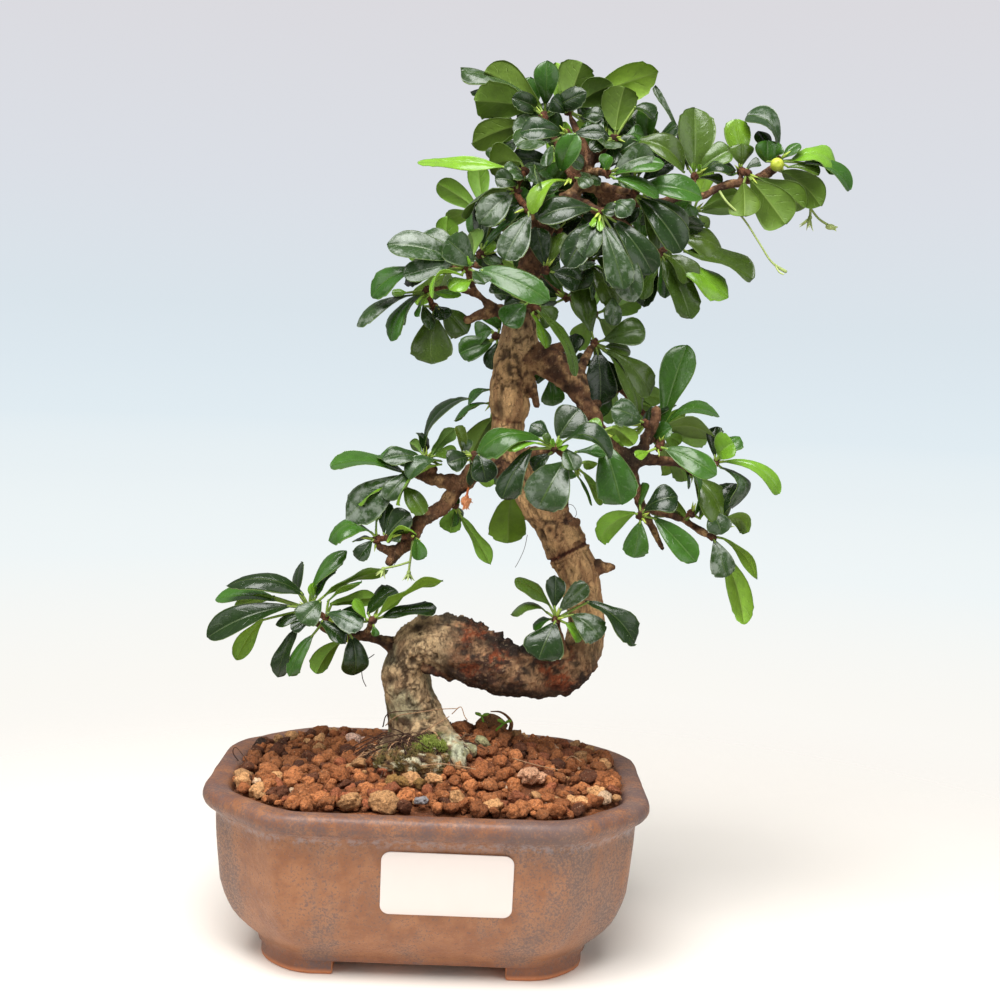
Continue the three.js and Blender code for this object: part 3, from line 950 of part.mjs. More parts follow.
const moss = new THREE.Vector3(-3, -16, 63.5);
const white = new THREE.Vector3(-27.2, 22, 59.4);
const grey = new THREE.Vector3(-1.3, -42, 57.8);
const tan = new THREE.Vector3(34.3, -23.6, 61.5);
add("moss", onSoil(ball(moss, 7, 1, [2, 1.3, 0.88]), new THREE.Vector3(-3, -16, 72)), COLOURS.moss);
add("chip_white", onSoil(stone(white, [4, 2.8, 2.4], 20, 3), white), COLOURS.whiteChip);
add("pebble_grey", onSoil(stone(grey, [3.4, 3, 2.4], 50, 4), grey), COLOURS.greyChip);
add("chip_tan", onSoil(stone(tan, [4.2, 3.4, 2.6], 10, 5), tan), COLOURS.tanChip);
add("fallen_leaf", onSoil(makeFallenLeaf(), new THREE.Vector3(21, 13, 76)), COLOURS.dryLeaf);
add("seedling", onSoil(makeSeedling(), spot(17.4, 7, 76.6)), COLOURS.greenStem);

// The origin is the middle of the footprint at the height of the feet
const extent = new THREE.Box3().setFromObject(part);
const middle = extent.getCenter(new THREE.Vector3());
for (const mesh of part.children) {
  mesh.geometry.translate(-middle.x, -middle.y, -extent.min.z);
}

export default part;
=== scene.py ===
"""A small Fukien tea tree (Carmona) with an S-shaped trunk in an eight-sided glazed pot.

Shapes are worked out in millimetres from the middle of the pot and turned into metres of the shared
frame when a mesh is made. The front of the pot faces -Y.
"""

import math
from types import SimpleNamespace

import bmesh
import bpy
import numpy as np
from mathutils import Matrix, Vector


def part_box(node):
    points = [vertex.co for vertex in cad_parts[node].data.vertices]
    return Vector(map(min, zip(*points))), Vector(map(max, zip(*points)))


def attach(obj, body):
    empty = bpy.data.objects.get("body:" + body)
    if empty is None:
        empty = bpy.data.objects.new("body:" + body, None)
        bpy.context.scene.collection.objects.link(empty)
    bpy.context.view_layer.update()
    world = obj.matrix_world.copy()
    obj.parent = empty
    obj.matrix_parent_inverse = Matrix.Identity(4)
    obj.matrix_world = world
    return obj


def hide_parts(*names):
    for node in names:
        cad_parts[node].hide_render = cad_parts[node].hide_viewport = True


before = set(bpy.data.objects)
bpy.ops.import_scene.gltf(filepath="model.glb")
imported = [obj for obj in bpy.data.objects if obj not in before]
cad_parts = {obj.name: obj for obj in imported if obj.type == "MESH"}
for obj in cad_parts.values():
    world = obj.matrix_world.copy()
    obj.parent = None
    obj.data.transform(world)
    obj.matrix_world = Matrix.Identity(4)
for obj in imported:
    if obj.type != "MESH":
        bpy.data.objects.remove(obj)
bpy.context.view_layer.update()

MM = 0.001
FOOT_BOTTOM = -2.5
pot_low, pot_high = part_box("pot")
ORIGIN = np.array([
    (pot_low.x + pot_high.x) / 2,
    (pot_low.y + pot_high.y) / 2,
    pot_low.z - FOOT_BOTTOM * MM,
])

# The photograph's viewpoint, in millimetres and degrees; positions of the tree are read on the plane
# y = 0 and moved along the line of sight to the depth y that each row gives.
EYE = np.array([11.8, -499.3, 196.5])
EYE_HEADING = 1.0
EYE_PITCH = 5.0
EYE_ROLL = 2.5
LENS = 52.2
SENSOR = 36.0

# Pot
RIM_HALF_X = 75.0
RIM_HALF_Y = 58.5
FRONT_HALF_STRAIGHT = 48.5
SIDE_HALF_STRAIGHT = 31.5
STRAIGHT_LOSS = 0.414
CORNER_RADIUS = 26.0
POT_PROFILE = [
    [2.5, 19.5], [2.5, 19.2], [2.9, 18.9], [4.2, 18.8], [4.7, 18.5], [5.2, 18.1], [6.2, 17.2], [7.6, 15.8],
    [9, 14.4], [11.3, 12.6], [14, 10.9], [17, 9.4], [20, 8.3], [22, 7.7], [25, 6.9], [30, 6.3], [36, 5.7],
    [42, 5.2], [45.6, 4.9], [47.2, 4.5], [48.4, 3.8], [49.1, 3], [49.7, 2.1], [50.4, 1.2], [51.3, 0.5],
    [52.5, 0], [53.8, 0], [55, 0.35], [55.9, 1], [56.4, 1.9], [56.55, 3], [56.5, 4.6], [56.3, 6.2],
    [55.9, 7.6], [55, 8.6], [53.5, 9.3], [50, 10.4], [40, 12], [22, 14.5], [10, 20], [7.5, 24],
]
# The profile's rows on the outside of the wall
WALL_ROWS = slice(10, 26)
# How much smaller the radius of the wall's upright edges is than that of the lip's corners
WALL_RADIUS_LOSS = 15.0
FOOT_OUTLINE = [
    [28.5, 38.2], [36.5, 38.2], [40, 37.4], [43, 36.2], [46.5, 33.6], [49.5, 30.6], [51.8, 27.6],
    [53.4, 24.4], [54.3, 21], [54.6, 18], [54.6, 12], [45.5, 12], [45.5, 17], [43, 22], [38.6, 26.6],
    [34, 29], [28.5, 29],
]
FOOT_TOP = 3.1
FOOT_EDGE = 0.9
DRAIN_X = 30.0
DRAIN_RADIUS = 8.0
DRILL_HEIGHTS = [-4, 20]
DRILL_SIDES = 40

# Soil
SOIL_EDGE = 55.0
MOUND_HEIGHT = 16.0
MOUND_CENTRE = [10.0, 2.0]
MOUND_SPREAD = [40.0, 28.0]

# Leaves
BASE_DEPTH_SHARE = 0.3
NARROWEST_TURN = 0.5
WIDEST_LEAF = 15.0

# The trunk along its centre line: [x, depth y, z, radius]
TRUNK = [
    [-5, 6, 46, 11], [-5, 6, 56, 10.5], [-5, 5, 66, 10.5], [-5.5, 4, 74, 10], [-8.5, 2, 84, 8.6],
    [-9.5, 0, 93, 8.1], [-6, -2, 101, 8], [0, -4, 102.5, 8.5], [10, -5, 99.5, 10], [20, -6, 94.5, 9.2],
    [30, -6, 92.8, 8.3], [40, -5, 92, 7.5], [48, -4, 95.5, 7.2], [52, -3, 103, 6.6], [52.5, -2, 112, 6.3],
    [51, -1, 120, 6.4], [49, 0, 128, 7.2], [44.5, 1, 137, 7.2], [40, 2, 144.5, 7], [34.5, 3, 151, 6.4],
    [29, 4, 158, 5.2], [24.8, 5, 165, 5.7], [22.3, 5, 173, 5.6], [22, 5, 180.5, 5.7], [22.5, 5, 185.4, 7.2],
    [21.7, 5, 190, 6.3], [22.3, 5, 195, 6.4], [22.7, 5, 199, 6.5], [24.5, 5, 206, 7], [25, 4, 214, 6],
    [25.5, 3, 223, 4.6], [27, 2, 233, 4.2], [29.5, 1, 242, 3.8], [34, 0, 250, 3.2], [40, -1, 257, 2.8],
    [44.5, -1, 264, 2.6], [46, -1, 271, 1.8],
]

# Roots that spread into the soil, knobs of bark and the stumps of cut branches
ROOTS = [
    [[-5, 2, 70, 5], [-12, -2, 66, 3.6], [-19, -6, 61, 2.6], [-24, -9, 55, 2]],
    [[-3, 2, 80, 5.2], [0, 0, 75, 4.8], [4.5, -3, 70, 3.8], [10, -8, 63, 3], [15, -13, 56, 2.2]],
    [[-4, -2, 71, 5.5], [-1, -11, 65, 4], [2, -18, 59, 2.8], [3, -23, 53, 2.2]],
    [[-6, 8, 73, 6], [-8, 16, 66, 4], [-9, 24, 58, 2.6]],
    [[-2, 8, 73, 6], [6, 14, 66, 4], [11, 20, 58, 2.6]],
    [[0, -4, 69, 5], [6, -11, 66.5, 4.6], [9, -16, 63.5, 3.6], [11, -19, 57, 2.4]],
]
KNOBS = [
    [[11, -6, 102, 5], [15, -6.5, 105, 3], [19.5, -7, 105.4, 1.2]],
    [[-2, -6, 94, 3], [2, -7, 91.8, 1.9], [5.6, -7, 89.7, 1.4]],
    [[50, 0, 130, 5], [56, -1, 130.6, 2.6], [60.2, -1, 131, 1.2]],
    [[42, 0, 145, 4.5], [46.6, -1, 146, 1.9]],
    [[40, 0, 146, 3.2], [42.2, -1, 150, 2.4], [42.6, -1, 153.3, 2.1]],
    [[27, 3, 196, 3], [29.8, 2, 192, 1.8], [31.8, 2, 186.2, 1.2]],
    [[33, 3, 203, 3.4], [37, 3, 205.4, 2.1], [40.3, 3, 207.4, 1.6]],
    [[-3, -7, 162.5, 1.6], [-7, -8, 163, 2], [-10.3, -9, 163.3, 1.9]],
    [[20, 1, 216.5, 2.4], [15, -4, 217.5, 2.2], [10, -5, 215.5, 1.8], [6.5, -6, 213.8, 1.5]],
]

# Branches: [x, depth y, z, radius]
BRANCHES = [
    [[24, 4, 163, 4.6], [17, -1, 164, 3.4], [12, -5, 163, 3], [8, -6, 158.5, 3.2], [4.5, -6, 154.5, 2.4],
        [1.5, -7, 150.5, 2.3], [-3, -8, 146.7, 2.3], [-7.4, -9, 143.5, 2.6], [-8.5, -10, 139.5, 2.2],
        [-12, -10, 135.8, 2.6], [-14.8, -10, 132.4, 1.8], [-16.7, -10, 129.6, 1.5]],
    [[24, 5, 203, 6.2], [32, 4, 202, 5.6], [39, 2, 198.5, 5], [44, 0, 194, 5.2], [47, -1, 189.5, 3.2],
        [50, -2, 185, 2.6], [53.5, -3, 179.5, 2.3], [57.5, -3, 173.5, 2.3], [62, -3, 170.5, 2.8],
        [66, -3, 169, 3.4]],
    [[66, -3, 168.5, 3.4], [68.5, -3, 171, 2.6], [70.5, -2, 177, 1.9], [72.5, -2, 183, 1.8],
        [73, -2, 186.2, 1.5]],
    [[66, -3, 170, 3], [66.5, -3, 163, 1.9], [68, -3, 157, 1.7], [70, -3, 151.5, 1.9], [72.8, -3, 146.8, 1.4],
        [75.5, -3, 142.2, 1.2], [77.6, -3, 138.4, 1]],
    [[43, -1, 262, 2.6], [49, -2, 260, 2.1], [55, -3, 258, 1.9], [61, -3, 257, 1.8], [67, -3, 256, 1.7],
        [72.3, -3, 257, 1.6], [77.7, -2, 259, 1.5], [83.7, -1, 259, 1.4], [90, -1, 262.3, 1.3],
        [96, -1, 264.2, 1.4], [101, -1, 265.4, 1.3], [106.8, -1, 267.8, 1.8]],
]

# Leafy shoots: name, twig [x, depth y, z, radius], stem [x, depth y, z] and leaves [base x, base z,
# tip x, tip z, depth, seen width, turn in degrees, arch, colour: 0 dark, 1 middle, 2 olive, 3 young, 4 dusty
# with a painted sheen]
SHOOTS = [
    ["low_left_outer",
     [[-14, -2, 100, 3.2], [-20, -3, 102.5, 2.1], [-25, -4, 103.5, 1.8], [-31, -5, 102.5, 1.6],
      [-36, -6, 104, 1.4], [-41, -6, 107, 1.1], [-44, -6, 112, 0.9]],
     [[-44, -6, 112], [-38, -9, 109], [-31, -9, 105.5]],
     [[-46, 117, -73, 119, -3, 6.6, 50, 5, 0], [-55, 114.6, -76.7, 114, 4, 5, 60, 2, 1],
      [-50, 113, -79, 100.5, -6, 9, 30, 4, 0], [-56, 116, -70, 112, 2, 4, 150, 1, 1],
      [-60, 108, -69, 93, 0, 6, 150, 2, 1], [-40, 115, -47, 107, -8, 9, 10, 1, 4],
      [-46, 110, -55.6, 106, -2, 4, 40, 1, 0], [-43, 109, -50, 104.4, -4, 4, 30, 0.5, 0],
      [-48, 105, -54, 87.5, 1, 6, 40, 2, 0], [-42.5, 103, -50, 88, -1, 5.5, 40, 2, 1],
      [-32, 102, -41, 89.3, 2, 6, 140, 2, 1], [-29, 103, -27.5, 89.4, 0, 9.5, 25, 2, 0],
      [-44, 117, -31.7, 133, 2, 4, 60, 3, 1], [-48, 117, -47.3, 128.4, 6, 5, 70, 1, 0],
      [-42, 116, -36, 128, 4, 3.5, 60, 1, 1], [-43, 115, -43.7, 121, -2, 3, 60, 0.5, 3],
      [-39, 117, -17.2, 126.8, -3, 5, 110, 2, 1], [-38, 115, -26.4, 122.4, -4, 4, 100, 1, 1],
      [-37, 114, -20.7, 117, 2, 5, 150, 1, 1], [-38, 111, -25.4, 106.3, -8, 7.5, 25, 1.5, 4],
      [-40, 108, -31, 100.2, -6, 5.5, 30, 1, 0]]],
    ["low_left_inner",
     [[-25, -4, 103.5, 1.4], [-23.5, -9, 105.5, 1.1], [-22, -14, 109, 0.9]],
     [[-22, -14, 109]],
     [[-24, 109, -28.5, 116.4, 0, 3, 60, 0.5, 3], [-20, 111, 2, 124, -3, 5.5, 105, 2, 1],
      [-19.4, 110, 0, 113.5, 2, 5, 50, 1.5, 0], [-21.5, 107, -21.2, 103.3, -2, 3, 40, 0.5, 1],
      [-24, 111, -14, 120, 6, 6, 60, 1, 0], [-25, 108, -33, 112, 6, 5, 60, 1, 0]]],
    ["low_mid",
     [[46, -6, 97, 2.2], [44, -11, 104, 1.4], [42, -14, 112, 0.9]],
     [[42, -14, 112]],
     [[40, 116, 26.8, 125.2, -2, 5, 60, 2, 2], [39, 114, 26, 112.8, -1, 6, 80, 4, 2],
      [41, 116, 40.8, 127.4, 2, 7, 20, 1, 0], [43, 115, 52, 125, -3, 6.5, 15, 1, 4],
      [51.7, 118.8, 69.7, 104.4, -3, 7.5, 40, 4, 0], [47, 114, 57.6, 105.8, -5, 9.4, 25, 2, 4],
      [45, 111, 51.3, 105.2, 0, 6, 40, 1, 3], [41.5, 111, 36.4, 97.4, -7, 14, 10, 1.5, 0],
      [40, 112, 34, 110, 4, 4, 60, 0.5, 1]]],
    ["left_spray",
     [[8, -6, 158.8, 2.4], [2, -7, 158.5, 2.6], [-4, -8, 158.5, 1.8], [-10, -9, 160.5, 0.9]],
     [[-10, -9, 160.5], [-7.2, -8.4, 163.3], [-5.6, -8, 165.8]],
     [[-6.5, 168, 8.4, 187.4, 2, 7, 75, 5, 0], [-6.5, 168, -7.6, 174.8, 5, 4, 60, 1, 0],
      [-7, 168, -11.4, 171.4, 3, 3.5, 130, 0.5, 4], [-4, 167, 3.9, 177, -2, 4.5, 140, 1, 4],
      [-3, 167, 5, 168.5, -3, 4, 60, 1, 2], [-7, 166, -20.9, 165.1, -6, 6, 40, 2, 4],
      [-13, 161, -38.5, 162, 0, 10, 70, 3, 1], [-12, 163, -21.5, 166.5, 4, 5, 60, 1, 1],
      [0, 165.5, -11.3, 158.6, -8, 4.5, 60, 3, 4], [0, 164.5, -14.6, 149.4, -9, 2.5, 100, 4, 3],
      [-12, 160, -32.5, 144, -2, 13, 20, 3, 4], [-10.6, 161.2, -19, 151.3, -7, 6.5, 20, 1.5, 4],
      [-18, 157, -27.9, 148.8, -5, 2.5, 80, 1, 3], [-12.6, 156, -5.8, 146.5, -6, 7, 30, 1, 2]]],
    ["left_tip",
     [[-12.5, -10, 135, 1.8], [-17, -10, 134, 1.7], [-20.5, -10, 134.8, 1.2], [-21.5, -10, 137.5, 0.9]],
     [[-21.5, -10, 137.5], [-17.5, -12, 138], [-9.5, -14.5, 139]],
     [[-19.2, 139, -18, 150.5, 2, 5, 20, 1, 0], [-18.5, 138.5, -10.5, 147.3, -1, 8, 20, 1, 0],
      [-22, 140.3, -21.3, 149.5, -2, 2.5, 80, 0.5, 3], [-23, 139.5, -38, 136, -3, 6.5, 60, 5, 1],
      [-23, 137, -27.7, 129.9, -4, 5.5, 15, 1, 0], [-22.5, 138, -30, 136.2, 3, 3, 80, 0.5, 1],
      [-18, 136.5, -8.2, 140.1, -6, 3.5, 120, 3, 3], [-17, 137, -13, 139.5, -2, 4, 40, 0.5, 4],
      [-8, 138.5, -7.1, 130.6, -3, 5, 40, 0.5, 1]]],
    ["left_under",
     [[1.5, -7, 150.5, 1.6], [3.5, -5, 150.8, 1.2], [5, -2, 150.5, 0.9]],
     [[5, -2, 150.5]],
     [[4.8, 149.5, 3.7, 140.7, -1, 7.5, 165, 1, 1], [5, 149.8, 7.2, 144.3, 3, 5, 60, 0.5, 1],
      [7, 147, 18.3, 130.2, 0, 5, 150, 1, 1], [5, 151, 6, 153.8, -2, 3, 60, 0.3, 1]]],
    ["left_near",
     [[12, -5, 163, 1.6], [11.5, -11, 165.5, 1.1], [11, -16, 167.5, 0.9]],
     [[11, -16, 167.5]],
     [[9, 167.5, 1.8, 164.8, -6, 8, 10, 0.5, 0], [12.5, 168.5, 15.5, 158.7, -5, 9, 10, 1, 0],
      [9.8, 166, 10.3, 157.3, 1, 3, 50, 0.5, 0], [12, 160.5, 18, 158, 5, 4, 165, 0.5, 1],
      [7, 168.5, 4.4, 177.7, -2, 3.5, 60, 0.5, 2], [8, 169, 7.5, 173.5, 1, 4, 40, 0.5, 4]]],
    ["trunk_left_back",
     [[20, 8, 188, 1.8], [18, 10.5, 187.5, 1.1], [17, 13, 187, 0.9]],
     [[17, 13, 187]],
     [[16, 191, 8.2, 184.1, 3, 3.5, 70, 2, 1], [15.4, 186, 3.7, 179.3, 2, 5, 90, 3, 1],
      [16.4, 181, 10, 168.5, 0, 9, 160, 1, 2], [18, 184, 26, 176, 5, 7, 40, 1, 0],
      [18, 190, 28, 196, 6, 8, 40, 1, 1]]],
    ["fork_back",
     [[34, 5, 200, 2.4], [37.5, 9, 199.5, 1.2], [40, 12, 199, 0.9]],
     [[40, 12, 199]],
     [[36, 196, 37.5, 186, 2, 8, 30, 1, 1], [38, 198, 31, 194.5, 3, 5, 40, 1, 1],
      [40, 200, 38.5, 206, 3, 6, 30, 1, 0], [43, 200, 49, 203, 4, 6, 30, 1, 0],
      [45, 199, 47.5, 190.5, 2, 3, 110, 1, 4], [42, 201, 43.5, 211, 5, 8, 30, 1, 0]]],
    ["centre_front",
     [[26, 2, 168, 2.4], [31, -6, 170, 1.7], [36, -15, 169.8, 1.4], [38.8, -24, 171.5, 0.9]],
     [[38.8, -24, 171.5], [43, -22, 168], [46, -19, 165.5]],
     [[34, 174, 12, 168.7, -3, 8.5, 45, 6, 1], [33.5, 173, 21, 170.5, -7, 3, 70, 1.5, 3],
      [31, 171.5, 21.3, 153.1, -5, 8.5, 25, 3, 0], [42, 167, 33.7, 150.3, -9, 16, 5, 2, 4],
      [37, 169.5, 31.3, 163.8, 1, 5.5, 20, 1, 0], [39.5, 175, 46.5, 185.5, 3, 11.5, 15, 1, 0],
      [37, 175, 30, 179.5, 2, 6.5, 20, 1, 0], [37.5, 172.8, 34, 175.5, -3, 3, 40, 0.5, 2],
      [39, 172, 41, 174.2, -3, 2, 40, 0.2, 3], [38.5, 172, 37.2, 174.4, -3, 1.8, 40, 0.2, 3],
      [40, 172, 43, 172.2, -4, 2, 50, 0.2, 3], [41.5, 174, 57.8, 168.7, -7, 6.5, 50, 6, 0],
      [42.3, 171.5, 45.9, 164.2, -8, 6.5, 10, 0.5, 4], [45.6, 170.6, 56.4, 170.2, -2, 4, 45, 0.5, 1],
      [44, 165, 43.5, 160.8, -1, 5, 40, 0.5, 1], [46, 163.5, 52.4, 152.2, -1, 1.8, 80, 1, 1],
      [49, 163.5, 55.5, 152.4, 0, 3.5, 150, 1, 1], [49, 167.5, 52.5, 165.5, 4, 4, 140, 0.5, 1]]],
    ["centre_big",
     [[54.5, -3, 178, 1.6], [54, -9, 178, 1.1], [54, -16, 177.5, 0.9]],
     [[54, -16, 177.5]],
     [[55, 175, 62.6, 153, -7, 14, 5, 3, 1], [58, 180, 66, 174, 2, 6, 150, 1, 1],
      [55, 178, 50, 181.5, 2, 4, 40, 0.5, 3]]],
    ["trunk_back",
     [[27, 5, 160, 1.6], [26, 9, 158, 1.1], [24.5, 13, 156.5, 0.9]],
     [[24.5, 13, 156.5]],
     [[24, 154, 24, 137.9, 3, 13.5, 170, 2, 1], [27, 154, 33, 147, 6, 7, 150, 1, 1],
      [22, 157, 14, 163, 6, 7, 60, 1, 1], [27, 158, 38, 163, 6, 8, 50, 1, 1],
      [40, 155, 43.6, 146.5, 0, 3, 150, 1, 3]]],
    ["right_inner",
     [[71.8, -2, 181, 1.3], [70.7, -5.5, 181.3, 1], [69.5, -9, 181.3, 0.9]],
     [[69.5, -9, 181.3]],
     [[68, 182, 57.3, 186, -5, 9.5, 25, 2, 4], [66, 179, 55, 176, 5, 6, 160, 1, 1],
      [67, 178, 58, 173.5, 5, 5, 165, 1, 3], [67.5, 178, 64.5, 174.8, 2, 3, 60, 1, 1]]],
    ["right_upper",
     [[70.8, -2, 175, 1.4], [72, 0.5, 175.5, 1], [73.5, 3, 176.5, 0.9]],
     [[73.5, 3, 176.5], [75, -2, 174.8], [74.5, -7, 173.4]],
     [[75, 180, 82.2, 208.9, 3, 11, 20, 1.5, 1], [76, 181, 94.8, 185, -1, 5, 60, 5, 1],
      [76, 180, 93.9, 177.7, -4, 8.5, 120, 3, 2], [72.5, 176, 78.5, 180.5, -4, 6, 30, 1, 1],
      [76, 178, 82, 175, 3, 5, 150, 1, 1], [76.5, 173.2, 95, 164.6, -9, 9, 25, 2, 1],
      [71, 171.8, 66.7, 169.8, -8, 3.5, 20, 0.3, 3], [71, 180, 71, 187, 4, 6, 60, 1, 0],
      [73, 183, 77, 188, 5, 6, 60, 2, 0]]],
    ["right_mid",
     [[45, 1, 196, 2.4], [47, 6, 201, 1.7], [49, 9.5, 205.5, 1.3], [50.5, 12, 208.2, 0.9]],
     [[50.5, 12, 208.2]],
     [[49.6, 211, 44, 227, 0, 8.5, 30, 1, 2], [53, 209, 67.5, 214, -3, 10, 20, 1, 2],
      [54, 207, 63, 206, 2, 5, 60, 1, 2], [54, 206.2, 70.4, 191, -2, 8, 40, 4, 2],
      [53.5, 206, 67.2, 183.7, -6, 6, 60, 4, 2], [51.8, 205, 53.5, 186.5, -4, 11.5, 15, 2, 0],
      [54, 203, 59.5, 192, 0, 7, 30, 1, 0], [51, 202, 53.5, 182.5, 3, 5, 60, 1, 1]]],
    ["right_low_inner",
     [[70.5, -2, 152, 1.5], [78, 2, 150.5, 1.2], [84, 1.5, 149, 1.1], [87, -2.5, 151, 0.9]],
     [[87, -2.5, 151]],
     [[88.3, 150, 87, 165, 1, 5, 75, 2, 1], [86, 148.5, 73, 152.3, 3, 8.5, 140, 4, 2],
      [90, 149, 91.5, 154, 2, 3, 60, 0.5, 3]]],
    ["right_low",
     [[84, 1.5, 149, 1.1], [89, 1, 145.8, 1.3], [92, -1, 144, 1.3], [94.6, -2, 143.2, 0.9]],
     [[94.6, -2, 143.2], [97, -1, 147]],
     [[97, 150, 101.5, 162, 2, 8, 30, 2, 0], [94, 152, 98, 144, -5, 8.5, 25, 1, 4],
      [99, 150, 107.2, 145.2, -2, 6.5, 120, 3, 1], [95.5, 142, 100.5, 129.3, -5, 9, 10, 1, 4],
      [98, 139, 107.7, 112.8, 0, 8.5, 150, 3, 1], [98, 143, 111.3, 128.9, -2, 4, 130, 3, 1]]],
    ["right_tip",
     [[66, -3, 169, 2.6], [70, -2, 169, 2.2], [76, -1, 168.8, 1.8], [82, 1, 168, 1.4], [86.6, 4, 165.2, 0.9]],
     [[86.6, 4, 165.2], [90.5, 1, 167.5], [94.3, -2, 168.8]],
     [[87.5, 163.5, 98.5, 147.4, -6, 10.5, 40, 3, 2], [84, 167, 85.7, 159.4, 1, 2.5, 80, 0.5, 1],
      [88, 164.5, 91.5, 161.5, 1, 3, 40, 0.5, 0], [95, 171, 100.2, 176, -5, 9, 30, 1, 3],
      [97, 169.5, 117, 159, -2, 5, 50, 5, 3], [94, 171, 94, 181.4, 4, 5.5, 30, 1, 0],
      [96, 171.5, 102.2, 178.3, 3, 6, 40, 1, 1], [96, 167.5, 101.2, 153.3, 1, 6, 60, 8, 4]]],
    ["right_hang",
     [[70, -3, 151.5, 1.9], [69.8, -5, 150.3, 1.2], [69.5, -7, 149.3, 0.9]],
     [[69.5, -7, 149.3]],
     [[67.5, 150.5, 55.5, 140.2, -2, 8.5, 150, 4, 1], [69.4, 147.3, 68, 134.6, -3, 8.8, 10, 0.5, 1],
      [74, 149.2, 89.5, 134, -5, 9, 20, 1, 1], [70.3, 151, 82, 156.5, -3, 9.5, 30, 3, 0],
      [69, 152.5, 69.5, 161, 4, 4, 60, 0.5, 1]]],
    ["crown_left",
     [[20, 0, 217, 2.2], [15.5, -5, 218.5, 1.7], [10.5, -10, 222.5, 1.3], [7.5, -15, 226, 1.1],
      [5.5, -21, 231.5, 0.9]],
     [[5.5, -21, 231.5], [9, -20, 228]],
     [[2, 234, -21.7, 238.2, -3, 10, 35, 3, 4], [4, 236, -11, 242, 4, 7, 40, 2, 4],
      [8, 233, -1.5, 241, -6, 10.5, 15, 1, 4], [1.5, 233, -15.6, 228.1, -6, 7, 20, 1, 4],
      [0, 231, -15.2, 225.5, 4, 7, 50, 4, 0], [-1, 229.5, -26.4, 220.5, 3, 6, 50, 6, 1],
      [5, 233, 6, 235.5, -4, 4, 40, 0.3, 3], [10, 231.3, 34.4, 221.8, -8, 9.5, 25, 3, 1],
      [8, 231, 12.2, 226.6, -9, 5, 40, 0.5, 4], [4.6, 229.2, -5.5, 221, -9, 2.2, 90, 5, 3],
      [7, 227.5, 0, 224, -5, 5.5, 50, 1, 3], [8, 236, 6.5, 244, 3, 5, 120, 1, 4]]],
    ["crown_left_low",
     [[10.5, -10, 222.5, 1.3], [5, -12, 224, 1], [-1, -14, 224.5, 0.9], [-7.5, -14, 223.5, 0.9]],
     [[-7.5, -14, 223.5], [-5, -9, 217.8]],
     [[-11, 222, -31, 210.3, -2, 4, 60, 3, 4], [-14, 222.5, -19.4, 221.7, -2, 2.5, 50, 0.3, 3],
      [-10, 222, -19.3, 205.8, 0, 5, 60, 3, 1], [-9, 222.5, -15, 211.3, -4, 2.5, 80, 1.5, 4],
      [-7, 222, -10, 214.5, -6, 2.5, 80, 1, 1], [-5, 216, -5.2, 198.5, -2, 14, 15, 1, 2],
      [-8.5, 218.5, -6, 210.2, -6, 4, 50, 1, 4], [-4, 218.5, -1, 213.8, -5, 6.5, 20, 0.5, 0],
      [-2, 217.5, 6.5, 209.3, 2, 9, 30, 1, 2], [-5, 223, 4.2, 222.3, -8, 3, 40, 0.5, 3]]],
    ["crown_mid",
     [[26, -1, 221, 1.8], [27, -7, 220.8, 1.2], [27.5, -14, 220.8, 0.9]],
     [[27.5, -14, 220.8], [30, -12, 218.5]],
     [[26.5, 220.5, 19.5, 213, -6, 9, 15, 0.5, 1], [28.5, 217.5, 33.9, 205.6, -5, 5, 70, 1, 3],
      [30, 218.5, 44.5, 196.5, -5, 3.5, 60, 4, 2], [27.5, 222.5, 28, 227, -2, 3.5, 40, 0.5, 4],
      [31, 220, 36, 214, 4, 8, 30, 1, 2], [25, 221, 19, 219, 3, 6, 30, 0.5, 0],
      [22, 223, 14, 226, 3, 5, 30, 0.5, 0]]],
    ["crown_left_back",
     [[21, 5, 209, 1.8], [19, 7.5, 209, 1.1], [17, 9.5, 209, 0.9]],
     [[17, 9.5, 209]],
     [[15.5, 207, 4.4, 202.6, 0, 9, 20, 1, 1], [17.3, 207, 15.6, 197.5, -2, 5.5, 40, 1, 0],
      [15.5, 211, 9.9, 208.7, 3, 8, 30, 1, 1], [18, 211, 12, 218, 5, 7, 40, 1, 1],
      [20, 210, 26, 217, 7, 8, 40, 1, 1]]],
    ["crown_left_upper",
     [[26, 2, 229, 2.2], [18, -5, 232, 1.4], [13, -10, 234.5, 1], [10.3, -12, 236.5, 0.9]],
     [[10.3, -12, 236.5]],
     [[10.5, 239, 10.8, 256, 1, 6.5, 30, 1, 0], [11, 238.5, 27.5, 253.5, -4, 3, 50, 2, 1],
      [12, 237, 15, 241, -3, 4, 30, 0.5, 3], [11, 235.5, 17, 233.5, -4, 4, 60, 0.5, 4]]],
    ["crown_front_left",
     [[30, 0, 244, 1.9], [27.5, -9, 249, 1.2], [25.5, -18, 252.5, 0.9]],
     [[25.5, -18, 252.5], [21.5, -17, 258], [24, -12, 265]],
     [[26.5, 250.5, 18.5, 235, -7, 10, 20, 1.5, 4], [20, 257.5, 9.5, 246.5, -3, 10, 20, 2, 4],
      [19, 259, 3.9, 248.3, 3, 4, 100, 3, 4], [23, 268, 11.7, 266.5, 2, 12, 150, 2, 2],
      [18, 266, -12.4, 266.3, 0, 4.5, 60, 1, 3], [22, 260, 14, 262, -5, 6, 30, 2, 0],
      [24, 262, 16, 263.5, -6, 5, 60, 3, 4], [25, 254, 17, 250, 2, 6, 40, 1, 0]]],
    ["crown_front",
     [[40, -2, 257, 2.2], [45, -10, 255, 1.5], [49, -18, 253, 1.2], [50.5, -24, 252.3, 0.9]],
     [[50.5, -24, 252.3]],
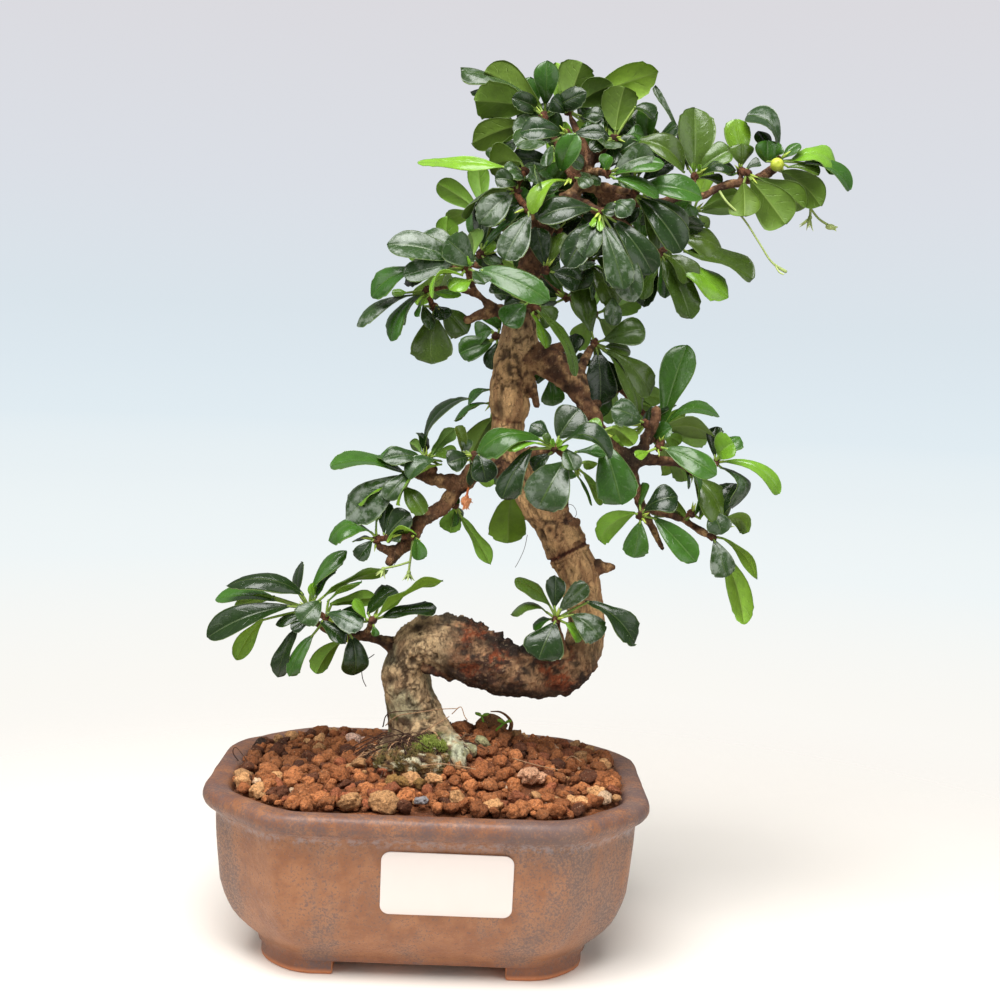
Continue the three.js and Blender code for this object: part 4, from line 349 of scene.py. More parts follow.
     [[48, 253.5, 28.8, 249.3, -2, 8.5, 25, 4, 0], [49, 250, 39.5, 233.2, -6, 9.5, 10, 2, 0],
      [50, 249, 45.5, 237, -7, 8, 10, 1, 4], [51.5, 248.5, 59.7, 226.7, -7, 9, 10, 2, 4],
      [53.5, 248.5, 63.2, 222.6, -4, 10, 10, 3, 4], [55, 250, 69.2, 232.6, -2, 9, 20, 3, 0],
      [55, 256, 61.1, 252.3, -6, 7.5, 25, 2, 4], [51, 253, 56, 253, -5, 4.5, 30, 1, 0],
      [50, 251, 50.5, 246, -6, 2, 20, 0.3, 3], [49, 251, 47.5, 247.5, -6, 2, 20, 0.3, 3]]],
    ["crown_inner",
     [[28, 1, 236, 1.8], [31, -6, 233, 1.2], [32.6, -12, 232.2, 0.9]],
     [[32.6, -12, 232.2]],
     [[32, 234, 28.5, 246.5, 1, 8, 25, 1, 0], [34, 235, 37.5, 245, 5, 6, 40, 1, 2],
      [35, 231.5, 44.7, 229, 2, 9.5, 20, 1, 0]]],
    ["crown_right_front",
     [[48, -2, 261, 1.8], [54, -7, 260.5, 1.4], [58.5, -11, 260, 1.1], [61.5, -14, 259.2, 0.9]],
     [[61.5, -14, 259.2]],
     [[63, 258, 78.8, 240.4, -4, 10.5, 25, 3, 0], [64, 258.5, 79.5, 246, 3, 8, 40, 3, 4],
      [62, 261, 84.7, 259, -2, 8, 40, 3, 1], [61, 261, 66, 262.5, -4, 4, 40, 0.5, 3],
      [63, 256.5, 71, 241, 4, 4, 60, 2, 2]]],
    ["crown_back_right",
     [[29, 2, 238, 2.2], [37, 7, 238, 1.4], [43, 12, 237, 1], [46, 14, 236.5, 0.9]],
     [[46, 14, 236.5]],
     [[48, 235, 57, 221, -3, 9, 30, 1, 2], [47.5, 235, 49, 222.5, -6, 3.5, 70, 1, 4],
      [45, 234, 41, 226.5, -2, 6, 40, 1, 2], [50, 237, 60, 231, 2, 8, 40, 1, 2],
      [44, 238, 36, 243, 3, 7, 40, 1, 2]]],
    ["crown_right_low",
     [[50, -2, 258, 1.8], [58, 1, 249.5, 1.4], [66, 3, 243, 1.2], [71.5, 4, 239.8, 0.9]],
     [[71.5, 4, 239.8], [76, 5, 243.5]],
     [[72.5, 238, 83, 217.8, -2, 10, 30, 2, 2], [74, 238.8, 82.1, 230.4, -4, 8, 40, 2, 2],
      [75, 237.5, 95.7, 225.6, -3, 8.5, 45, 2, 3], [79.3, 240.6, 103.6, 232.1, -1, 9, 60, 2, 2],
      [77, 245, 92.5, 241.7, 3, 10.5, 40, 3, 2], [71, 238, 66.7, 221.1, 2, 8, 40, 1, 0],
      [72, 237, 73.8, 224.4, 0, 5.5, 60, 1, 1], [70.5, 238, 66, 223.5, -4, 4, 60, 1, 2],
      [78, 247, 84.5, 250.8, 3, 6, 30, 2, 0]]],
    ["top_left",
     [[43, -1, 262, 2], [37, -1, 271, 1.5], [32, -2, 279, 1.1], [29.5, -2, 283.3, 0.9]],
     [[29.5, -2, 283.3]],
     [[29, 286, 9, 297.4, 2, 10, 150, 2, 2], [24, 290, 1, 297.3, 5, 5, 60, 2, 4],
      [27, 285.5, 6.1, 287.5, -3, 13, 150, 2, 2], [26, 281.5, 5.8, 273.5, -5, 9, 150, 2, 2],
      [22, 277, 9, 275, 2, 7, 160, 1, 1], [22, 290, 4.5, 290.5, 6, 4, 60, 1, 4]]],
    ["top_mid",
     [[46, -1, 270, 1.6], [42, 0, 277.5, 1.3], [39.3, 0, 282.5, 1], [38, 0, 285.5, 0.9]],
     [[38, 0, 285.5]],
     [[34.8, 288, 32.9, 301.5, 3, 6.5, 160, 1, 3], [38, 288, 41.8, 301.9, -2, 12, 155, 1, 2],
      [40, 287.5, 52.6, 294.8, -3, 10, 150, 2, 2], [43, 290, 67.6, 300, 4, 12, 160, 1, 3],
      [37, 285, 32, 289.5, -6, 6, 30, 1, 0], [42, 284, 50, 284.5, -5, 5, 30, 2, 0],
      [42.5, 282.5, 49.5, 281, -5, 3, 60, 1, 4]]],
    ["top_right",
     [[46, -1, 268, 1.5], [50.5, 0, 273.5, 1.2], [54, 0, 277.3, 0.9]],
     [[54, 0, 277.3]],
     [[54, 280, 56.3, 294.6, -3, 13.5, 150, 1, 2], [60, 288, 66.8, 284.7, -1, 4.5, 60, 1, 0],
      [57, 277.5, 64.2, 278.5, 2, 6, 40, 1, 1], [60.5, 277, 78, 267.5, 1, 8, 40, 5, 2],
      [52.5, 277, 45, 281, -4, 4, 30, 0.5, 0], [52, 276.5, 46, 273, -5, 5, 30, 1, 0],
      [53, 275, 54.5, 269, -6, 6, 20, 0.5, 0]]],
    ["top_front",
     [[45, -1, 266, 1.5], [41.5, -7, 272, 1.2], [38, -14, 277.8, 0.9]],
     [[38, -14, 277.8], [36.5, -18, 269], [40, -20, 263.5]],
     [[36, 278, 22, 278, -3, 8, 25, 3, 0], [33, 275, 20.5, 273.4, -6, 7.5, 60, 2, 4],
      [33, 274, 31.5, 267, -7, 4, 40, 1, 4], [36, 265.5, 41, 278, -9, 8, 15, 2, 1],
      [39, 263, 27.5, 266, -6, 6, 60, -5, 4], [42, 263.5, 46.6, 260.9, -5, 4.5, 40, 1, 4],
      [39, 262.5, 27.1, 250.6, -6, 4.5, 50, 5, 3], [40, 278, 50.5, 279, -3, 5, 30, 1, 0],
      [38, 270, 44, 268, 2, 5, 30, 0.5, 0]]],
    ["top_front_right",
     [[46, -1, 266, 1.5], [50, -8, 265.8, 1.2], [52, -16, 265.5, 0.9]],
     [[52, -16, 265.5]],
     [[55, 267, 67.7, 272.2, -3, 8, 25, 2, 4], [54, 265, 71.3, 269.5, -5, 5, 60, 2, 1],
      [51, 266.5, 53, 271.4, -2, 5, 50, 0.5, 1], [54, 264, 70, 258, -6, 4.5, 60, 2, 1]]],
    ["far_right_inner",
     [[80.5, -1, 259, 1.4], [81.5, 1.5, 262.5, 1], [81.8, 3, 265.8, 0.9]],
     [[81.8, 3, 265.8], [79.5, 4.5, 258.5]],
     [[81.5, 268, 80.5, 288.7, 2, 13, 20, 1, 2], [83, 268, 93.5, 275.3, -2, 8.5, 25, 1, 2],
      [84, 266.5, 95.7, 268.3, -3, 5, 60, 4, 0], [81.5, 267, 81, 270.5, -3, 1.8, 30, 0.2, 3],
      [83, 267, 83.5, 270, -3, 1.6, 30, 0.2, 3], [83, 265.5, 91.4, 264.5, -1, 3, 60, 0.5, 2],
      [79.5, 268, 66.4, 295, 5, 2.5, 60, 2, 4], [79, 257, 82, 251.5, 1, 5.5, 30, 0.5, 1],
      [78, 256, 72, 252, 2, 6, 40, 0.5, 2]]],
    ["far_right_mid",
     [[97.5, -1, 264.6, 1.3], [97.5, 0.5, 266, 0.9], [97.5, 2, 268.4, 0.9]],
     [[97.5, 2, 268.4], [99.5, -5, 267.8]],
     [[97.5, 270.5, 94.8, 285.6, 1, 9, 20, 0.5, 3], [97.5, 270, 97.3, 277.5, -2, 8.5, 30, 0.5, 2],
      [99, 269, 104, 271, -1, 3, 50, 0.5, 0], [96, 267.5, 92.5, 267, -1, 3, 60, 0.5, 1],
      [101, 265.5, 113.8, 251.2, -4, 14, 165, 1.5, 2], [103, 266.5, 120, 257, 2, 10, 160, 1.5, 2],
      [98.5, 264.5, 99.6, 253.2, -2, 11, 165, 1, 2]]],
    ["far_right_tip",
     [[106.8, -1, 267.8, 1.7], [108.5, 0, 269.8, 1.4], [110, 2, 272.3, 0.9]],
     [[110, 2, 272.3]],
     [[106, 271.5, 105.7, 279, -2, 9.5, 30, 0.5, 1], [108.5, 274, 110.5, 277.5, -3, 4, 40, 0.3, 1],
      [109.5, 275, 98.4, 287, 3, 6.5, 60, 5, 4], [107, 275, 102.5, 282, 4, 5, 40, 0.5, 0],
      [111.5, 273.5, 116.9, 278.4, -1, 4, 50, 0.5, 1], [114, 272.5, 130.2, 270.1, 1, 7, 60, 5, 3],
      [118, 272, 135, 263.7, -2, 5, 60, 4, 1], [113, 270.5, 124.3, 268.6, -3, 3.5, 60, 1, 2],
      [111.5, 269, 125.4, 257.8, -2, 10.5, 150, 3, 2]]],
]

# Shoots at the back of the tree: name, twig and the centres of the whorls
BACK_SHOOTS = [
    ["back_left", [[26, 4, 226, 2.4], [18, 14, 230, 1.6], [8, 22, 233, 1.2], [0, 25, 231, 0.9]],
        [[0, 25, 231], [11, 33, 250]]],
    ["back_top", [[38, 0, 256, 2.2], [36, 12, 259, 1.5], [34, 24, 262, 1.1], [32, 31, 264, 0.9]],
        [[32, 31, 264], [52, 26, 271]]],
    ["back_middle", [[26, 4, 214, 2.4], [28, 16, 220, 1.6], [30, 26, 226, 1.1], [31, 31, 229, 0.9]],
        [[31, 31, 229], [50, 29, 218]]],
    ["back_right", [[43, 1, 262, 2.2], [50, 10, 255, 1.5], [58, 18, 248, 1.1], [62, 23, 244, 0.9]],
        [[62, 23, 244], [82, 18, 254]]],
    ["back_right_low", [[50, -1, 186, 2.2], [53, 10, 188, 1.5], [57, 19, 191, 1.1], [60, 24, 193, 0.9]],
        [[60, 24, 193], [76, 19, 178]]],
]
BACK_LEAVES = 5
# The colour codes of a whorl's leaves, in turn
WHORL_TINTS = [0, 1, 0, 4, 1]
BACK_CENTRE = [30, 0, 232]


# Numbers and colours


def linear(red, green, blue):
    """A colour measured as 0 to 255 on screen, as the light values that a finish uses."""
    share = np.array([red, green, blue]) / 255
    return np.where(share <= 0.04045, share / 12.92, ((share + 0.055) / 1.055) ** 2.4)


def unit(v):
    v = np.asarray(v, float)
    return v / np.maximum(np.linalg.norm(v, axis=-1, keepdims=True), 1e-12)


def smooth(low, high, value):
    t = np.clip((value - low) / (high - low), 0, 1)
    return t * t * (3 - 2 * t)


def blend(a, b, share):
    """Colours a mixed with b, by one share for each point."""
    share = np.asarray(share)[..., None]
    return np.asarray(a) * (1 - share) + np.asarray(b) * share


def grains(points, seed):
    """Smooth random values from -1 to 1 through space, one cell to a unit."""
    cell = np.floor(points).astype(np.int64)
    part = points - cell
    ease = part * part * (3 - 2 * part)
    total = np.zeros(len(points))
    for corner in range(8):
        step = np.array([corner & 1, corner >> 1 & 1, corner >> 2 & 1])
        at = cell + step
        mixed = (at[:, 0] * 73856093) ^ (at[:, 1] * 19349663) ^ (at[:, 2] * 83492791) ^ (seed * 2654435761)
        mixed = (mixed ^ (mixed >> 13)) * 1274126177 & 0x7FFFFFFF
        mixed = (mixed ^ (mixed >> 16)) * 668265263 & 0x7FFFFFFF
        weight = np.prod(np.where(step, ease, 1 - ease), axis=1)
        total += weight * (mixed / 0x3FFFFFFF - 1)
    return total


def rough(points, size, octaves=3, seed=1):
    """Uneven values from about -1 to 1, whose largest features are this size in the points' own unit."""
    points = np.asarray(points, float) / size
    total = np.zeros(len(points))
    strength = 1.0
    for octave in range(octaves):
        total += strength * grains(points + 17.3 * octave, seed + octave)
        points = points * 2.03
        strength *= 0.5
    return total


def spot(x, y, z):
    """The point at depth y that is seen at (x, z) of the plane y = 0."""
    k = 1 - y / EYE[1]
    return np.array([EYE[0] + (x - EYE[0]) * k, y, EYE[2] + (z - EYE[2]) * k])


def seen(points):
    """Where on the plane y = 0 the points are seen, as x and z."""
    k = 1 - points[:, 1] / EYE[1]
    return EYE[0] + (points[:, 0] - EYE[0]) / k, EYE[2] + (points[:, 2] - EYE[2]) / k


def repeatable(seed):
    """The same source of numbers between 0 and 1 that laid out the back shoots' frame pieces."""
    state = seed

    def following():
        nonlocal state
        state = (state * 1664525 + 1013904223) % 2**32
        return state / 2**32

    return following


# Shapes and pieces


def in_scene(name, data):
    """A new object in the scene for a mesh, a lamp or a camera."""
    made = bpy.data.objects.new(name, data)
    bpy.context.scene.collection.objects.link(made)
    return made


def plain_mesh(name, points, *faces):
    mesh = bpy.data.meshes.new(name)
    rows = [face for group in faces for face in np.asarray(group).tolist()]
    mesh.from_pydata(np.asarray(points).tolist(), [], rows)
    return mesh


def write_marks(mesh, marks):
    """Values and colours of the points, which a finish reads by their names."""
    for name, values in marks.items():
        if values.ndim == 2:
            colour = mesh.attributes.new(name, "FLOAT_COLOR", "POINT")
            colour.data.foreach_set("color", np.c_[values, np.ones(len(values))].ravel())
        else:
            value = mesh.attributes.new(name, "FLOAT", "POINT")
            value.data.foreach_set("value", values.astype(float))


class Shape:
    """Points in millimetres with their faces, and the values and colours that a finish reads from them."""

    def __init__(self):
        self.points = []
        self.faces = []
        self.marks = {}
        self.count = 0

    def add(self, points, *faces, **marks):
        points = np.asarray(points, float)
        self.faces.extend(np.asarray(group) + self.count for group in faces)
        self.points.append(points)
        self.count += len(points)
        for name, value in marks.items():
            value = np.asarray(value, float)
            size = (len(points), 3) if value.shape[-1:] == (3,) else (len(points),)
            self.marks.setdefault(name, []).append(np.broadcast_to(value, size))

    def piece(self, name, finish, slot, nodes=(), crease=None):
        mesh = plain_mesh(name, ORIGIN + MM * np.concatenate(self.points), *self.faces)
        write_marks(mesh, {mark: np.concatenate(parts) for mark, parts in self.marks.items()})
        settle(mesh, name, finish, slot, nodes, crease)


def settle(mesh, name, finish, slot, nodes=(), crease=None):
    """Makes the mesh a piece that rides on the body and stands for CAD nodes."""
    mesh.polygons.foreach_set("use_smooth", [True] * len(mesh.polygons))
    if crease:
        mesh.set_sharp_from_angle(angle=math.radians(crease))
    mesh.materials.clear()
    mesh.materials.append(finish)
    made = in_scene(name, mesh)
    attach(made, "root")
    if nodes:
        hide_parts(*nodes)


def circle(radius, sides):
    turn = 2 * math.pi * np.arange(sides) / sides
    return radius * np.c_[np.cos(turn), np.sin(turn)]


def level_ring(ring, z):
    """A ring of x and y, all at one height."""
    return np.c_[ring, np.full(len(ring), z)]


def strip_faces(rings, sides, closed=True):
    """Quads between rings of points, each ring closed or open."""
    last = sides if closed else sides - 1
    r, i = np.meshgrid(np.arange(rings - 1), np.arange(last), indexing="ij")
    a = (r * sides + i).ravel()
    b = (r * sides + (i + 1) % sides).ravel()
    return np.c_[a, b, b + sides, a + sides]


def capped(rings, sides):
    """Quads between closed rings of points, and a face at either end."""
    count = rings * sides
    return strip_faces(rings, sides), [range(sides)[::-1], range(count - sides, count)]


BALLS = {}


def ball(detail):
    """Directions and faces of an even ball."""
    if detail not in BALLS:
        form = bmesh.new()
        bmesh.ops.create_icosphere(form, subdivisions=detail, radius=1)
        points = np.array([v.co for v in form.verts])
        BALLS[detail] = points, np.array([[v.index for v in f.verts] for f in form.faces])
        form.free()
    return BALLS[detail]


def run(rows, step):
    """Points and radii along a smooth line through rows of [x, depth y, z, radius], and the row numbers."""
    knots = np.array([spot(*row[:3]) for row in rows])
    radii = np.array([row[3] for row in rows], float)
    ends = np.vstack([2 * knots[0] - knots[1], knots, 2 * knots[-1] - knots[-2]])
    places, numbers = [], []
    for i in range(len(knots) - 1):
        p0, p1, p2, p3 = ends[i:i + 4]
        d0, d1, d2 = (max(np.linalg.norm(b - a) ** 0.5, 1e-4) for a, b in ((p0, p1), (p1, p2), (p2, p3)))
        leave = ((p1 - p0) / d0 - (p2 - p0) / (d0 + d1) + (p2 - p1) / d1) * d1
        reach = ((p2 - p1) / d1 - (p3 - p1) / (d1 + d2) + (p3 - p2) / d2) * d1
        count = max(int(round(np.linalg.norm(p2 - p1) / step)), 1)
        t = (np.arange(count) / count)[:, None]
        places.append(p1 + leave * t + (3 * (p2 - p1) - 2 * leave - reach) * t**2
                      + (2 * (p1 - p2) + leave + reach) * t**3)
        numbers.append(i + t[:, 0])
    places.append(knots[-1:])
    numbers.append([len(knots) - 1.0])
    numbers = np.concatenate(numbers)
    return np.concatenate(places), np.interp(numbers, np.arange(len(radii)), radii), numbers


def frames(places):
    """Directions along a line, and two across it that turn as little as they can."""
    along = unit(np.gradient(places, axis=0))
    side = np.cross([0, -1, 0.3], along[0])
    sides = []
    for direction in along:
        side = unit(side - direction * (side @ direction))
        sides.append(side)
    sides = np.array(sides)
    return along, sides, np.cross(along, sides)


# A limb's domed end: shares of the radius, and how far out each ring lies
TUBE_CAP = np.array([[0.92, 0.45], [0.62, 0.85], [0.15, 1.0]])


def tube(places, radii, sides):
    """A closed round limb with domed ends."""
    along, side, up = frames(places)
    radii = np.broadcast_to(np.asarray(radii, float), len(places))
    first = [places[0] - along[0] * radii[0] * out for _, out in TUBE_CAP[::-1]]
    final = [places[-1] + along[-1] * radii[-1] * out for _, out in TUBE_CAP]
    centres = np.vstack([first, places, final])
    sizes = np.concatenate([radii[0] * TUBE_CAP[::-1, 0], radii, radii[-1] * TUBE_CAP[:, 0]])
    pick = np.clip(np.arange(len(centres)) - len(TUBE_CAP), 0, len(places) - 1)
    across, upward = circle(1, sides).T[..., None]
    out = side[pick][:, None] * across + up[pick][:, None] * upward
    points = (centres[:, None] + out * sizes[:, None, None]).reshape(-1, 3)
    return points, *capped(len(centres), sides)


def add_limb(shape, rows, sides=8, step=0.7, **marks):
    """A limb along rows of [x, depth y, z, radius]."""
    places, radii, _ = run(rows, step)
    shape.add(*tube(places, radii, sides), **marks)


def applied(mesh, *modifiers):
    """The mesh after its modifiers, each given as its kind and its settings."""
    holder = in_scene("holder", mesh)
    for kind, settings in modifiers:
        modifier = holder.modifiers.new(kind, kind)
        for name, value in settings.items():
            setattr(modifier, name, value)
    graph = bpy.context.evaluated_depsgraph_get()
    made = bpy.data.meshes.new_from_object(holder.evaluated_get(graph))
    bpy.data.objects.remove(holder)
    return made


def read(mesh):
    """The places of a mesh's points and their normals."""
    values = np.zeros((2, 3 * len(mesh.vertices)))
    mesh.vertices.foreach_get("co", values[0])
    mesh.vertex_normals.foreach_get("vector", values[1])
    return values.reshape(2, -1, 3)


# Finishes


class Value:
    """A shader socket that takes part in arithmetic."""

    def __init__(self, finish, socket):
        self.finish = finish
        self.socket = socket

    def maths(self, operation, first, second):
        return self.finish.node("ShaderNodeMath", {"operation": operation}, {0: first, 1: second})

    def __add__(self, other):
        return self.maths("ADD", self, other)

    def __sub__(self, other):
        return self.maths("SUBTRACT", self, other)

    def __mul__(self, other):
        return self.maths("MULTIPLY", self, other)

    def __radd__(self, other):
        return self.maths("ADD", other, self)

    def __rsub__(self, other):
        return self.maths("SUBTRACT", other, self)

    def __rmul__(self, other):
        return self.maths("MULTIPLY", other, self)

    def __abs__(self):
        return self.maths("ABSOLUTE", self, 0)


class Finish:
    """A surface's material, built up from noises and the marks on a piece."""

    def __init__(self, name, **constants):
        self.material = bpy.data.materials.new(name)
        self.material.use_nodes = True
        self.tree = self.material.node_tree
        self.shader = self.tree.nodes["Principled BSDF"]
        for socket, value in constants.items():
            self.shader.inputs[socket.replace("_", " ")].default_value = value

    def node(self, kind, settings=None, inputs=None, output=0):
        made = self.tree.nodes.new(kind)
        for name, value in (settings or {}).items():
            setattr(made, name, value)
        for socket, value in (inputs or {}).items():
            self.wire(made.inputs[socket], value)
        return Value(self, made.outputs[output])

    def wire(self, socket, value):
        if isinstance(value, Value):
            self.tree.links.new(value.socket, socket)
        elif isinstance(value, (tuple, list, np.ndarray)) and socket.type == "RGBA":
            socket.default_value = (*value, 1)
        else:
            socket.default_value = value

    def mark(self, name):
        return self.node("ShaderNodeAttribute", {"attribute_name": name}, output="Fac")

    def paint(self, name):
        return self.node("ShaderNodeAttribute", {"attribute_name": name}, output="Color")

    def place(self, stretch=(1, 1, 1)):
        """Object coordinates in millimetres, stretched along an axis."""
        at = self.node("ShaderNodeTexCoord", output="Object")
        scale = tuple(1 / (MM * share) for share in stretch)
        return self.node("ShaderNodeVectorMath", {"operation": "MULTIPLY"}, {0: at, 1: scale})

    def noise(self, size, detail=3, harsh=0.55, at=None):
        """Noise about 0.5, with features of this size in millimetres."""
        inputs = {"Vector": at or self.place(), "Scale": 1 / size, "Detail": detail, "Roughness": harsh}
        return self.node("ShaderNodeTexNoise", None, inputs)

    def cells(self, size, at=None, feature="F1"):
        """How far a point is from the middle of its cell, or from its edge."""
        inputs = {"Vector": at or self.place(), "Scale": 1 / size}
        return self.node("ShaderNodeTexVoronoi", {"feature": feature}, inputs, "Distance")

    def warped(self, size, amount, stretch=(1, 1, 1)):
        """Object coordinates in millimetres, pushed about by a noise of this size."""
        push = self.node("ShaderNodeTexNoise", None, {"Vector": self.place(), "Scale": 1 / size}, "Color")
        push = self.shade(push, amount)
        return self.node("ShaderNodeVectorMath", {"operation": "ADD"}, {0: self.place(stretch), 1: push})

    def step(self, value, low, high):
        """0 below low, 1 above high and smooth between them."""
        settings = {"interpolation_type": "SMOOTHSTEP"}
        return self.node("ShaderNodeMapRange", settings, {"Value": value, "From Min": low, "From Max": high})

    def mix(self, share, a, b):
        """Colour a with its share of colour b laid over it."""
        return self.node("ShaderNodeMix", {"data_type": "RGBA"}, {0: share, 6: a, 7: b}, 2)

    def coats(self, colour, *layers):
        """A colour under layers of others, each with its share and its colour, on screen or worked out."""
        for share, tint in layers:
            colour = self.mix(share, colour, tint if isinstance(tint, Value) else linear(*tint))
        return colour

    def shade(self, colour, value):
        """The colour made darker or lighter by a value about 1."""
        inputs = {0: colour, "Scale": value}
        return self.node("ShaderNodeVectorMath", {"operation": "SCALE"}, inputs)

    def bump(self, height, depth):
        """Relief whose heights from 0 to 1 stand for a depth in millimetres."""
        return self.node("ShaderNodeBump", None, {"Height": height, "Distance": depth * MM, "Strength": 1.0})

    def done(self, **values):
        for socket, value in values.items():
            self.wire(self.shader.inputs[socket.replace("_", " ")], value)
        return self.material


def leaf_finish():
    """Glossy uppers with a sunken midrib and faint side veins, dull undersides, specks, dust and water marks
    that are also a painted sheen on the dusty leaves, and a painted highlight along the edges.
    """
    f = Finish("leaf", Specular_IOR_Level=0.5)
    along = f.mark("along")
    across = abs(f.mark("across"))
    under = f.mark("under")
    dust = f.mark("dust")
    upper = 1 - under
    wander = f.noise(2.4, 2)
    midrib = 1 - f.step(across, 0.015, 0.085 - 0.045 * along)
    order = (along - 0.28 * across) * 6 + f.mark("own") + wander * 0.5
    vein = 1 - f.step(abs(order.maths("FRACT", order, 0) - 0.5), 0.02, 0.1)
    vein = vein * f.step(across, 0.05, 0.15) * (1 - f.step(across, 0.55, 0.9)) * f.step(wander, 0.35, 0.6)
    fine = f.noise(0.5, 3, 0.65)
    # Dust and water marks on the upper side; on the dusty leaves their grey-white is also a painted sheen
    dusty = dust * 0.16
    soiled_and_sheen = f.step(f.noise(5, 5, 0.74), 0.56 - dusty, 0.72 - dusty) * upper * (0.02 + dust * 0.56)
    speck = 1 - f.step(f.cells(1.7), 0.05, 0.1)
    pit = (1 - f.step(f.cells(2.6), 0.06, 0.13)) * f.step(f.noise(7, 2), 0.55, 0.66)
    colour = f.coats(
        f.shade(f.paint("blade"), 0.46 + f.noise(3.2, 4, 0.6) * 0.68 + fine * 0.38),
        (midrib * (0.14 + under * 0.34), (136, 160, 76)),
        (vein * (0.05 + under * 0.2), (122, 148, 62)),
        # A paler rim along the blade's edge: a painted highlight
        (f.step(across, 0.93, 1.0) * (0.42 - under * 0.2), (146, 164, 104)),
        (soiled_and_sheen, (170, 177, 168)),
        (speck * upper * f.step(f.noise(9), 0.52, 0.62) * 0.5, (196, 204, 190)),
        (pit * under * 0.5, (60, 56, 24)),
    )
    gloss = 0.17 + f.noise(2.2, 3, 0.6) * 0.18 + soiled_and_sheen * 0.3
    relief = fine * 0.08 + f.noise(3.4, 2) * 0.8 + vein * (0.35 * under - 0.16 * upper) - midrib * 0.3 * upper
    return f.done(Base_Color=colour, Roughness=gloss + under * (0.6 - gloss), Normal=f.bump(relief, 0.24))


def wood_finish():
    """Bark: the painted colours with painted shade in the hollows, darker cracks, fine grain and dry flakes.
    """
    f = Finish("bark", Specular_IOR_Level=0.28)
    hollow = f.mark("hollow")
    grit = f.noise(0.34, 5, 0.75)
    patch = f.noise(1.5, 5, 0.72)
    bent = f.warped(1.6, 2.0, (1, 1, 2.4))
    crack = (1 - f.step(f.cells(1.9, bent, "DISTANCE_TO_EDGE"), 0.0, 0.08)) * f.step(patch, 0.4, 0.6)
    split = f.step(f.noise(0.9, 4, 0.7, f.place((1, 1, 3.2))), 0.56, 0.68)
    flake = f.step(f.noise(1.1, 4, 0.65), 0.6, 0.68) * (1 - hollow) * 0.3
    colour = f.coats(
        f.shade(f.paint("bark"), 0.14 + grit * 0.86 + patch * 0.9),
        # Painted shade in the hollows
        (hollow * 0.7, (36, 25, 18)),
        (split * 0.42, (74, 50, 34)),
        (crack * 0.5, (56, 38, 26)),
        (flake, (198, 174, 140)),
    )
    relief = grit * 0.5 + patch * 0.8 + flake * 0.4 - crack * 0.6 - split * 0.4
    return f.done(Base_Color=colour, Roughness=0.66 + grit * 0.3, Normal=f.bump(relief, 0.8))


def glaze_finish():
    """Copper-brown satin glaze with blue-grey speckles that gather in drifts, darker on the lip and feet."""
    f = Finish("glazed_ceramic", Specular_IOR_Level=0.4)
    lip = f.mark("lip")
    bare = f.mark("bare")
    drift = f.noise(24, 4, 0.62, f.place((1, 1, 2.4))) + f.mark("grey") * 0.08
    cloud = f.noise(8, 4, 0.62)
    grain = f.noise(0.8, 5, 0.78)
    gather = f.step(drift, 0.42, 0.7) * 0.11 + lip * 0.05 + f.step(cloud, 0.5, 0.75) * 0.05
    speckle = f.step(grain + gather, 0.56, 0.63)
    colour = f.coats(
        linear(136, 88, 58),
        (f.step(cloud, 0.35, 0.68), (158, 108, 74)),
        (f.step(drift, 0.44, 0.7) * 0.5, (136, 114, 98)),
        (f.mark("foot") * 0.7, f.mix(cloud, linear(98, 58, 42), linear(132, 80, 54))),
        (lip * f.step(f.noise(6, 4), 0.34, 0.66) * 0.72, (106, 74, 64)),
        (speckle * 0.66, (90, 78, 80)),
        (f.mark("ledge") * f.step(f.noise(2.2, 4, 0.7), 0.42, 0.62) * 0.42, (154, 150, 156)),
        (f.step(f.noise(0.45, 2), 0.68, 0.74) * 0.35, (196, 160, 132)),
        (bare, f.mix(grain, linear(164, 96, 60), linear(206, 140, 98))),
    )
    roughness = 0.34 + cloud * 0.16 + speckle * 0.14 + bare * 0.3
    relief = f.noise(1.5, 3) * 0.5 + grain * 0.35 + f.noise(6, 2)
    return f.done(Base_Color=colour, Roughness=roughness, Normal=f.bump(relief, 0.24))


def earth_finish(name, size=1.0, gleam=0.0):
    """Fired clay crumbs and stones: their own painted colour with painted shade in the pores, and pale specks
    that are partly dust and partly painted glints.
    """
    f = Finish(name, Specular_IOR_Level=0.3)
    grit = f.noise(0.75 * size, 4, 0.72)
    patch = f.noise(2.0 * size, 4, 0.7)
    # Dark sunken pores: painted shade
    pore_shade = (1 - f.step(f.cells(1.0 * size), 0.14, 0.34)) * f.step(patch, 0.4, 0.55)
    colour = f.coats(
        f.shade(f.paint("earth"), 0.16 + f.step(grit, 0.3, 0.7) * 0.86 + patch * 0.84),
        (pore_shade * 0.55, (58, 30, 16)),
        # Pale specks, partly dust and partly painted glints
        (f.step(f.noise(0.5 * size, 3, 0.7), 0.62, 0.7) * 0.5, (236, 204, 168)),
    )
    relief = grit * 0.8 + patch * 1.3 - pore_shade * 0.5
    return f.done(Base_Color=colour, Roughness=0.82 + grit * 0.18 - gleam, Normal=f.bump(relief, 0.9 * size))


def green_finish(name, colour, tip, roughness=0.55):
    """Small soft plant parts, paler towards their ends."""
    f = Finish(name, Specular_IOR_Level=0.4)
    blotch = f.noise(1.2, 3)
    shown = f.shade(f.coats(linear(*colour), (f.mark("tip"), tip)), 0.7 + blotch * 0.6)
    return f.done(Base_Color=shown, Roughness=roughness + blotch * 0.15, Normal=f.bump(f.noise(0.4, 3), 0.08))


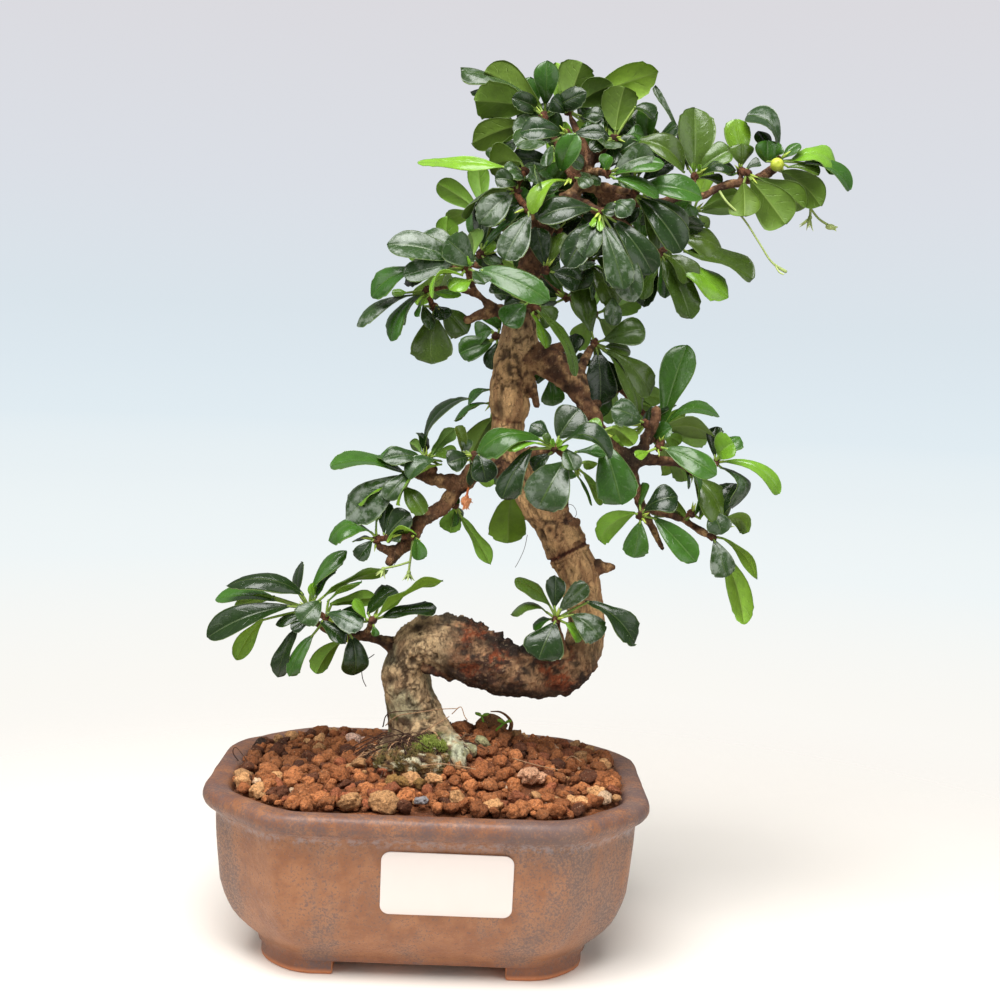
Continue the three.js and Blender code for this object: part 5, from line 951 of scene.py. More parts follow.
def tag_finish():
    """Smooth coated paper, a little uneven and faintly toned."""
    f = Finish("coated_paper", Specular_IOR_Level=0.5)
    tone = f.noise(9, 3)
    fibre = f.noise(0.35, 3, 0.7)
    colour = f.coats(linear(226, 216, 210), (tone * 0.5 + fibre * 0.2, (218, 207, 202)))
    return f.done(Base_Color=colour, Roughness=0.38 + tone * 0.12, Normal=f.bump(fibre, 0.03))


def net_finish():
    """Dark moulded plastic with soil dust."""
    f = Finish("net_plastic", Specular_IOR_Level=0.4)
    dusty = f.step(f.noise(2.2, 4, 0.7), 0.45, 0.7)
    colour = f.coats(linear(34, 36, 38), (dusty * 0.6, (112, 84, 64)))
    return f.done(Base_Color=colour, Roughness=0.5 + dusty * 0.35, Normal=f.bump(f.noise(0.5, 3), 0.08))


# Pot


def outline(inset, corner_points, side_points, radius=CORNER_RADIUS):
    """The pot's eight-sided outline with rounded corners, inset from the rim, as x and y."""
    half_x, half_y = RIM_HALF_X - inset, RIM_HALF_Y - inset
    flat_x = FRONT_HALF_STRAIGHT - STRAIGHT_LOSS * inset
    flat_y = SIDE_HALF_STRAIGHT - STRAIGHT_LOSS * inset
    quarter = np.array([[flat_x, -half_y], [half_x, -flat_y], [half_x, flat_y], [flat_x, half_y]])
    corners = np.concatenate([quarter, -quarter])
    reach = max(radius - 0.3 * inset, 2) * math.tan(math.pi / 8)
    before = corners + unit(np.roll(corners, 1, axis=0) - corners) * reach
    after = corners + unit(np.roll(corners, -1, axis=0) - corners) * reach
    ring = []
    for start, corner, end, following in zip(before, corners, after, np.roll(before, -1, axis=0)):
        for t in np.linspace(0, 1, corner_points):
            ring.append(start * (1 - t) ** 2 + 2 * corner * t * (1 - t) + end * t * t)
        for t in np.linspace(0, 1, side_points + 2)[1:-1]:
            ring.append(end * (1 - t) + following * t)
    return np.array(ring)


def make_foot():
    """One corner foot: a bracket under the pot's edge with softened edges."""
    form = bmesh.new()
    low = [form.verts.new((x, y, FOOT_BOTTOM)) for x, y in FOOT_OUTLINE]
    high = [form.verts.new((x, y, FOOT_TOP)) for x, y in FOOT_OUTLINE]
    form.faces.new(low)
    form.faces.new(high)
    for i in range(len(low)):
        j = (i + 1) % len(low)
        form.faces.new((low[i], low[j], high[j], high[i]))
    bmesh.ops.recalc_face_normals(form, faces=form.faces)
    lower = [e for e in form.edges if min(v.co.z for v in e.verts) < 0]
    bmesh.ops.bevel(form, geom=lower, offset=FOOT_EDGE, segments=3, affect="EDGES", profile=0.5)
    lengthy = [e for e in form.edges if e.calc_length() > 4]
    bmesh.ops.subdivide_edges(form, edges=lengthy, cuts=3, use_grid_fill=True)
    bmesh.ops.triangulate(form, faces=form.faces)
    points = np.array([v.co for v in form.verts])
    faces = np.array([[v.index for v in f.verts] for f in form.faces])
    form.free()
    return points, faces


def pot_tools():
    """What is cut from the pot's body and what is joined to it: two drainage holes and four feet."""
    for side in (-1, 1):
        hole = circle(DRAIN_RADIUS, DRILL_SIDES) + [side * DRAIN_X, 0]
        drill = np.concatenate([level_ring(hole, z) for z in DRILL_HEIGHTS])
        yield "DIFFERENCE", plain_mesh("drill", drill, *capped(len(DRILL_HEIGHTS), DRILL_SIDES))
    foot, faces = make_foot()
    for side_x in (-1, 1):
        for side_y in (-1, 1):
            turned = faces if side_x * side_y > 0 else faces[:, ::-1]
            yield "UNION", plain_mesh("foot", foot * [side_x, side_y, 1], turned)


def make_pot():
    """The pot, a little uneven, with marks where its glaze changes."""
    rings = []
    for z, inset in POT_PROFILE:
        radius = CORNER_RADIUS - WALL_RADIUS_LOSS * smooth(6, 14, z) * smooth(49, 44, z)
        rings.append(level_ring(outline(inset, 9, 9, radius), z))
    body = plain_mesh("pot_body", np.concatenate(rings), *capped(len(rings), len(rings[0])))
    tools = [(operation, in_scene(mesh.name, mesh)) for operation, mesh in pot_tools()]
    steps = [{"operation": operation, "solver": "EXACT", "object": tool} for operation, tool in tools]
    mesh = applied(body, *[("BOOLEAN", settings) for settings in steps])
    for _, tool in tools:
        bpy.data.objects.remove(tool)
    places, normals = read(mesh)
    uneven = 0.16 * rough(places, 9, 2, 31) + 0.05 * rough(places, 2.2, 2, 32)
    flat_foot = smooth(FOOT_BOTTOM, FOOT_BOTTOM + 0.5, places[:, 2])
    places = places + normals * (uneven * flat_foot)[:, None]
    x, y, height = places.T
    outward = x * normals[:, 0] + y * normals[:, 1] > 0
    under = 1 - smooth(-2.1, -1.4, height + 0.25 * rough(places, 3, 2, 33))
    bare = np.maximum(under, 1 - smooth(8, 14, height))
    streak = np.exp(-(((x + 34) / 6) ** 2)) * smooth(46, 30, height) * outward * (y < 0)
    mesh.vertices.foreach_set("co", (ORIGIN + MM * places).ravel())
    write_marks(mesh, {
        "lip": smooth(47.5, 51, height),
        "ledge": smooth(45, 47, height) * (1 - smooth(49.3, 50.6, height)) * outward,
        "bare": np.where(outward & (height > -1.5), 0, bare),
        "foot": 1 - smooth(2.2, 5.5, height + 0.6 * rough(places, 5, 2, 34)),
        "grey": np.maximum(0.55 * smooth(0, 60, x), 2.3 * streak),
    })
    settle(mesh, "pot_glazed", glaze_finish(), "glaze", ["pot"], 50)


def wall_inset(z):
    """How far the outside of the wall is from the rim's outline at a height."""
    heights, insets = np.array(POT_PROFILE[WALL_ROWS]).T
    return np.interp(z, heights, insets)


TAG_SIZE = [42.0, 21.0]
TAG_CORNER = 3.0
TAG_CENTRE = [8.1, 34.5]
# The tag's face from its edge inwards: how far in, and how far in front of the wall
TAG_RINGS = [[0, 0.02], [0, 0.3], [0.12, 0.42], [0.35, 0.46], [2.5, 0.47], [6, 0.47], [9.5, 0.47]]


def make_tag():
    """The blank tag, pressed on to the front wall, with one corner lifting a little."""
    half = np.array(TAG_SIZE) / 2
    rings = []
    for inset, front in TAG_RINGS:
        radius = max(TAG_CORNER - inset, 0.3)
        for side, end, first in ((1, -1, -90), (1, 1, 0), (-1, 1, 90), (-1, -1, 180)):
            centre = np.array([side, end]) * (half - inset - radius)
            # A corner's last point stands twice, so that its shading ends where the straight side begins
            for turn in np.radians([*np.linspace(first, first + 90, 9), first + 90]):
                rings.append([*(centre + radius * np.array([math.cos(turn), math.sin(turn)])), front])
    x, z, front = np.array(rings).T
    lifted = 0.35 * smooth(19, 29, x + z)
    x, z = TAG_CENTRE[0] + x, TAG_CENTRE[1] + z
    y = -(RIM_HALF_Y - wall_inset(z)) - front - lifted - 0.12
    shape = Shape()
    shape.add(np.c_[x, y, z], *capped(len(TAG_RINGS), len(x) // len(TAG_RINGS)))
    shape.piece("tag_blank", tag_finish(), "tag", ["blank_tag"], 40)


# Soil

EARTH = {
    "brown": linear(150, 90, 52),
    "orange": linear(176, 110, 66),
    "tan": linear(204, 152, 102),
    "dark": linear(96, 56, 36),
    "red": linear(158, 92, 60),
    "pale": linear(226, 190, 154),
    "lichen": linear(166, 162, 118),
    "mossy": linear(138, 104, 56),
}


# The bed's side inside the pot, from the floor up: height and inset from the rim
BED_WALL = [[8, 23.9], [10, 20.5], [16, 17.6], [22, 15], [30, 13.7], [40, 12.2], [50, 10.9], [53, 9.9]]
BED_INSET = 9.6
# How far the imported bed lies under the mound's surface
BED_DROP = 1.2


def soil_top(x, y):
    dx = (x - MOUND_CENTRE[0]) / MOUND_SPREAD[0]
    dy = (y - MOUND_CENTRE[1]) / MOUND_SPREAD[1]
    return SOIL_EDGE + MOUND_HEIGHT * np.exp(-dx * dx - dy * dy)


def make_soil_bed():
    """The packed soil under the crumbs, down to the pot's floor."""
    rings = [level_ring(outline(inset, 9, 5), z) for z, inset in BED_WALL]
    edge = outline(BED_INSET, 9, 5)
    for share in np.linspace(1, 0.02, 44)[1:]:
        x, y = (np.array(MOUND_CENTRE) * (1 - share) + edge * share).T
        top = soil_top(x, y) - BED_DROP
        rings.append(np.c_[x, y, top + 0.9 * rough(np.c_[x, y, top], 3.2, 3, 41)])
    points = np.concatenate(rings)
    tone = np.clip(0.35 + 0.5 * rough(points, 5, 3, 42), 0, 1)
    shape = Shape()
    shape.add(points, *capped(len(rings), len(edge)), earth=blend(EARTH["dark"], EARTH["brown"], tone))
    shape.piece("soil_bed", earth_finish("soil_bed"), "soil", ["soil"])


def crumb(random, detail, size, squash=0.85, edges=10):
    """An angular lump with softened, pitted edges, its half size in millimetres, turned at random."""
    directions, faces = ball(detail)
    normals = unit(random.normal(size=(edges, 3)))
    offsets = random.uniform(0.72, 1.0, edges)
    facing = np.maximum(directions @ normals.T, 0.04)
    reach = np.sum((offsets / facing) ** -16.0, axis=1) ** (-1 / 16)
    points = directions * np.minimum(reach, 1.08)[:, None]
    own = int(random.integers(1, 9999))
    shift = 40 * random.random(3)
    lumps = rough(points + shift, 0.9, 2, own) + 0.7 * rough(points + shift, 0.34, 2, own + 1)
    points = points * (1 + 0.25 * lumps)[:, None]
    points = points * np.array([1, random.uniform(0.75, 1), squash * random.uniform(0.75, 1.1)]) * size
    turn = random.uniform(0, 2 * math.pi)
    lean = random.normal(0, 0.16, 2)
    c, s = math.cos(turn), math.sin(turn)
    points = points @ np.array([[c, s, 0], [-s, c, 0], [0, 0, 1]])
    points[:, 2] += points[:, :2] @ lean
    return points, faces


def from_rim(x, y):
    """How far a place inside the pot is from the nearest of its eight sides."""
    slant = (FRONT_HALF_STRAIGHT + RIM_HALF_Y - abs(x) - abs(y)) / math.sqrt(2)
    return min(RIM_HALF_X - abs(x), RIM_HALF_Y - abs(y), slant)


# Crumbs that the photograph shows one by one: x, depth y, half size, colour
PLACED_CRUMBS = [
    [-13.5, -43.8, 5, "tan"], [-38.5, -42, 3.4, "orange"], [-24, -44.5, 4, "tan"], [-31, -44.5, 3, "orange"],
    [-61, -26, 3.8, "tan"], [-55.5, -32.5, 3, "tan"], [57, -25.5, 3.6, "tan"], [-46, -16, 4.4, "orange"],
    [-29, -19, 4, "brown"], [-37, -33, 3.5, "brown"], [10, -37, 3, "tan"], [22, -43, 3.2, "tan"],
    [-5, -26, 3.2, "tan"], [14, -29, 2.8, "orange"], [31, -44, 3.2, "orange"], [45, -38.5, 3.6, "brown"],
    [-48, -36.5, 3.8, "dark"], [51, -34, 2.8, "tan"], [-20, -30, 3.4, "orange"], [60, -12, 3.2, "brown"],
    [62, 4, 3, "tan"], [-55, -8, 3.8, "orange"], [-62, -2, 3.2, "brown"], [17.5, 6, 2.6, "orange"],
    [12, 7, 2.4, "brown"], [22.5, 8, 2.5, "orange"], [18, -7, 3, "lichen"], [-8, -27, 2.9, "mossy"],
    [-2.5, -28.5, 2.5, "mossy"], [-12, -25, 2.4, "mossy"],
]
CRUMB_EDGE = 9.4
CRUMB_RISE = 1.7
# How many tries, the smallest and the largest half size, and how far the crumbs stand above the bed
CRUMB_LAYERS = [[7000, 1.3, 3.4, 0.3], [4000, 0.8, 1.5, -0.7]]
EDGE_INSET = 12.2
EDGE_CRUMBS = [2.0, 3.3]
CRUMB_TONES = [0.36, 0.4, 0.05, 0.08, 0.1, 0.01, 0, 0]
CELL = 4
# Depths where the front crumbs, which are finer meshes, and the middle ones end
FRONT_CRUMBS = -22
MIDDLE_CRUMBS = 10


# Where the crumbs leave room for the pale chips and the pebble: x, y and radius
CLEARINGS = [[-27, 22, 3.6], [-27, 16, 3], [-1.3, -44, 3.6], [34.8, -24, 4]]


def in_clearing(x, y, size):
    return any(math.hypot(x - a, y - b) < 0.8 * size + r for a, b, r in CLEARINGS)


def scattered(random, layer):
    """Where the crumbs of a layer lie, the largest first: x, depth y, half size and colour."""
    tries, smallest, largest, _ = CRUMB_LAYERS[layer]
    tones = list(EARTH)
    placed = []
    if layer == 0:
        placed = list(PLACED_CRUMBS)
        for x, y in outline(EDGE_INSET, 3, 7):
            size = random.uniform(*EDGE_CRUMBS)
            apart = all(math.hypot(x - row[0], y - row[1]) > 0.8 * (size + row[2]) for row in placed)
            if apart and not in_clearing(x, y, size):
                placed.append([x, y, size, tones[random.choice(len(tones), p=CRUMB_TONES)]])
    cells = {}
    for x, y, size, _ in placed:
        cells.setdefault((x // CELL, y // CELL), []).append((x, y, size))
    for n in range(tries):
        size = smallest + (largest - smallest) * (1 - n / tries) ** 2 * random.uniform(0.5, 1)
        x = random.uniform(-RIM_HALF_X, RIM_HALF_X)
        y = random.uniform(-RIM_HALF_Y, RIM_HALF_Y)
        if from_rim(x, y) < CRUMB_EDGE + 0.6 * size + 2.6 * layer or in_clearing(x, y, size):
            continue
        column, line = x // CELL, y // CELL
        around = [(column + i, line + j) for i in range(-2, 3) for j in range(-2, 3)]
        near = [one for cell in around for one in cells.get(cell, [])]
        if all(math.hypot(x - a, y - b) >= 0.76 * (size + r) for a, b, r in near):
            cells.setdefault((column, line), []).append((x, y, size))
            placed.append([x, y, size, tones[random.choice(len(tones), p=CRUMB_TONES)]])
    return placed


def make_crumbs():
    """Crumbs of fired clay over the soil bed, large ones in the first layer and small ones in its gaps."""
    random = np.random.default_rng(77)
    groups = {"front": Shape(), "middle": Shape(), "back": Shape()}
    for layer, (_, _, _, stand) in enumerate(CRUMB_LAYERS):
        for x, y, size, tone in scattered(random, layer):
            detail = 4 if size > 2.8 and y < FRONT_CRUMBS else 3 if size > (1.4 if y < 0 else 1.9) else 2
            points, faces = crumb(random, detail - layer * (size < 1.2), size)
            rise = CRUMB_RISE * smooth(22, 11, from_rim(x, y))
            height = soil_top(x, y) - BED_DROP + 0.3 * size + stand + rise + random.uniform(0, 0.5)
            points = points + [x, y, height]
            # Crumbs are darker towards the back; their lower halves carry painted shade, more in the small
            # crumbs of the gaps
            colour = EARTH[tone] * random.uniform(0.7, 1.2) * (1 - 0.2 * smooth(-25, 15, y))
            low = np.clip(0.5 - (points[:, 2] - height) / size, 0, 1)
            colour = blend(colour, EARTH["dark"], (0.35 + 0.3 * layer) * low)
            name = "front" if y < FRONT_CRUMBS else "middle" if y < MIDDLE_CRUMBS else "back"
            groups[name].add(points, faces, earth=colour)
    finish = earth_finish("soil_crumbs")
    for name, shape in groups.items():
        shape.piece("soil_crumbs_" + name, finish, "soil")


# The pale chips and the grey pebble: name, centres, half sizes, flat sides, colour and gleam
CHIPS = [
    ["chip_white", [[-28.6, 22, 60.2], [-25.2, 23, 60.2], [-27, 21, 61]], [2.9, 2.2, 1.9], 12,
     (236, 196, 176), 0.1],
    ["pebble_grey", [[-1.3, -43, 58.6]], [3.1], 40, (142, 138, 140), 0.35],
    ["chip_tan", [[34.3, -23.6, 62.9], [37.4, -22.2, 62], [31.8, -21.6, 62.4]], [3.4, 2.3, 2.1], 12,
     (206, 156, 122), 0.1],
]


def make_chips():
    """The stones that stand out from the soil, each in its own finish."""
    random = np.random.default_rng(5)
    for name, centres, sizes, edges, colour, gleam in CHIPS:
        shape = Shape()
        for centre, size in zip(centres, sizes):
            points, faces = crumb(random, 4, size, 0.72, edges)
            stain = np.clip(rough(points, size, 2, 12) * 0.6, 0, 0.7)
            shape.add(points + centre, faces, earth=blend(linear(*colour), linear(150, 92, 62), stain))
        shape.piece(name + "_piece", earth_finish(name, 1.0, gleam), name, [name])


# Wood

BARK = {
    "tan": linear(214, 182, 138),
    "grey": linear(190, 178, 140),
    "brown": linear(120, 84, 58),
    "dark": linear(66, 42, 31),
    "black": linear(38, 31, 25),
    "rust": linear(148, 72, 38),
    "flaky": linear(170, 132, 96),
    "light": linear(204, 162, 112),
    "reddish": linear(126, 80, 54),
    "scar": linear(96, 32, 20),
    "moss": linear(84, 100, 42),
    "lichen": linear(196, 198, 168),
}
# Knots on the front: seen x, seen z and radius
KNOTS = [
    [-5.4, 99.2, 2.2], [-7.4, 94.8, 2.6], [-14.6, 88.2, 3.6], [-6.3, 83, 2.6], [-2.2, 77.3, 2.4],
    [21.5, 198, 3.2], [25, 193, 1.8], [19, 169.5, 2.2], [38, 143, 2], [30.6, 142.8, 2.2],
    [38.5, 131.6, 2.2], [27, 213, 2.6], [44, 110, 2.4], [33, 190, 1.8],
]
# Patches on the level stretch: seen x, seen z, radius, colour
PATCHES = [
    [12, 107.5, 4.4, "rust"], [21.5, 97.6, 3.6, "rust"], [11.9, 93.5, 3, "rust"], [43.4, 92.3, 4.2, "rust"],
    [37.7, 95, 2.6, "rust"], [46.4, 88, 3.2, "rust"], [4, 102, 3.6, "brown"], [26.6, 93.8, 2.8, "flaky"],
    [34, 91.2, 3.6, "flaky"], [51, 96.5, 4.6, "flaky"], [16, 101, 2.4, "flaky"], [30, 98.5, 2, "brown"],
]
# Lumps of root grown over with lichen, in front of the trunk
LICHEN_KNOBS = [
    [[6.4, -8, 66.4, 2.6], [7.2, -12, 65.2, 3.5]], [[12.4, -9, 65, 2.2], [13.7, -13, 64, 2.9]],
]
# Rings left by a binding wire, as row numbers along the trunk
WIRE_SCARS = [16.9, 23.15]
VOXEL = 0.65


def shortened(rows):
    """A twig that stops 1 mm short of its last row, under the shoot that it carries."""
    end, before = np.array(rows[-1], float), np.array(rows[-2], float)
    back = unit(end[:3] - before[:3])
    return [*rows[:-1], [*(end[:3] - back), end[3]]]


# The trunk comes first, then the roots, knobs, branches, twigs and lichened lumps
LIMBS = [
    TRUNK, *ROOTS, *KNOBS, *BRANCHES, *[shortened(row[1]) for row in SHOOTS + BACK_SHOOTS], *LICHEN_KNOBS,
]
# How many points of the skin are measured at once
BATCH = 4000


def wood_form():
    """The limbs as rough tubes, and their centre lines: place, radius, row, limb, length and directions."""
    form = Shape()
    lines = []
    for number, rows in enumerate(LIMBS):
        places, radii, row_numbers = run(rows, 1.2)
        form.add(*tube(places, radii, 20 if number == 0 else 12))
        lengths = np.linalg.norm(np.diff(places, axis=0), axis=1)
        arc = np.concatenate([[0], np.cumsum(lengths)])
        limb = np.full(len(places), number)
        lines.append(np.column_stack([places, radii, row_numbers, limb, arc, *frames(places)]))
    return plain_mesh("skin", np.concatenate(form.points), *form.faces), np.concatenate(lines)


def wood_zones(places, normals, lines):
    """For each point of the skin: where it lies on its limb, what kind of bark grows there, and noises."""
    nearest = np.empty(len(places), int)
    for start in range(0, len(places), BATCH):
        part = places[start:start + BATCH, None] - lines[None, :, :3]
        nearest[start:start + BATCH] = np.argmin(np.sqrt((part**2).sum(2)) - lines[:, 3], axis=1)
    line = lines[nearest]
    away = places - line[:, :3]
    radius, row, limb, arc = line[:, 3], line[:, 4], line[:, 5].astype(int), line[:, 6]
    along, side, up = ((away * line[:, i:i + 3]).sum(1) for i in (7, 10, 13))
    grain_at = np.c_[side, up, 0.26 * (arc + along) + 9 * limb]
    x, z = seen(places)
    trunk = limb == 0
    lichened = (limb == len(ROOTS)) | (limb >= len(LIMBS) - len(LICHEN_KNOBS))
    root = (limb > 0) & (limb <= len(ROOTS)) | lichened
    level = np.where(trunk, smooth(6.9, 8.1, row) * (1 - smooth(12.2, 13.7, row)), 0)
    level = np.where((limb == len(ROOTS) + 1) | (limb == len(ROOTS) + 2), 1, level)
    crust = np.where(trunk, smooth(5.4, 6.6, row) * (1 - smooth(12.5, 14, row)), 0)
    return SimpleNamespace(
        x=x, z=z, normals=normals, radius=radius, row=row, trunk=trunk, root=root, lichened=lichened,
        grain_at=grain_at, level=level, crust=crust * smooth(0.35, 0.85, normals[:, 2]),
        low=np.where(trunk, 1 - smooth(6.6, 8.1, row), 0),
        upper=np.where(trunk, smooth(12.2, 13.7, row) * (1 - smooth(26.5, 30, row)), 0),
        thin=np.where(trunk, smooth(27.5, 31, row), 1) * ~root * (1 - level),
        lumps=rough(places, 7, 2, 51), knobbly=rough(places, 3.1, 4, 52), fine=rough(places, 1.3, 2, 53),
    )


def bark_relief(wood):
    """How far the bark stands out at each point, and how dark the knots and the wire's scars are."""
    knobbly, fine = wood.knobbly, wood.fine
    grain = rough(wood.grain_at, 1.5, 3, 54)
    fissure = -smooth(0.12, 0.75, rough(wood.grain_at, 2.3, 2, 55))
    size = np.minimum(wood.radius / 5, 1)
    relief = (
        0.55 * wood.lumps * size
        + wood.low * (0.34 * grain + 0.3 * knobbly + 0.5 * fissure)
        + wood.upper * (0.42 * grain + 0.16 * knobbly + 0.55 * fissure)
        + wood.level * (0.85 * knobbly + 0.34 * fine + 0.2)
        + wood.thin * np.minimum(wood.radius / 2.4, 1) * (0.6 * knobbly + 0.3 * fine)
        + wood.crust * (1.6 * np.maximum(knobbly, 0) + 0.7 * np.abs(fine))
    )
    relief = np.where(wood.root, 0.5 * knobbly * size + 0.4 * grain * size + 0.3 * fine, relief)
    knots = np.zeros(len(relief))
    front = smooth(0.1, -0.35, wood.normals[:, 1]) * (wood.radius > 3)
    for knot_x, knot_z, knot_size in KNOTS:
        far = np.hypot(wood.x - knot_x, 0.8 * (wood.z - knot_z)) / knot_size
        far = far * (1 + 0.4 * fine + 0.34 * knobbly)
        rim = 0.55 * np.exp(-((far - 0.8) / 0.3) ** 2)
        groove = 0.4 * np.exp(-((far - 1.25) / 0.22) ** 2)
        relief += front * (rim - 0.5 * np.exp(-((far / 0.36) ** 2)) - groove)
        pit, ring = 0.8 * np.exp(-((far / 0.38) ** 2)), 0.62 * np.exp(-((far - 1.25) / 0.2) ** 2)
        knots = np.maximum(knots, front * np.maximum(pit, ring))
    scars = np.zeros(len(relief))
    for ring in WIRE_SCARS:
        apart = (wood.row - ring + 0.06 * wood.lumps) * 7
        swelling = 0.5 * np.exp(-(((np.abs(apart) - 1.25) / 0.5) ** 2))
        relief += wood.trunk * (swelling - 0.55 * np.exp(-((apart / 0.55) ** 2)))
        scars = np.maximum(scars, wood.trunk * np.exp(-((apart / 0.75) ** 2)))
    return relief, knots, scars


def painted(colour, *coats):
    """A colour under coats of bark colours, each with its share."""
    for tone, share in coats:
        colour = blend(colour, BARK[tone], share)
    return colour


def bark_colours(wood, places, knots, scars):
    """The bark's colour at each point: old wood, the dark level stretch, young twigs, and what marks them."""
    grain_at = wood.grain_at

    def share(size, low_at, high_at, seed, at=places):
        return smooth(low_at, high_at, rough(at, size, 3, seed))

    streaks = np.maximum(share(1.5, 0.15, 0.8, 62, grain_at) * 0.6, share(7, 0.4, 0.9, 63) * 0.45)
    colour = painted(BARK["tan"], ("grey", share(9, -0.2, 0.5, 61) * wood.low), ("brown", streaks))
    light = painted(
        BARK["light"],
        ("reddish", share(3, 0.1, 0.8, 64, grain_at) * 0.6),
        ("brown", share(1.3, 0.2, 0.8, 65, grain_at) * 0.75),
    )
    dark = painted(
        BARK["dark"], ("brown", share(4.5, -0.1, 0.5, 66) * 0.9), ("rust", share(5, 0.3, 0.7, 67) * 0.4))
    for patch_x, patch_z, patch_size, tone in PATCHES:
        far = np.hypot(wood.x - patch_x, wood.z - patch_z) / patch_size
        far = far + 0.7 * wood.knobbly + 0.8 * wood.fine + 0.3 * wood.lumps
        dark = painted(dark, (tone, 0.8 * smooth(1.2, 0.6, far) * (wood.normals[:, 1] < 0.3)))
    # Every face of the level stretch that looks downwards is painted black: painted shade under the limb,
    # besides its own random black patches
    below = smooth(-0.2, -0.8, wood.normals[:, 2])
    dark = painted(
        dark,
        ("flaky", share(1.5, 0.25, 0.6, 76) * 0.45),
        ("black", np.maximum(share(2.6, 0.2, 0.6, 68), below) * 0.8),
    )
    twig = painted(
        BARK["brown"], ("light", share(3.5, 0.1, 0.7, 69) * 0.6), ("dark", share(2.4, -0.1, 0.5, 70) * 0.85))
    for kind, zone in ((light, wood.upper), (dark, wood.level), (twig, wood.thin)):
        colour = blend(colour, kind, zone)
    clump = np.exp(-(np.hypot(wood.x - 66, wood.z - 170) / 6.5) ** 2)
    foot = smooth(81, 73, places[:, 2] + 0.3 * (wood.x + 4))
    colour = painted(
        colour,
        ("black", wood.crust * share(4, -0.5, 0.2, 71) * 0.85),
        ("dark", np.clip(knots, 0, 1) * 0.85),
        ("scar", np.clip(scars, 0, 1) * 0.9),
        ("black", np.clip(clump * 1.2, 0, 1) * 0.85),
        ("dark", foot * share(3, -0.6, 0.2, 72) * 0.85),
        ("moss", foot * share(4, 0.1, 0.5, 73) * 0.7),
    )
    knob = np.exp(-(((wood.x - 10.5) / 8) ** 2 + ((wood.z - 65) / 5) ** 2)) * wood.lichened
    lichen = blend(BARK["lichen"], EARTH["lichen"], share(2, -0.2, 0.5, 75))
    return blend(colour, lichen, np.clip(knob * 1.6 * share(2.4, -0.7, 0.1, 74), 0, 0.92))


def make_wood():
    """Trunk, roots, branches and twigs as one skin with bark relief, painted zone by zone."""
    skin, lines = wood_form()
    voxel = VOXEL
    mesh = applied(skin, ("REMESH", {"mode": "VOXEL", "voxel_size": voxel}))
    places, normals = read(mesh)
    wood = wood_zones(places, normals, lines)
    relief, knots, scars = bark_relief(wood)
    places = places + normals * relief[:, None]
    # Painted shade in the bark's hollows, with the knots' dark marks added
    hollow = np.clip(smooth(0.0, -0.8, relief - 0.2 * wood.lumps) + 0.5 * knots, 0, 1)
    mesh.vertices.foreach_set("co", (ORIGIN + MM * places).ravel())
    write_marks(mesh, {"bark": bark_colours(wood, places, knots, scars), "hollow": hollow})
    settle(mesh, "tree_wood", wood_finish(), "bark", ["tree"])


# Leaves

BLADE_ROWS = np.array([
    0, 0.06, 0.15, 0.26, 0.38, 0.5, 0.61, 0.7, 0.77, 0.82, 0.865, 0.905, 0.935, 0.965, 0.99, 1,
])
# How far the rows near the tip stand out or in as teeth
TEETH = {9: 1, 10: -1, 11: 0.5, 12: 1, 13: -0.8}
BLADE_COLUMNS = np.array([-1, -0.86, -0.62, -0.34, -0.08, 0, 0.08, 0.34, 0.62, 0.86, 1])
BLADE_THICKNESS = 0.34
# For each colour code: the upper side; the underside, its paler green brightened to paint the light that
# shines through the leaf; and how dusty the upper side is, the dust also being a painted sheen
GREENS = [
    [linear(26, 48, 13), linear(92, 126, 22), 0.06],
    [linear(52, 92, 24), linear(108, 148, 34), 0.05],
    [linear(68, 92, 28), linear(88, 118, 28), 0.05],
    [linear(106, 150, 38), linear(132, 172, 44), 0.0],
    [linear(42, 66, 28), linear(100, 134, 50), 0.66],
]


def placed_leaf(row, stem):
    """A leaf row as points in space: where it leaves the stem, its blade's ends and its upper side."""
    base_x, base_z, tip_x, tip_z, depth, seen_width, turn, arch, tint = row
    nearest = min(stem, key=lambda point: math.hypot(point[0] - base_x, point[2] - base_z))
    base = spot(base_x, nearest[1] + BASE_DEPTH_SHARE * depth, base_z)
    tip = spot(tip_x, nearest[1] + depth, tip_z)
    axis = unit(tip - base)
    to_eye = unit(EYE - base)
    to_eye = unit(to_eye - axis * (to_eye @ axis))
    above = np.cross(to_eye, axis)
    if above[2] < 0:
        above = -above
    angle = math.radians(turn)
    normal = to_eye * math.cos(angle) + above * math.sin(angle)
    width = min(seen_width / max(abs(math.cos(angle)), NARROWEST_TURN), WIDEST_LEAF)
    return SimpleNamespace(
        root=spot(*nearest), base=base, tip=tip, normal=normal, width=width, arch=arch, tint=tint)


def whorl(centre, seed, outward=None):
    """The leaves of a whorl, which spread outwards from the middle of the crown and upwards at its back."""
    following = repeatable(seed)
    root = spot(*centre)
    if outward is None:
        outward = unit(unit(root - spot(*BACK_CENTRE)) + [0, 0.5, 0.35])
    side = unit(np.cross([0, 0, 1], outward))
    up = np.cross(outward, side)
    leaves = []
    for i in range(BACK_LEAVES):
        angle = 2 * math.pi * (i + 0.6 * following()) / BACK_LEAVES
        opening = 0.65 + 0.5 * following()
        length = 13 + 5 * following()
        spread = side * math.cos(angle) + up * math.sin(angle)
        axis = outward * math.cos(opening) + spread * math.sin(opening)
        base = root + 3 * axis
        leaves.append(SimpleNamespace(
            root=root, base=base, tip=base + axis * length, tint=WHORL_TINTS[i],
            normal=outward * math.sin(opening) - spread * math.cos(opening),
            width=0.48 * length + 2 * following(), arch=1 + 1.5 * following()))
    return leaves


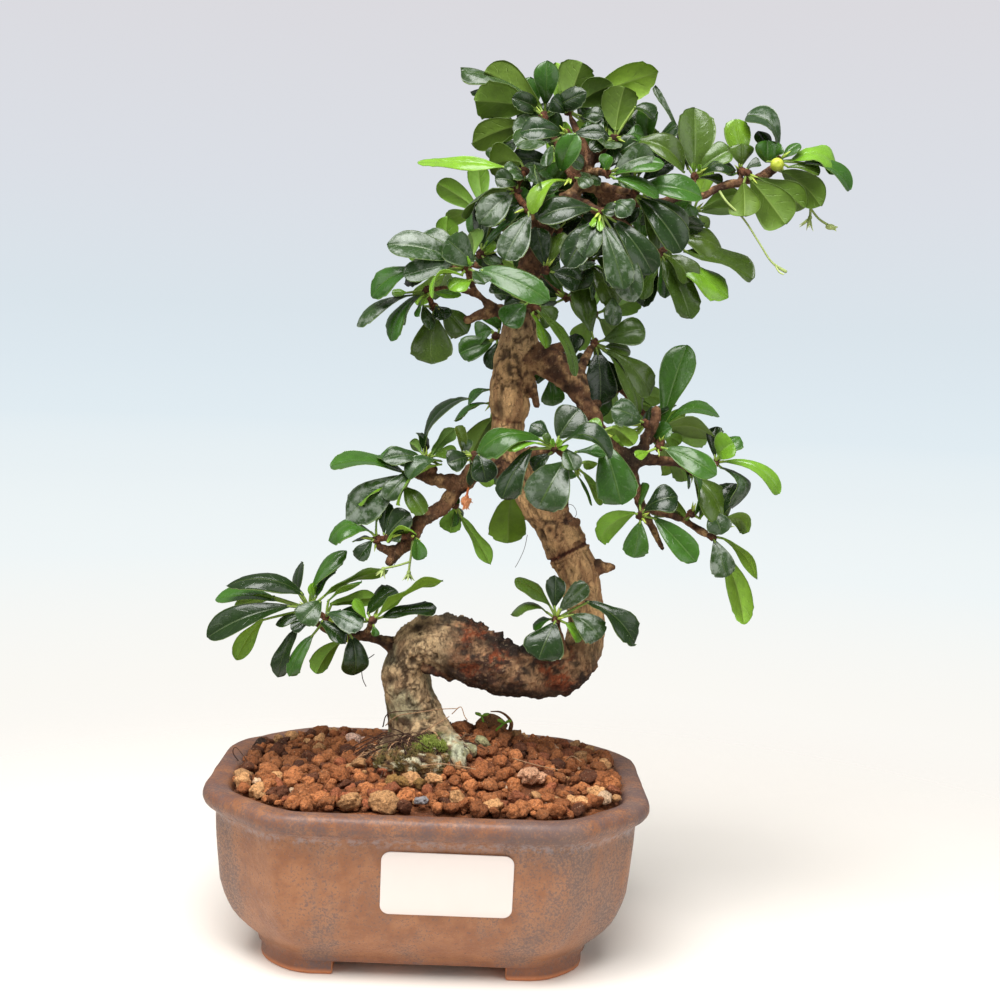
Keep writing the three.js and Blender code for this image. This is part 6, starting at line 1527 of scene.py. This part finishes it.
def bent_blade(base, tip, normal, arch, t):
    """A blade's arched middle line, and the directions along it, across it and up from it."""
    centre = base + (tip - base) * t + normal * (4 * arch * t * (1 - t))
    along = unit(tip - base + normal * (4 * arch * (1 - 2 * t)))
    across = unit(np.cross(along, normal))
    return centre, along, across, np.cross(across, along)


def blade_sides(top, bottom):
    """A blade's points, and the faces of its upper side, its underside and the rim between them."""
    rows, columns = top.shape[:2]
    count = rows * columns
    faces = strip_faces(rows, columns, closed=False)
    rim = [r * columns for r in range(rows)] + [(rows - 1) * columns + c for c in range(1, columns)]
    rim += [r * columns + columns - 1 for r in range(rows - 2, -1, -1)] + list(range(columns - 2, 0, -1))
    wall = [[a, b, b + count, a + count] for a, b in zip(rim, rim[1:] + rim[:1])]
    points = np.concatenate([top.reshape(-1, 3), bottom.reshape(-1, 3)])
    return points, faces[:, ::-1], faces + count, wall


def add_blade(shape, leaf, random):
    """One leaf: a petiole and a blade that widens towards its toothed tip."""
    base = leaf.base
    length = np.linalg.norm(leaf.tip - base)
    axis = (leaf.tip - base) / length
    normal = unit(leaf.normal - axis * (leaf.normal @ axis))
    # The underside's colour holds painted light shining through the leaf, and the dust a painted sheen
    upper, lower, dust = GREENS[leaf.tint]
    t = BLADE_ROWS[:, None]
    u = BLADE_COLUMNS[None, :]
    fullness = random.uniform(0.62, 1.0)
    blunt = random.uniform(3.2, 5.5)
    profile = (t + 0.012) ** fullness * np.maximum(1 - t**blunt, 0) ** random.uniform(0.48, 0.85)
    profile = profile / profile.max()
    teeth = np.zeros((len(BLADE_ROWS), 2))
    toothed = random.random() < 0.6
    for at, push in TEETH.items():
        teeth[at] = push * (random.uniform(0.02, 0.1, 2) if toothed else random.uniform(0, 0.02, 2))
    half = 0.5 * leaf.width * profile * (1 + np.where(u < 0, teeth[:, :1], teeth[:, 1:]))
    half = np.maximum(half, 0.42 * (t < 0.5))
    centre, along, across, above = bent_blade(base, leaf.tip, normal, leaf.arch, t)
    twist = random.normal(0, 0.16) * (t - 0.4)
    across, above = (
        across * np.cos(twist) + above * np.sin(twist),
        above * np.cos(twist) - across * np.sin(twist),
    )
    fold = random.uniform(0.1, 0.62)
    curl = random.uniform(0.12, 0.55)
    phase = t * random.uniform(0.8, 1.7) + random.random()
    wave = 0.05 * length * np.sin(2 * math.pi * phase) * random.uniform(0.2, 1)
    cushion = 0.03 * np.sin(2 * math.pi * ((t - 0.2 * abs(u)) * 6)) * smooth(0.1, 0.4, abs(u)) * (1 - abs(u))
    rib = np.exp(-((u / 0.06) ** 2))
    lift = half * (fold * abs(u) - curl * u**2) + wave * u * abs(u) + cushion - 0.1 * rib
    lift = lift * smooth(-0.05, 0.3, t)
    top = centre[:, None] + across[:, None] * (u * half)[..., None] + above[:, None] * lift[..., None]
    keel = 0.24 * np.exp(-((u / 0.09) ** 2)) * (1 - 0.8 * t)
    thick = BLADE_THICKNESS * (1 - 0.45 * u**2) * (1 - 0.3 * t) + keel
    own = random.uniform(-1, 1)
    warm = random.normal(0, 0.05)
    tone = np.array([1 + 0.9 * warm, 1, 1 - 1.2 * warm]) * (1 + 0.14 * own)
    one = np.ones_like(half)
    shape.add(
        *blade_sides(top, top - above[:, None] * thick[..., None]),
        blade=np.repeat([upper * tone, lower * tone], one.size, axis=0),
        along=np.tile((t * one).ravel(), 2), across=np.tile((u * one).ravel(), 2),
        under=np.repeat([0.0, 1.0], one.size), dust=dust * random.uniform(0.5, 1), own=own,
    )
    add_petiole(shape, leaf, axis, base + along[0] * 0.05 * length, above[0], lower * tone, own)


def add_petiole(shape, leaf, axis, reach, above, green, own):
    """The bent stalk from a leaf's place on the stem to a point just inside its blade."""
    stretch = leaf.base - leaf.root
    start_way = unit(stretch) if np.linalg.norm(stretch) > 0.2 else axis
    bend = leaf.root + start_way * np.linalg.norm(reach - leaf.root) * 0.55
    s = np.linspace(0, 1, 6)[:, None]
    way = leaf.root * (1 - s) ** 2 + 2 * bend * s * (1 - s) + (reach - above * 0.15) * s * s
    shape.add(
        *tube(way, np.linspace(0.52, 0.4, 6), 6),
        blade=blend(green, linear(150, 170, 80), 0.5), along=0.02, across=0.4, under=1.0, dust=0.0, own=own,
    )


# Whorls deep inside the crown, seen only between the leaves in front of them
INNER_WHORLS = [
    [22, 10, 276], [36, 13, 268], [51, 11, 277], [62, 13, 262], [28, 12, 255], [44, 15, 252], [58, 16, 245],
    [18, 9, 246], [32, 15, 238], [48, 16, 236], [65, 15, 238], [22, 11, 229], [40, 15, 223], [56, 14, 226],
    [12, 8, 234], [71, 12, 251], [36, 4, 246], [47, 4, 264], [30, 4, 284], [66, 10, 272],
]
INNER_LEAVES = 4


def make_leaves():
    """A piece for each leafy shoot, and one piece with the spurs and buds that carry the leaves."""
    finish = leaf_finish()
    spurs = Shape()
    buds = Shape()
    random = np.random.default_rng(400)
    shoots = [[name, stem, [placed_leaf(row, stem) for row in rows]] for name, _, stem, rows in SHOOTS]
    for i, (name, _, stem) in enumerate(BACK_SHOOTS):
        whorls = [whorl(centre, 500 + 10 * i + j) for j, centre in enumerate(stem)]
        shoots.append([name, stem, sum(whorls, [])])
    for name, stem, leaves in shoots:
        shape = Shape()
        for leaf in leaves:
            add_blade(shape, leaf, random)
        shape.piece("leaves_" + name, finish, "leaf", ["shoot_" + name])
        add_spurs(spurs, buds, stem, leaves, random)
    inner = Shape()
    for number, centre in enumerate(INNER_WHORLS):
        facing = unit([random.normal(0, 0.5), -1, random.normal(0.3, 0.4)])
        leaves = whorl(centre, 700 + number, facing)[:INNER_LEAVES]
        for leaf in leaves:
            add_blade(inner, leaf, random)
        add_spurs(spurs, buds, [centre], leaves, random)
    inner.piece("leaves_inner", finish, "leaf")
    spurs.piece("leaf_spurs", wood_finish(), "bark")
    buds.piece("leaf_buds", green_finish("bud", (120, 150, 40), (188, 206, 90)), "green_stem")


def add_spurs(spurs, buds, stem, leaves, random):
    """The short knobbly shoots between and under the leaves, with two buds on each knob."""
    if len(stem) > 1:
        places, _, _ = run([[*point, 1] for point in stem], 0.8)
        points, *faces = tube(places, 1.0, 10)
        points = points + 0.22 * rough(points, 1.5, 2, 81)[:, None]
        # A little painted shade over the whole spur
        spurs.add(points, *faces, bark=BARK["reddish"] * random.uniform(0.8, 1.2), hollow=0.2)
    directions, ball_faces = ball(3)
    for point in stem:
        centre = spot(*point)
        bumps = rough(directions * 2 + centre, 1.1, 3, 82)
        knob = directions * (1.55 + 0.5 * bumps)[:, None] + centre
        tone = painted(BARK["reddish"], ("dark", np.clip(0.5 + 0.6 * rough(knob, 1.4, 2, 83), 0, 1)))
        # Painted shade in the knob's hollows
        spurs.add(knob, ball_faces, bark=tone, hollow=np.clip(-bumps, 0, 1))
        near = [leaf for leaf in leaves if np.linalg.norm(leaf.root - centre) < 0.5]
        heading = unit(sum((unit(leaf.tip - leaf.root) for leaf in near), np.zeros(3)) + [0, -0.3, 0.5])
        for _ in range(2):
            way = unit(heading + random.normal(0, 0.42, 3))
            add_bud(buds, centre + way * 1.2, way, random.uniform(1.6, 3.4), random)


def add_bud(buds, start, way, length, random):
    """A folded young leaf, broadest below its middle."""
    side = unit(np.cross(way, random.normal(size=3)))
    bent = unit(way + 0.3 * side)
    s = np.linspace(0, 1, 6)[:, None]
    places = start + way * length * s + bent * length * 0.4 * s * s
    points, *faces = tube(places, np.array([0.34, 0.52, 0.55, 0.42, 0.26, 0.08]) * length / 3, 6)
    buds.add(points, *faces, tip=np.clip(((points - start) @ way) / length, 0, 1))


# Small pieces


def add_star(shape, centre, down, reach, random):
    """A cup of five narrow sepals round a pale middle."""
    down = unit(down)
    side = unit(np.cross(down, [0.2, 1, 0.1]))
    other = np.cross(down, side)
    s = np.linspace(0, 1, 7)[:, None]
    for i in range(5):
        turn = 2 * math.pi * (i + random.uniform(-0.15, 0.15)) / 5
        out = side * math.cos(turn) + other * math.sin(turn)
        way = unit(down + out * random.uniform(0.3, 0.55))
        places = centre + way * reach * s + out * 0.25 * reach * s * s
        points, *faces = tube(places, [0.3, 0.42, 0.46, 0.4, 0.3, 0.18, 0.06], 8)
        shape.add(points, *faces, tip=np.clip(((points - centre) @ way) / reach, 0, 1))
    points, faces = ball(3)
    shape.add(points * [0.75, 0.75, 0.85] + centre, faces, tip=0.2)


def make_flower_cups(stem, random):
    """The spent flowers' cups on their thin stalks, at the right and at the lower left."""
    right = Shape()
    add_limb(right, [[108.5, 0, 269.8, 0.6], [112, 7, 268.5, 0.45], [118, 9, 266, 0.42], [121, 9, 262, 0.42],
                     [121.9, 9, 256, 0.42], [121.9, 9, 254, 0.5]], tip=0.3)
    add_limb(right, [[121.8, 9, 257, 0.42], [125, 9, 253.5, 0.42], [128.6, 9, 251.4, 0.5]], tip=0.3)
    add_star(right, spot(121.9, 9, 253.8), [-0.3, 0, -1], 4.4, random)
    berry, faces = ball(3)
    right.add(berry * [1.7, 1.2, 1.05] + spot(129, 9, 251), faces, tip=0.7)
    add_star(right, spot(130, 9, 250.8), [1, 0, -0.2], 1.5, random)
    right.piece("flower_cup_right", stem, "green_stem", ["calyx_right"])

    left = Shape()
    add_limb(left, [[-9, -12, 139, 0.5], [-9.3, -12.5, 134, 0.4], [-9.9, -13, 128, 0.4],
                    [-10, -13, 126, 0.5]], tip=0.3)
    add_limb(left, [[-9.8, -13, 130, 0.4], [-14, -13, 128.5, 0.36], [-18.4, -13, 127.4, 0.4]], tip=0.3)
    add_star(left, spot(-10, -13, 126.2), [0, 0, -1], 3, random)
    add_star(left, spot(-18.9, -13, 127), [-0.4, 0, -1], 3, random)
    left.piece("flower_cup_left", stem, "green_stem", ["calyx_left"])


def make_bare_stalk(stem):
    """A long stalk that has lost its flower."""
    stalk = Shape()
    add_limb(stalk, [[90, -1, 262, 0.5], [93, -3.5, 258, 0.42], [99.2, -4, 252.4, 0.36],
                     [105, -4, 244.6, 0.33], [109.5, -4, 238.5, 0.36], [112.4, -4, 236.4, 0.55],
                     [114.6, -4, 235.3, 0.62]], tip=0.5)
    add_limb(stalk, [[111, -4, 237.2, 0.34], [112.6, -4.6, 234.9, 0.3], [114, -5, 234.3, 0.25]],
             step=0.6, tip=0.9)
    stalk.piece("bare_flower_stalk", stem, "green_stem", ["bare_stalk"])


def make_dead_flower(random):
    """The withered flower: a crumpled ball that hangs in two cups."""
    dead = Shape()
    add_limb(dead, [[9.6, -6, 160, 0.5], [9.3, -8, 156, 0.38], [8.9, -9, 153.2, 0.42]], tip=0.0)
    add_star(dead, spot(9, -9, 153.4), [0.2, 0, -1], 2.6, random)
    directions, faces = ball(4)
    crumple = rough(directions + 5, 0.55, 3, 91)
    dead.add(directions * (1.5 + 0.55 * crumple)[:, None] * [1, 0.9, 1.15] + spot(8.7, -9, 151.6), faces,
             tip=np.clip(0.6 + 0.4 * crumple, 0, 1))
    add_star(dead, spot(8.6, -9, 151), [0.1, -0.2, -1], 2.2, random)
    finish = green_finish("withered", (206, 112, 66), (226, 158, 112), 0.7)
    dead.piece("dead_flower", finish, "withered", ["withered_flower"])


def make_fruit():
    """The round berry with a dimple at its front."""
    fruit = Shape()
    directions, faces = ball(4)
    dimple = 0.06 * rough(directions, 0.5, 2, 92) - 0.22 * np.exp(-((1 + directions[:, 1]) / 0.05) ** 2)
    # The berry is paler on top and darker below: painted light and shade
    fruit.add(directions * (2.3 + dimple)[:, None] + spot(109.6, -4.6, 271), faces,
              tip=np.clip(0.5 + 0.5 * directions[:, 2], 0, 1))
    add_limb(fruit, [[108.3, 0, 269.6, 0.6], [109, -1.6, 270.3, 0.55], [109.4, -3, 270.8, 0.5]],
             step=0.6, tip=0.2)
    fruit.piece("fruit_berry", green_finish("berry", (150, 164, 44), (188, 196, 70), 0.3), "fruit", ["fruit"])


def make_small_green():
    """Fruit, dead flower, spent flower cups and the long bare stalk."""
    random = np.random.default_rng(9)
    stem = green_finish("green_stem", (128, 150, 72), (190, 204, 130))
    make_flower_cups(stem, random)
    make_bare_stalk(stem)
    make_dead_flower(random)
    make_fruit()


def add_leaflet(shape, root, base, end, normal, width, arch, random, **marks):
    """A small thin blade of its own, for the seedling and the fallen leaf."""
    length = np.linalg.norm(end - base)
    t = np.linspace(0, 1, 15)[:, None]
    u = np.linspace(-1, 1, 11)[None, :]
    half = 0.5 * width * np.maximum(np.sin(math.pi * np.minimum(t * 0.96 + 0.03, 1)) ** 0.7, 0.04)
    centre, along, across, above = bent_blade(base, end, normal, arch, t)
    wave = 0.03 * length * np.sin(5 * t + random.uniform(0, 6))
    lift = half * (0.3 * abs(u) - 0.4 * u * u) + wave * u * abs(u)
    top = centre[:, None] + across[:, None] * (u * half)[..., None] + above[:, None] * lift[..., None]
    shape.add(*blade_sides(top, top - above[:, None] * 0.25), **marks)
    s = np.linspace(0, 1, 5)[:, None]
    shape.add(*tube(root * (1 - s) + (base + along[0] * 0.5) * s, 0.3, 6), **marks)


# Moss mounds: centre, half sizes, how many tufts, the tufts' colours at the foot and the tip
MOSS = [
    [[-4, -15, 62.8], [14.5, 9.2, 6.4], 1500, linear(74, 58, 36), linear(132, 120, 64)],
    [[0.3, -15, 68.8], [6.3, 4.8, 3], 1500, linear(86, 98, 36), linear(172, 188, 86)],
]
MOSS_GROUND = [linear(54, 36, 26), linear(134, 104, 62), linear(206, 200, 168)]
# A tuft is three points at its foot, three at its middle and its tip
TUFT_FACES = [[[0, 1, 4, 3], [1, 2, 5, 4], [2, 0, 3, 5]], [[3, 4, 6], [4, 5, 6], [5, 3, 6]]]
TUFT_TIPS = [0, 0, 0, 0.6, 0.6, 0.6, 1]
DRY_LEAF = linear(134, 92, 58)


def add_moss(shape, random, centre, half, count, foot, tip):
    """A rough mound of moss with tufts standing on it."""
    directions, faces = ball(5)
    lumps = rough(directions * 3 + centre, 0.8, 4, 93)
    lumps = lumps + 0.6 * rough(directions * half + centre, 1.5, 3, 97)
    mound = directions * (1 + 0.13 * lumps)[:, None] * half + centre
    ground = blend(MOSS_GROUND[0], MOSS_GROUND[1], np.clip(0.5 + rough(mound, 1.5, 3, 95), 0, 1))
    ground = blend(ground, MOSS_GROUND[2], 0.85 * smooth(0.3, 0.6, rough(mound, 1.9, 3, 96)))
    shape.add(mound, faces, earth=ground)
    ways = unit(random.normal(size=(6 * count, 3)))
    ways = ways[(ways[:, 2] > -0.15) & (ways[:, 1] < 0.6)]
    roots = ways * half + centre
    grown = rough(roots, 3.2, 3, 94) > (0.1 if half[0] > 10 else -0.3)
    for way, root in zip(ways[grown][:count], roots[grown][:count]):
        lean = unit(way + [0, 0, 0.7] + random.normal(0, 0.4, 3))
        size = random.uniform(0.6, 1.7)
        side = unit(np.cross(lean, random.normal(size=3)))
        other = np.cross(lean, side)
        middle = root + lean * size * 0.6
        tuft = [root + side * 0.2, root - side * 0.1 + other * 0.18, root - side * 0.1 - other * 0.18]
        tuft += [middle + side * 0.1, middle - side * 0.06 + other * 0.1, middle - side * 0.06 - other * 0.1]
        own = random.uniform(0.7, 1.2)
        shape.add([*tuft, root + lean * size], *TUFT_FACES, earth=own * blend(foot, tip, TUFT_TIPS))


def make_seedling(random):
    """Two stems from one root, each with three leaflets."""
    seedling = Shape()
    for x, z, rows in (
        (17.4, 76.6, [[20, 7, 66, 0.55], [18.8, 7, 72, 0.4], [17.4, 7, 76.6, 0.36]]),
        (25.4, 74.4, [[20, 7, 66, 0.55], [22, 7, 71, 0.4], [25.4, 7, 74.4, 0.36]]),
    ):
        add_limb(seedling, rows, tip=0.3)
        root = spot(x, 7, z)
        for i in range(3):
            turn = 2 * math.pi * i / 3 + 0.4
            axis = unit([math.cos(turn), math.sin(turn), 0.35])
            normal = unit(np.array([0, 0, 1]) - axis * axis[2])
            green = random.uniform(0.4, 0.9)
            ends = root + axis * 0.6, root + axis * 3
            add_leaflet(seedling, root, *ends, normal, 2.5, 0.25, random, tip=green)
    finish = green_finish("seedling", (96, 148, 36), (150, 200, 60))
    seedling.piece("seedling_green", finish, "seedling", ["seedling"])


def make_fallen_leaf(random):
    """The dead leaf, curled over at its end, and a scrap of another by the rim."""
    fallen = Shape()
    places = np.array([[14, 12, 69], [15.5, 12, 70.6], [27, 13.5, 70]])
    add_leaflet(fallen, *places, unit([-0.1, -0.8, 0.6]), 8, 2.2, random, earth=DRY_LEAF)
    places = np.array([[-65, 20, 57.4], [-64.4, 20.5, 58.6], [-60.6, 22, 59.2]])
    add_leaflet(fallen, *places, unit([0.1, -0.8, 0.6]), 2.6, 1, random, earth=linear(56, 40, 32))
    add_limb(fallen, [[27.6, 13, 72, 0.8], [27.9, 12.5, 74.6, 0.7], [26.2, 12, 77, 0.5],
                      [23.6, 11, 78.4, 0.34], [20.6, 11, 78.4, 0.2]], earth=DRY_LEAF)
    fallen.piece("fallen_leaf_dry", earth_finish("dry_leaf", 1.2, 0.2), "dry_leaf", ["fallen_leaf"])


def make_ground_plants():
    """The seedling, the curled dead leaf and the moss at the trunk's foot."""
    random = np.random.default_rng(21)
    make_seedling(random)
    make_fallen_leaf(random)
    moss = Shape()
    for row in MOSS:
        add_moss(moss, random, *row)
    moss.piece("moss_cushion", earth_finish("moss", 0.7), "moss", ["moss"])


FIBRE_SHARE = 0.75
# Fine roots, straws and hairs, each tan or dark: [x, depth y, z, radius]
FIBRES = [
    ["tan", [[-16, -8, 72, 0.25], [-12, -13, 75.5, 0.25], [-5, -15, 77, 0.22], [3, -14, 78.5, 0.2],
             [9, -12, 79, 0.18]]],
    ["dark", [[-17, -9, 71.5, 0.3], [-15.5, -12, 76, 0.25], [-8, -13, 77.5, 0.2], [0, -13.5, 77.8, 0.2]]],
    ["tan", [[-3, -15, 70, 0.28], [1.5, -17, 73, 0.25], [6, -16, 76, 0.2]]],
    ["tan", [[-3, -35, 58, 0.3], [4, -36, 59, 0.28], [12, -38.5, 58.2, 0.26], [16, -40, 57.6, 0.22]]],
    ["tan", [[29, -26, 62, 0.22], [37, -31, 60, 0.2], [45, -37, 58.5, 0.18]]],
    ["dark", [[-26, -18, 63, 0.3], [-20, -16, 66.5, 0.3], [-13, -14, 68.5, 0.3], [-8, -12, 69.5, 0.25]]],
    ["dark", [[-30, -13, 62, 0.28], [-22, -13, 66.8, 0.28], [-14, -12, 69, 0.24]]],
    ["dark", [[-24, -22, 62.4, 0.25], [-17, -20, 65.4, 0.25], [-10, -18, 67.5, 0.22]]],
    ["dark", [[-20, -10, 67, 0.3], [-16, -14, 69.5, 0.25], [-11, -17, 68, 0.25], [-8, -21, 65.4, 0.2]]],
    ["dark", [[-14, -11, 71, 0.3], [-11, -16, 70, 0.28], [-5, -19, 67, 0.25], [-1, -22, 64.5, 0.2]]],
    ["dark", [[10, -14, 66, 0.25], [13, -18, 65, 0.22], [15, -23, 62, 0.2]]],
    ["dark", [[7, -13, 68, 0.25], [12, -16, 67.8, 0.22], [19, -19, 64.8, 0.2]]],
    ["dark", [[-66, 6, 56, 0.22], [-69, 2, 60, 0.2], [-68, -3, 62, 0.18], [-64, -6, 57.5, 0.18]]],
    ["dark", [[-21, 4, 97, 0.22], [-25, -4, 93, 0.2], [-24.6, -5, 88, 0.2], [-23.4, -5, 85.6, 0.2]]],
    ["dark", [[30.5, 1, 141, 0.14], [29.6, -5, 136, 0.12], [27.6, -7, 131, 0.12], [26.8, -7, 129.6, 0.12]]],
    ["dark", [[42.4, -2, 152.5, 0.14], [46, -6, 151.8, 0.12], [47.2, -7, 149, 0.12], [45, -7, 146.4, 0.12],
              [41.5, -4, 145.8, 0.12]]],
    ["dark", [[-11.5, -10, 137, 0.14], [-12.6, -12, 133, 0.12], [-15, -12.6, 129, 0.12],
              [-15.6, -12.6, 127.6, 0.12]]],
    ["dark", [[10, -6.5, 108, 0.2], [12.4, -8, 110, 0.16], [14.4, -8, 109.2, 0.14]]],
    ["tan", [[7, -13, 77, 0.22], [10, -15, 79.6, 0.2], [11.4, -15.4, 76.4, 0.2], [12.4, -15.4, 75, 0.24]]],
    ["tan", [[47.7, -2, 62, 0.3], [50, -6, 63.6, 0.26], [53, -8, 61.8, 0.2]]],
]
LOOSE_FIBRES = 380


def loose_fibre(random):
    """The places along a short fine root that lies over the soil round the trunk's foot."""
    turn = random.uniform(math.pi * 0.7, math.pi * 1.95)
    x = -4 + random.uniform(6, 17) * math.cos(turn)
    start = np.array([x, -6 + random.uniform(5, 13) * math.sin(turn), 0])
    way = unit([math.cos(turn) + random.normal(0, 0.9), math.sin(turn) + random.normal(0, 0.9), 0])
    bend = np.array([-way[1], way[0], 0]) * random.normal(0, 0.5)
    reach = random.uniform(2, 9)
    arch = random.uniform(0.2, 2.2)
    places = []
    for s in np.linspace(0, 1, 7):
        at = start + way * reach * s + bend * reach * s * s + random.normal(0, 0.16, 3)
        mound = 7.5 * (1 - ((at[0] + 4) / 16) ** 2 - ((at[1] + 15) / 10.5) ** 2)
        at[2] = soil_top(at[0], at[1]) + max(mound - 2, 0) + 0.7 + arch * math.sin(math.pi * s)
        places.append(at)
    return np.array(places)


def make_fibres():
    """Fine roots round the trunk's foot, straws on the soil and a few hairs of root on the wood."""
    random = np.random.default_rng(33)
    tones = {"tan": linear(168, 132, 98), "dark": linear(66, 44, 34)}
    shape = Shape()
    for tone, rows in FIBRES:
        thin = [[x, y, z, FIBRE_SHARE * radius] for x, y, z, radius in rows]
        add_limb(shape, thin, 6, 0.8, earth=tones[tone])
    for number in range(LOOSE_FIBRES):
        places = loose_fibre(random)
        tone = tones["tan" if number % 4 == 0 else "dark"] * random.uniform(0.6, 1.8)
        shape.add(*tube(places, random.uniform(0.08, 0.2), 4), earth=tone)
    shape.piece("fine_roots", earth_finish("fine_root", 0.6), "bark")


# Camera, light and floor


def look_from_photograph():
    """The camera, at the photograph's viewpoint."""
    heading, pitch, roll = (math.radians(v) for v in (EYE_HEADING, EYE_PITCH, EYE_ROLL))
    level = Vector((math.cos(heading), -math.sin(heading), 0))
    ahead = Vector((math.sin(heading), math.cos(heading), 0))
    forward = ahead * math.cos(pitch) - Vector((0, 0, math.sin(pitch)))
    upright = level.cross(forward)
    right = level * math.cos(roll) + upright * math.sin(roll)
    up = upright * math.cos(roll) - level * math.sin(roll)
    data = bpy.data.cameras.new("camera")
    data.lens = LENS
    data.sensor_width = SENSOR
    data.clip_start = 0.01
    camera = in_scene("camera", data)
    turned = Matrix((right, up, -forward)).transposed().to_4x4()
    camera.matrix_world = Matrix.Translation(Vector(ORIGIN + MM * EYE)) @ turned
    bpy.context.scene.camera = camera


WORLD_LIGHT = 0.3


def add_light(name, place, aim, size, power, colour):
    data = bpy.data.lights.new(name, "AREA")
    data.shape = "RECTANGLE"
    data.size, data.size_y = size
    data.energy = power
    data.color = colour
    lamp = in_scene(name, data)
    lamp.location = place
    lamp.rotation_euler = (Vector(aim) - Vector(place)).to_track_quat("-Z", "Y").to_euler()


def light_the_studio():
    add_light("softbox_above", (-0.12, -0.42, 0.95), (0, 0, 0.15), (0.8, 0.6), 16.0, (1, 0.995, 0.985))
    add_light("softbox_left", (-0.85, -0.5, 0.5), (0, 0, 0.15), (0.8, 0.8), 3.2, (1, 0.99, 0.97))
    add_light("softbox_right", (0.8, -0.7, 0.4), (0, 0, 0.12), (0.8, 0.8), 3.0, (1, 1, 1))
    world = bpy.data.worlds.new("studio")
    bpy.context.scene.world = world
    world.use_nodes = True
    back = world.node_tree.nodes["Background"]
    back.inputs["Color"].default_value = (1, 0.995, 0.985, 1)
    back.inputs["Strength"].default_value = WORLD_LIGHT
    bpy.context.scene.view_settings.view_transform = "Standard"


# Colours of the pale backdrop: how far out or how high in metres, and the colour as seen
BACKDROP = [
    [0.3, 0, linear(253, 250, 245)], [0.45, 0, linear(251, 249, 244)], [1.05, 0, linear(240, 246, 247)],
    [2.2, 0, linear(233, 241, 244)], [5, 0, linear(225, 236, 242)], [6, 0.2, linear(221, 232, 239)],
    [6, 0.45, linear(218, 228, 235)], [6, 1.0, linear(219, 223, 230)], [6, 1.8, linear(219, 218, 223)],
    [4, 4.5, linear(216, 215, 220)], [0.01, 6, linear(214, 213, 218)],
]
DISC = 96
FLOOR_RINGS = [0.001, 0.1, 0.2, 0.3, 0.4, 0.5]
# How far from the pot, in millimetres, the floor starts to fade and is gone
FLOOR_FADE = [130, 420]


def make_backdrop():
    """A white floor that fades into a plain backdrop, which is only there to be looked at."""
    rings = [level_ring(circle(reach, DISC), z - 0.001) for reach, z, _ in BACKDROP]
    mesh = plain_mesh("backdrop", np.concatenate(rings), strip_faces(len(rings), DISC), [range(DISC)])
    write_marks(mesh, {"tone": np.repeat([colour for _, _, colour in BACKDROP], DISC, axis=0)})
    f = Finish("backdrop", Base_Color=(0, 0, 0, 1), Specular_IOR_Level=0.0, Emission_Strength=1.0)
    mesh.materials.append(f.done(Emission_Color=f.paint("tone")))
    backdrop = stand_in_scene("backdrop", mesh)
    for kind in ("diffuse", "glossy", "transmission", "shadow", "volume_scatter"):
        setattr(backdrop, "visible_" + kind, False)

    rings = [level_ring(circle(reach, DISC), 0) for reach in FLOOR_RINGS]
    mesh = plain_mesh("floor", np.concatenate(rings), strip_faces(len(rings), DISC), [range(DISC)])
    f = Finish("floor_paper", Specular_IOR_Level=0.2)
    tone = f.noise(180, 2)
    far = f.node("ShaderNodeVectorMath", {"operation": "LENGTH"}, {0: f.place()}, "Value")
    colour = f.coats(linear(240, 234, 226), (tone, (244, 239, 232)))
    shown = 1 - f.step(far, *FLOOR_FADE)
    mesh.materials.append(f.done(Base_Color=colour, Roughness=0.8 + tone * 0.1, Alpha=shown))
    stand_in_scene("floor", mesh)


def stand_in_scene(name, mesh):
    """Puts a piece of staging for the picture into the scene."""
    made = in_scene(name, mesh)
    return made


# The whole tree

look_from_photograph()
light_the_studio()
make_backdrop()
make_pot()
make_tag()
make_soil_bed()
make_crumbs()
make_chips()
make_wood()
make_leaves()
make_small_green()
make_ground_plants()
make_fibres()
net = net_finish()
for name in ("drain_net_left", "drain_net_right"):
    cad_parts[name].data.materials.clear()
    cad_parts[name].data.materials.append(net)
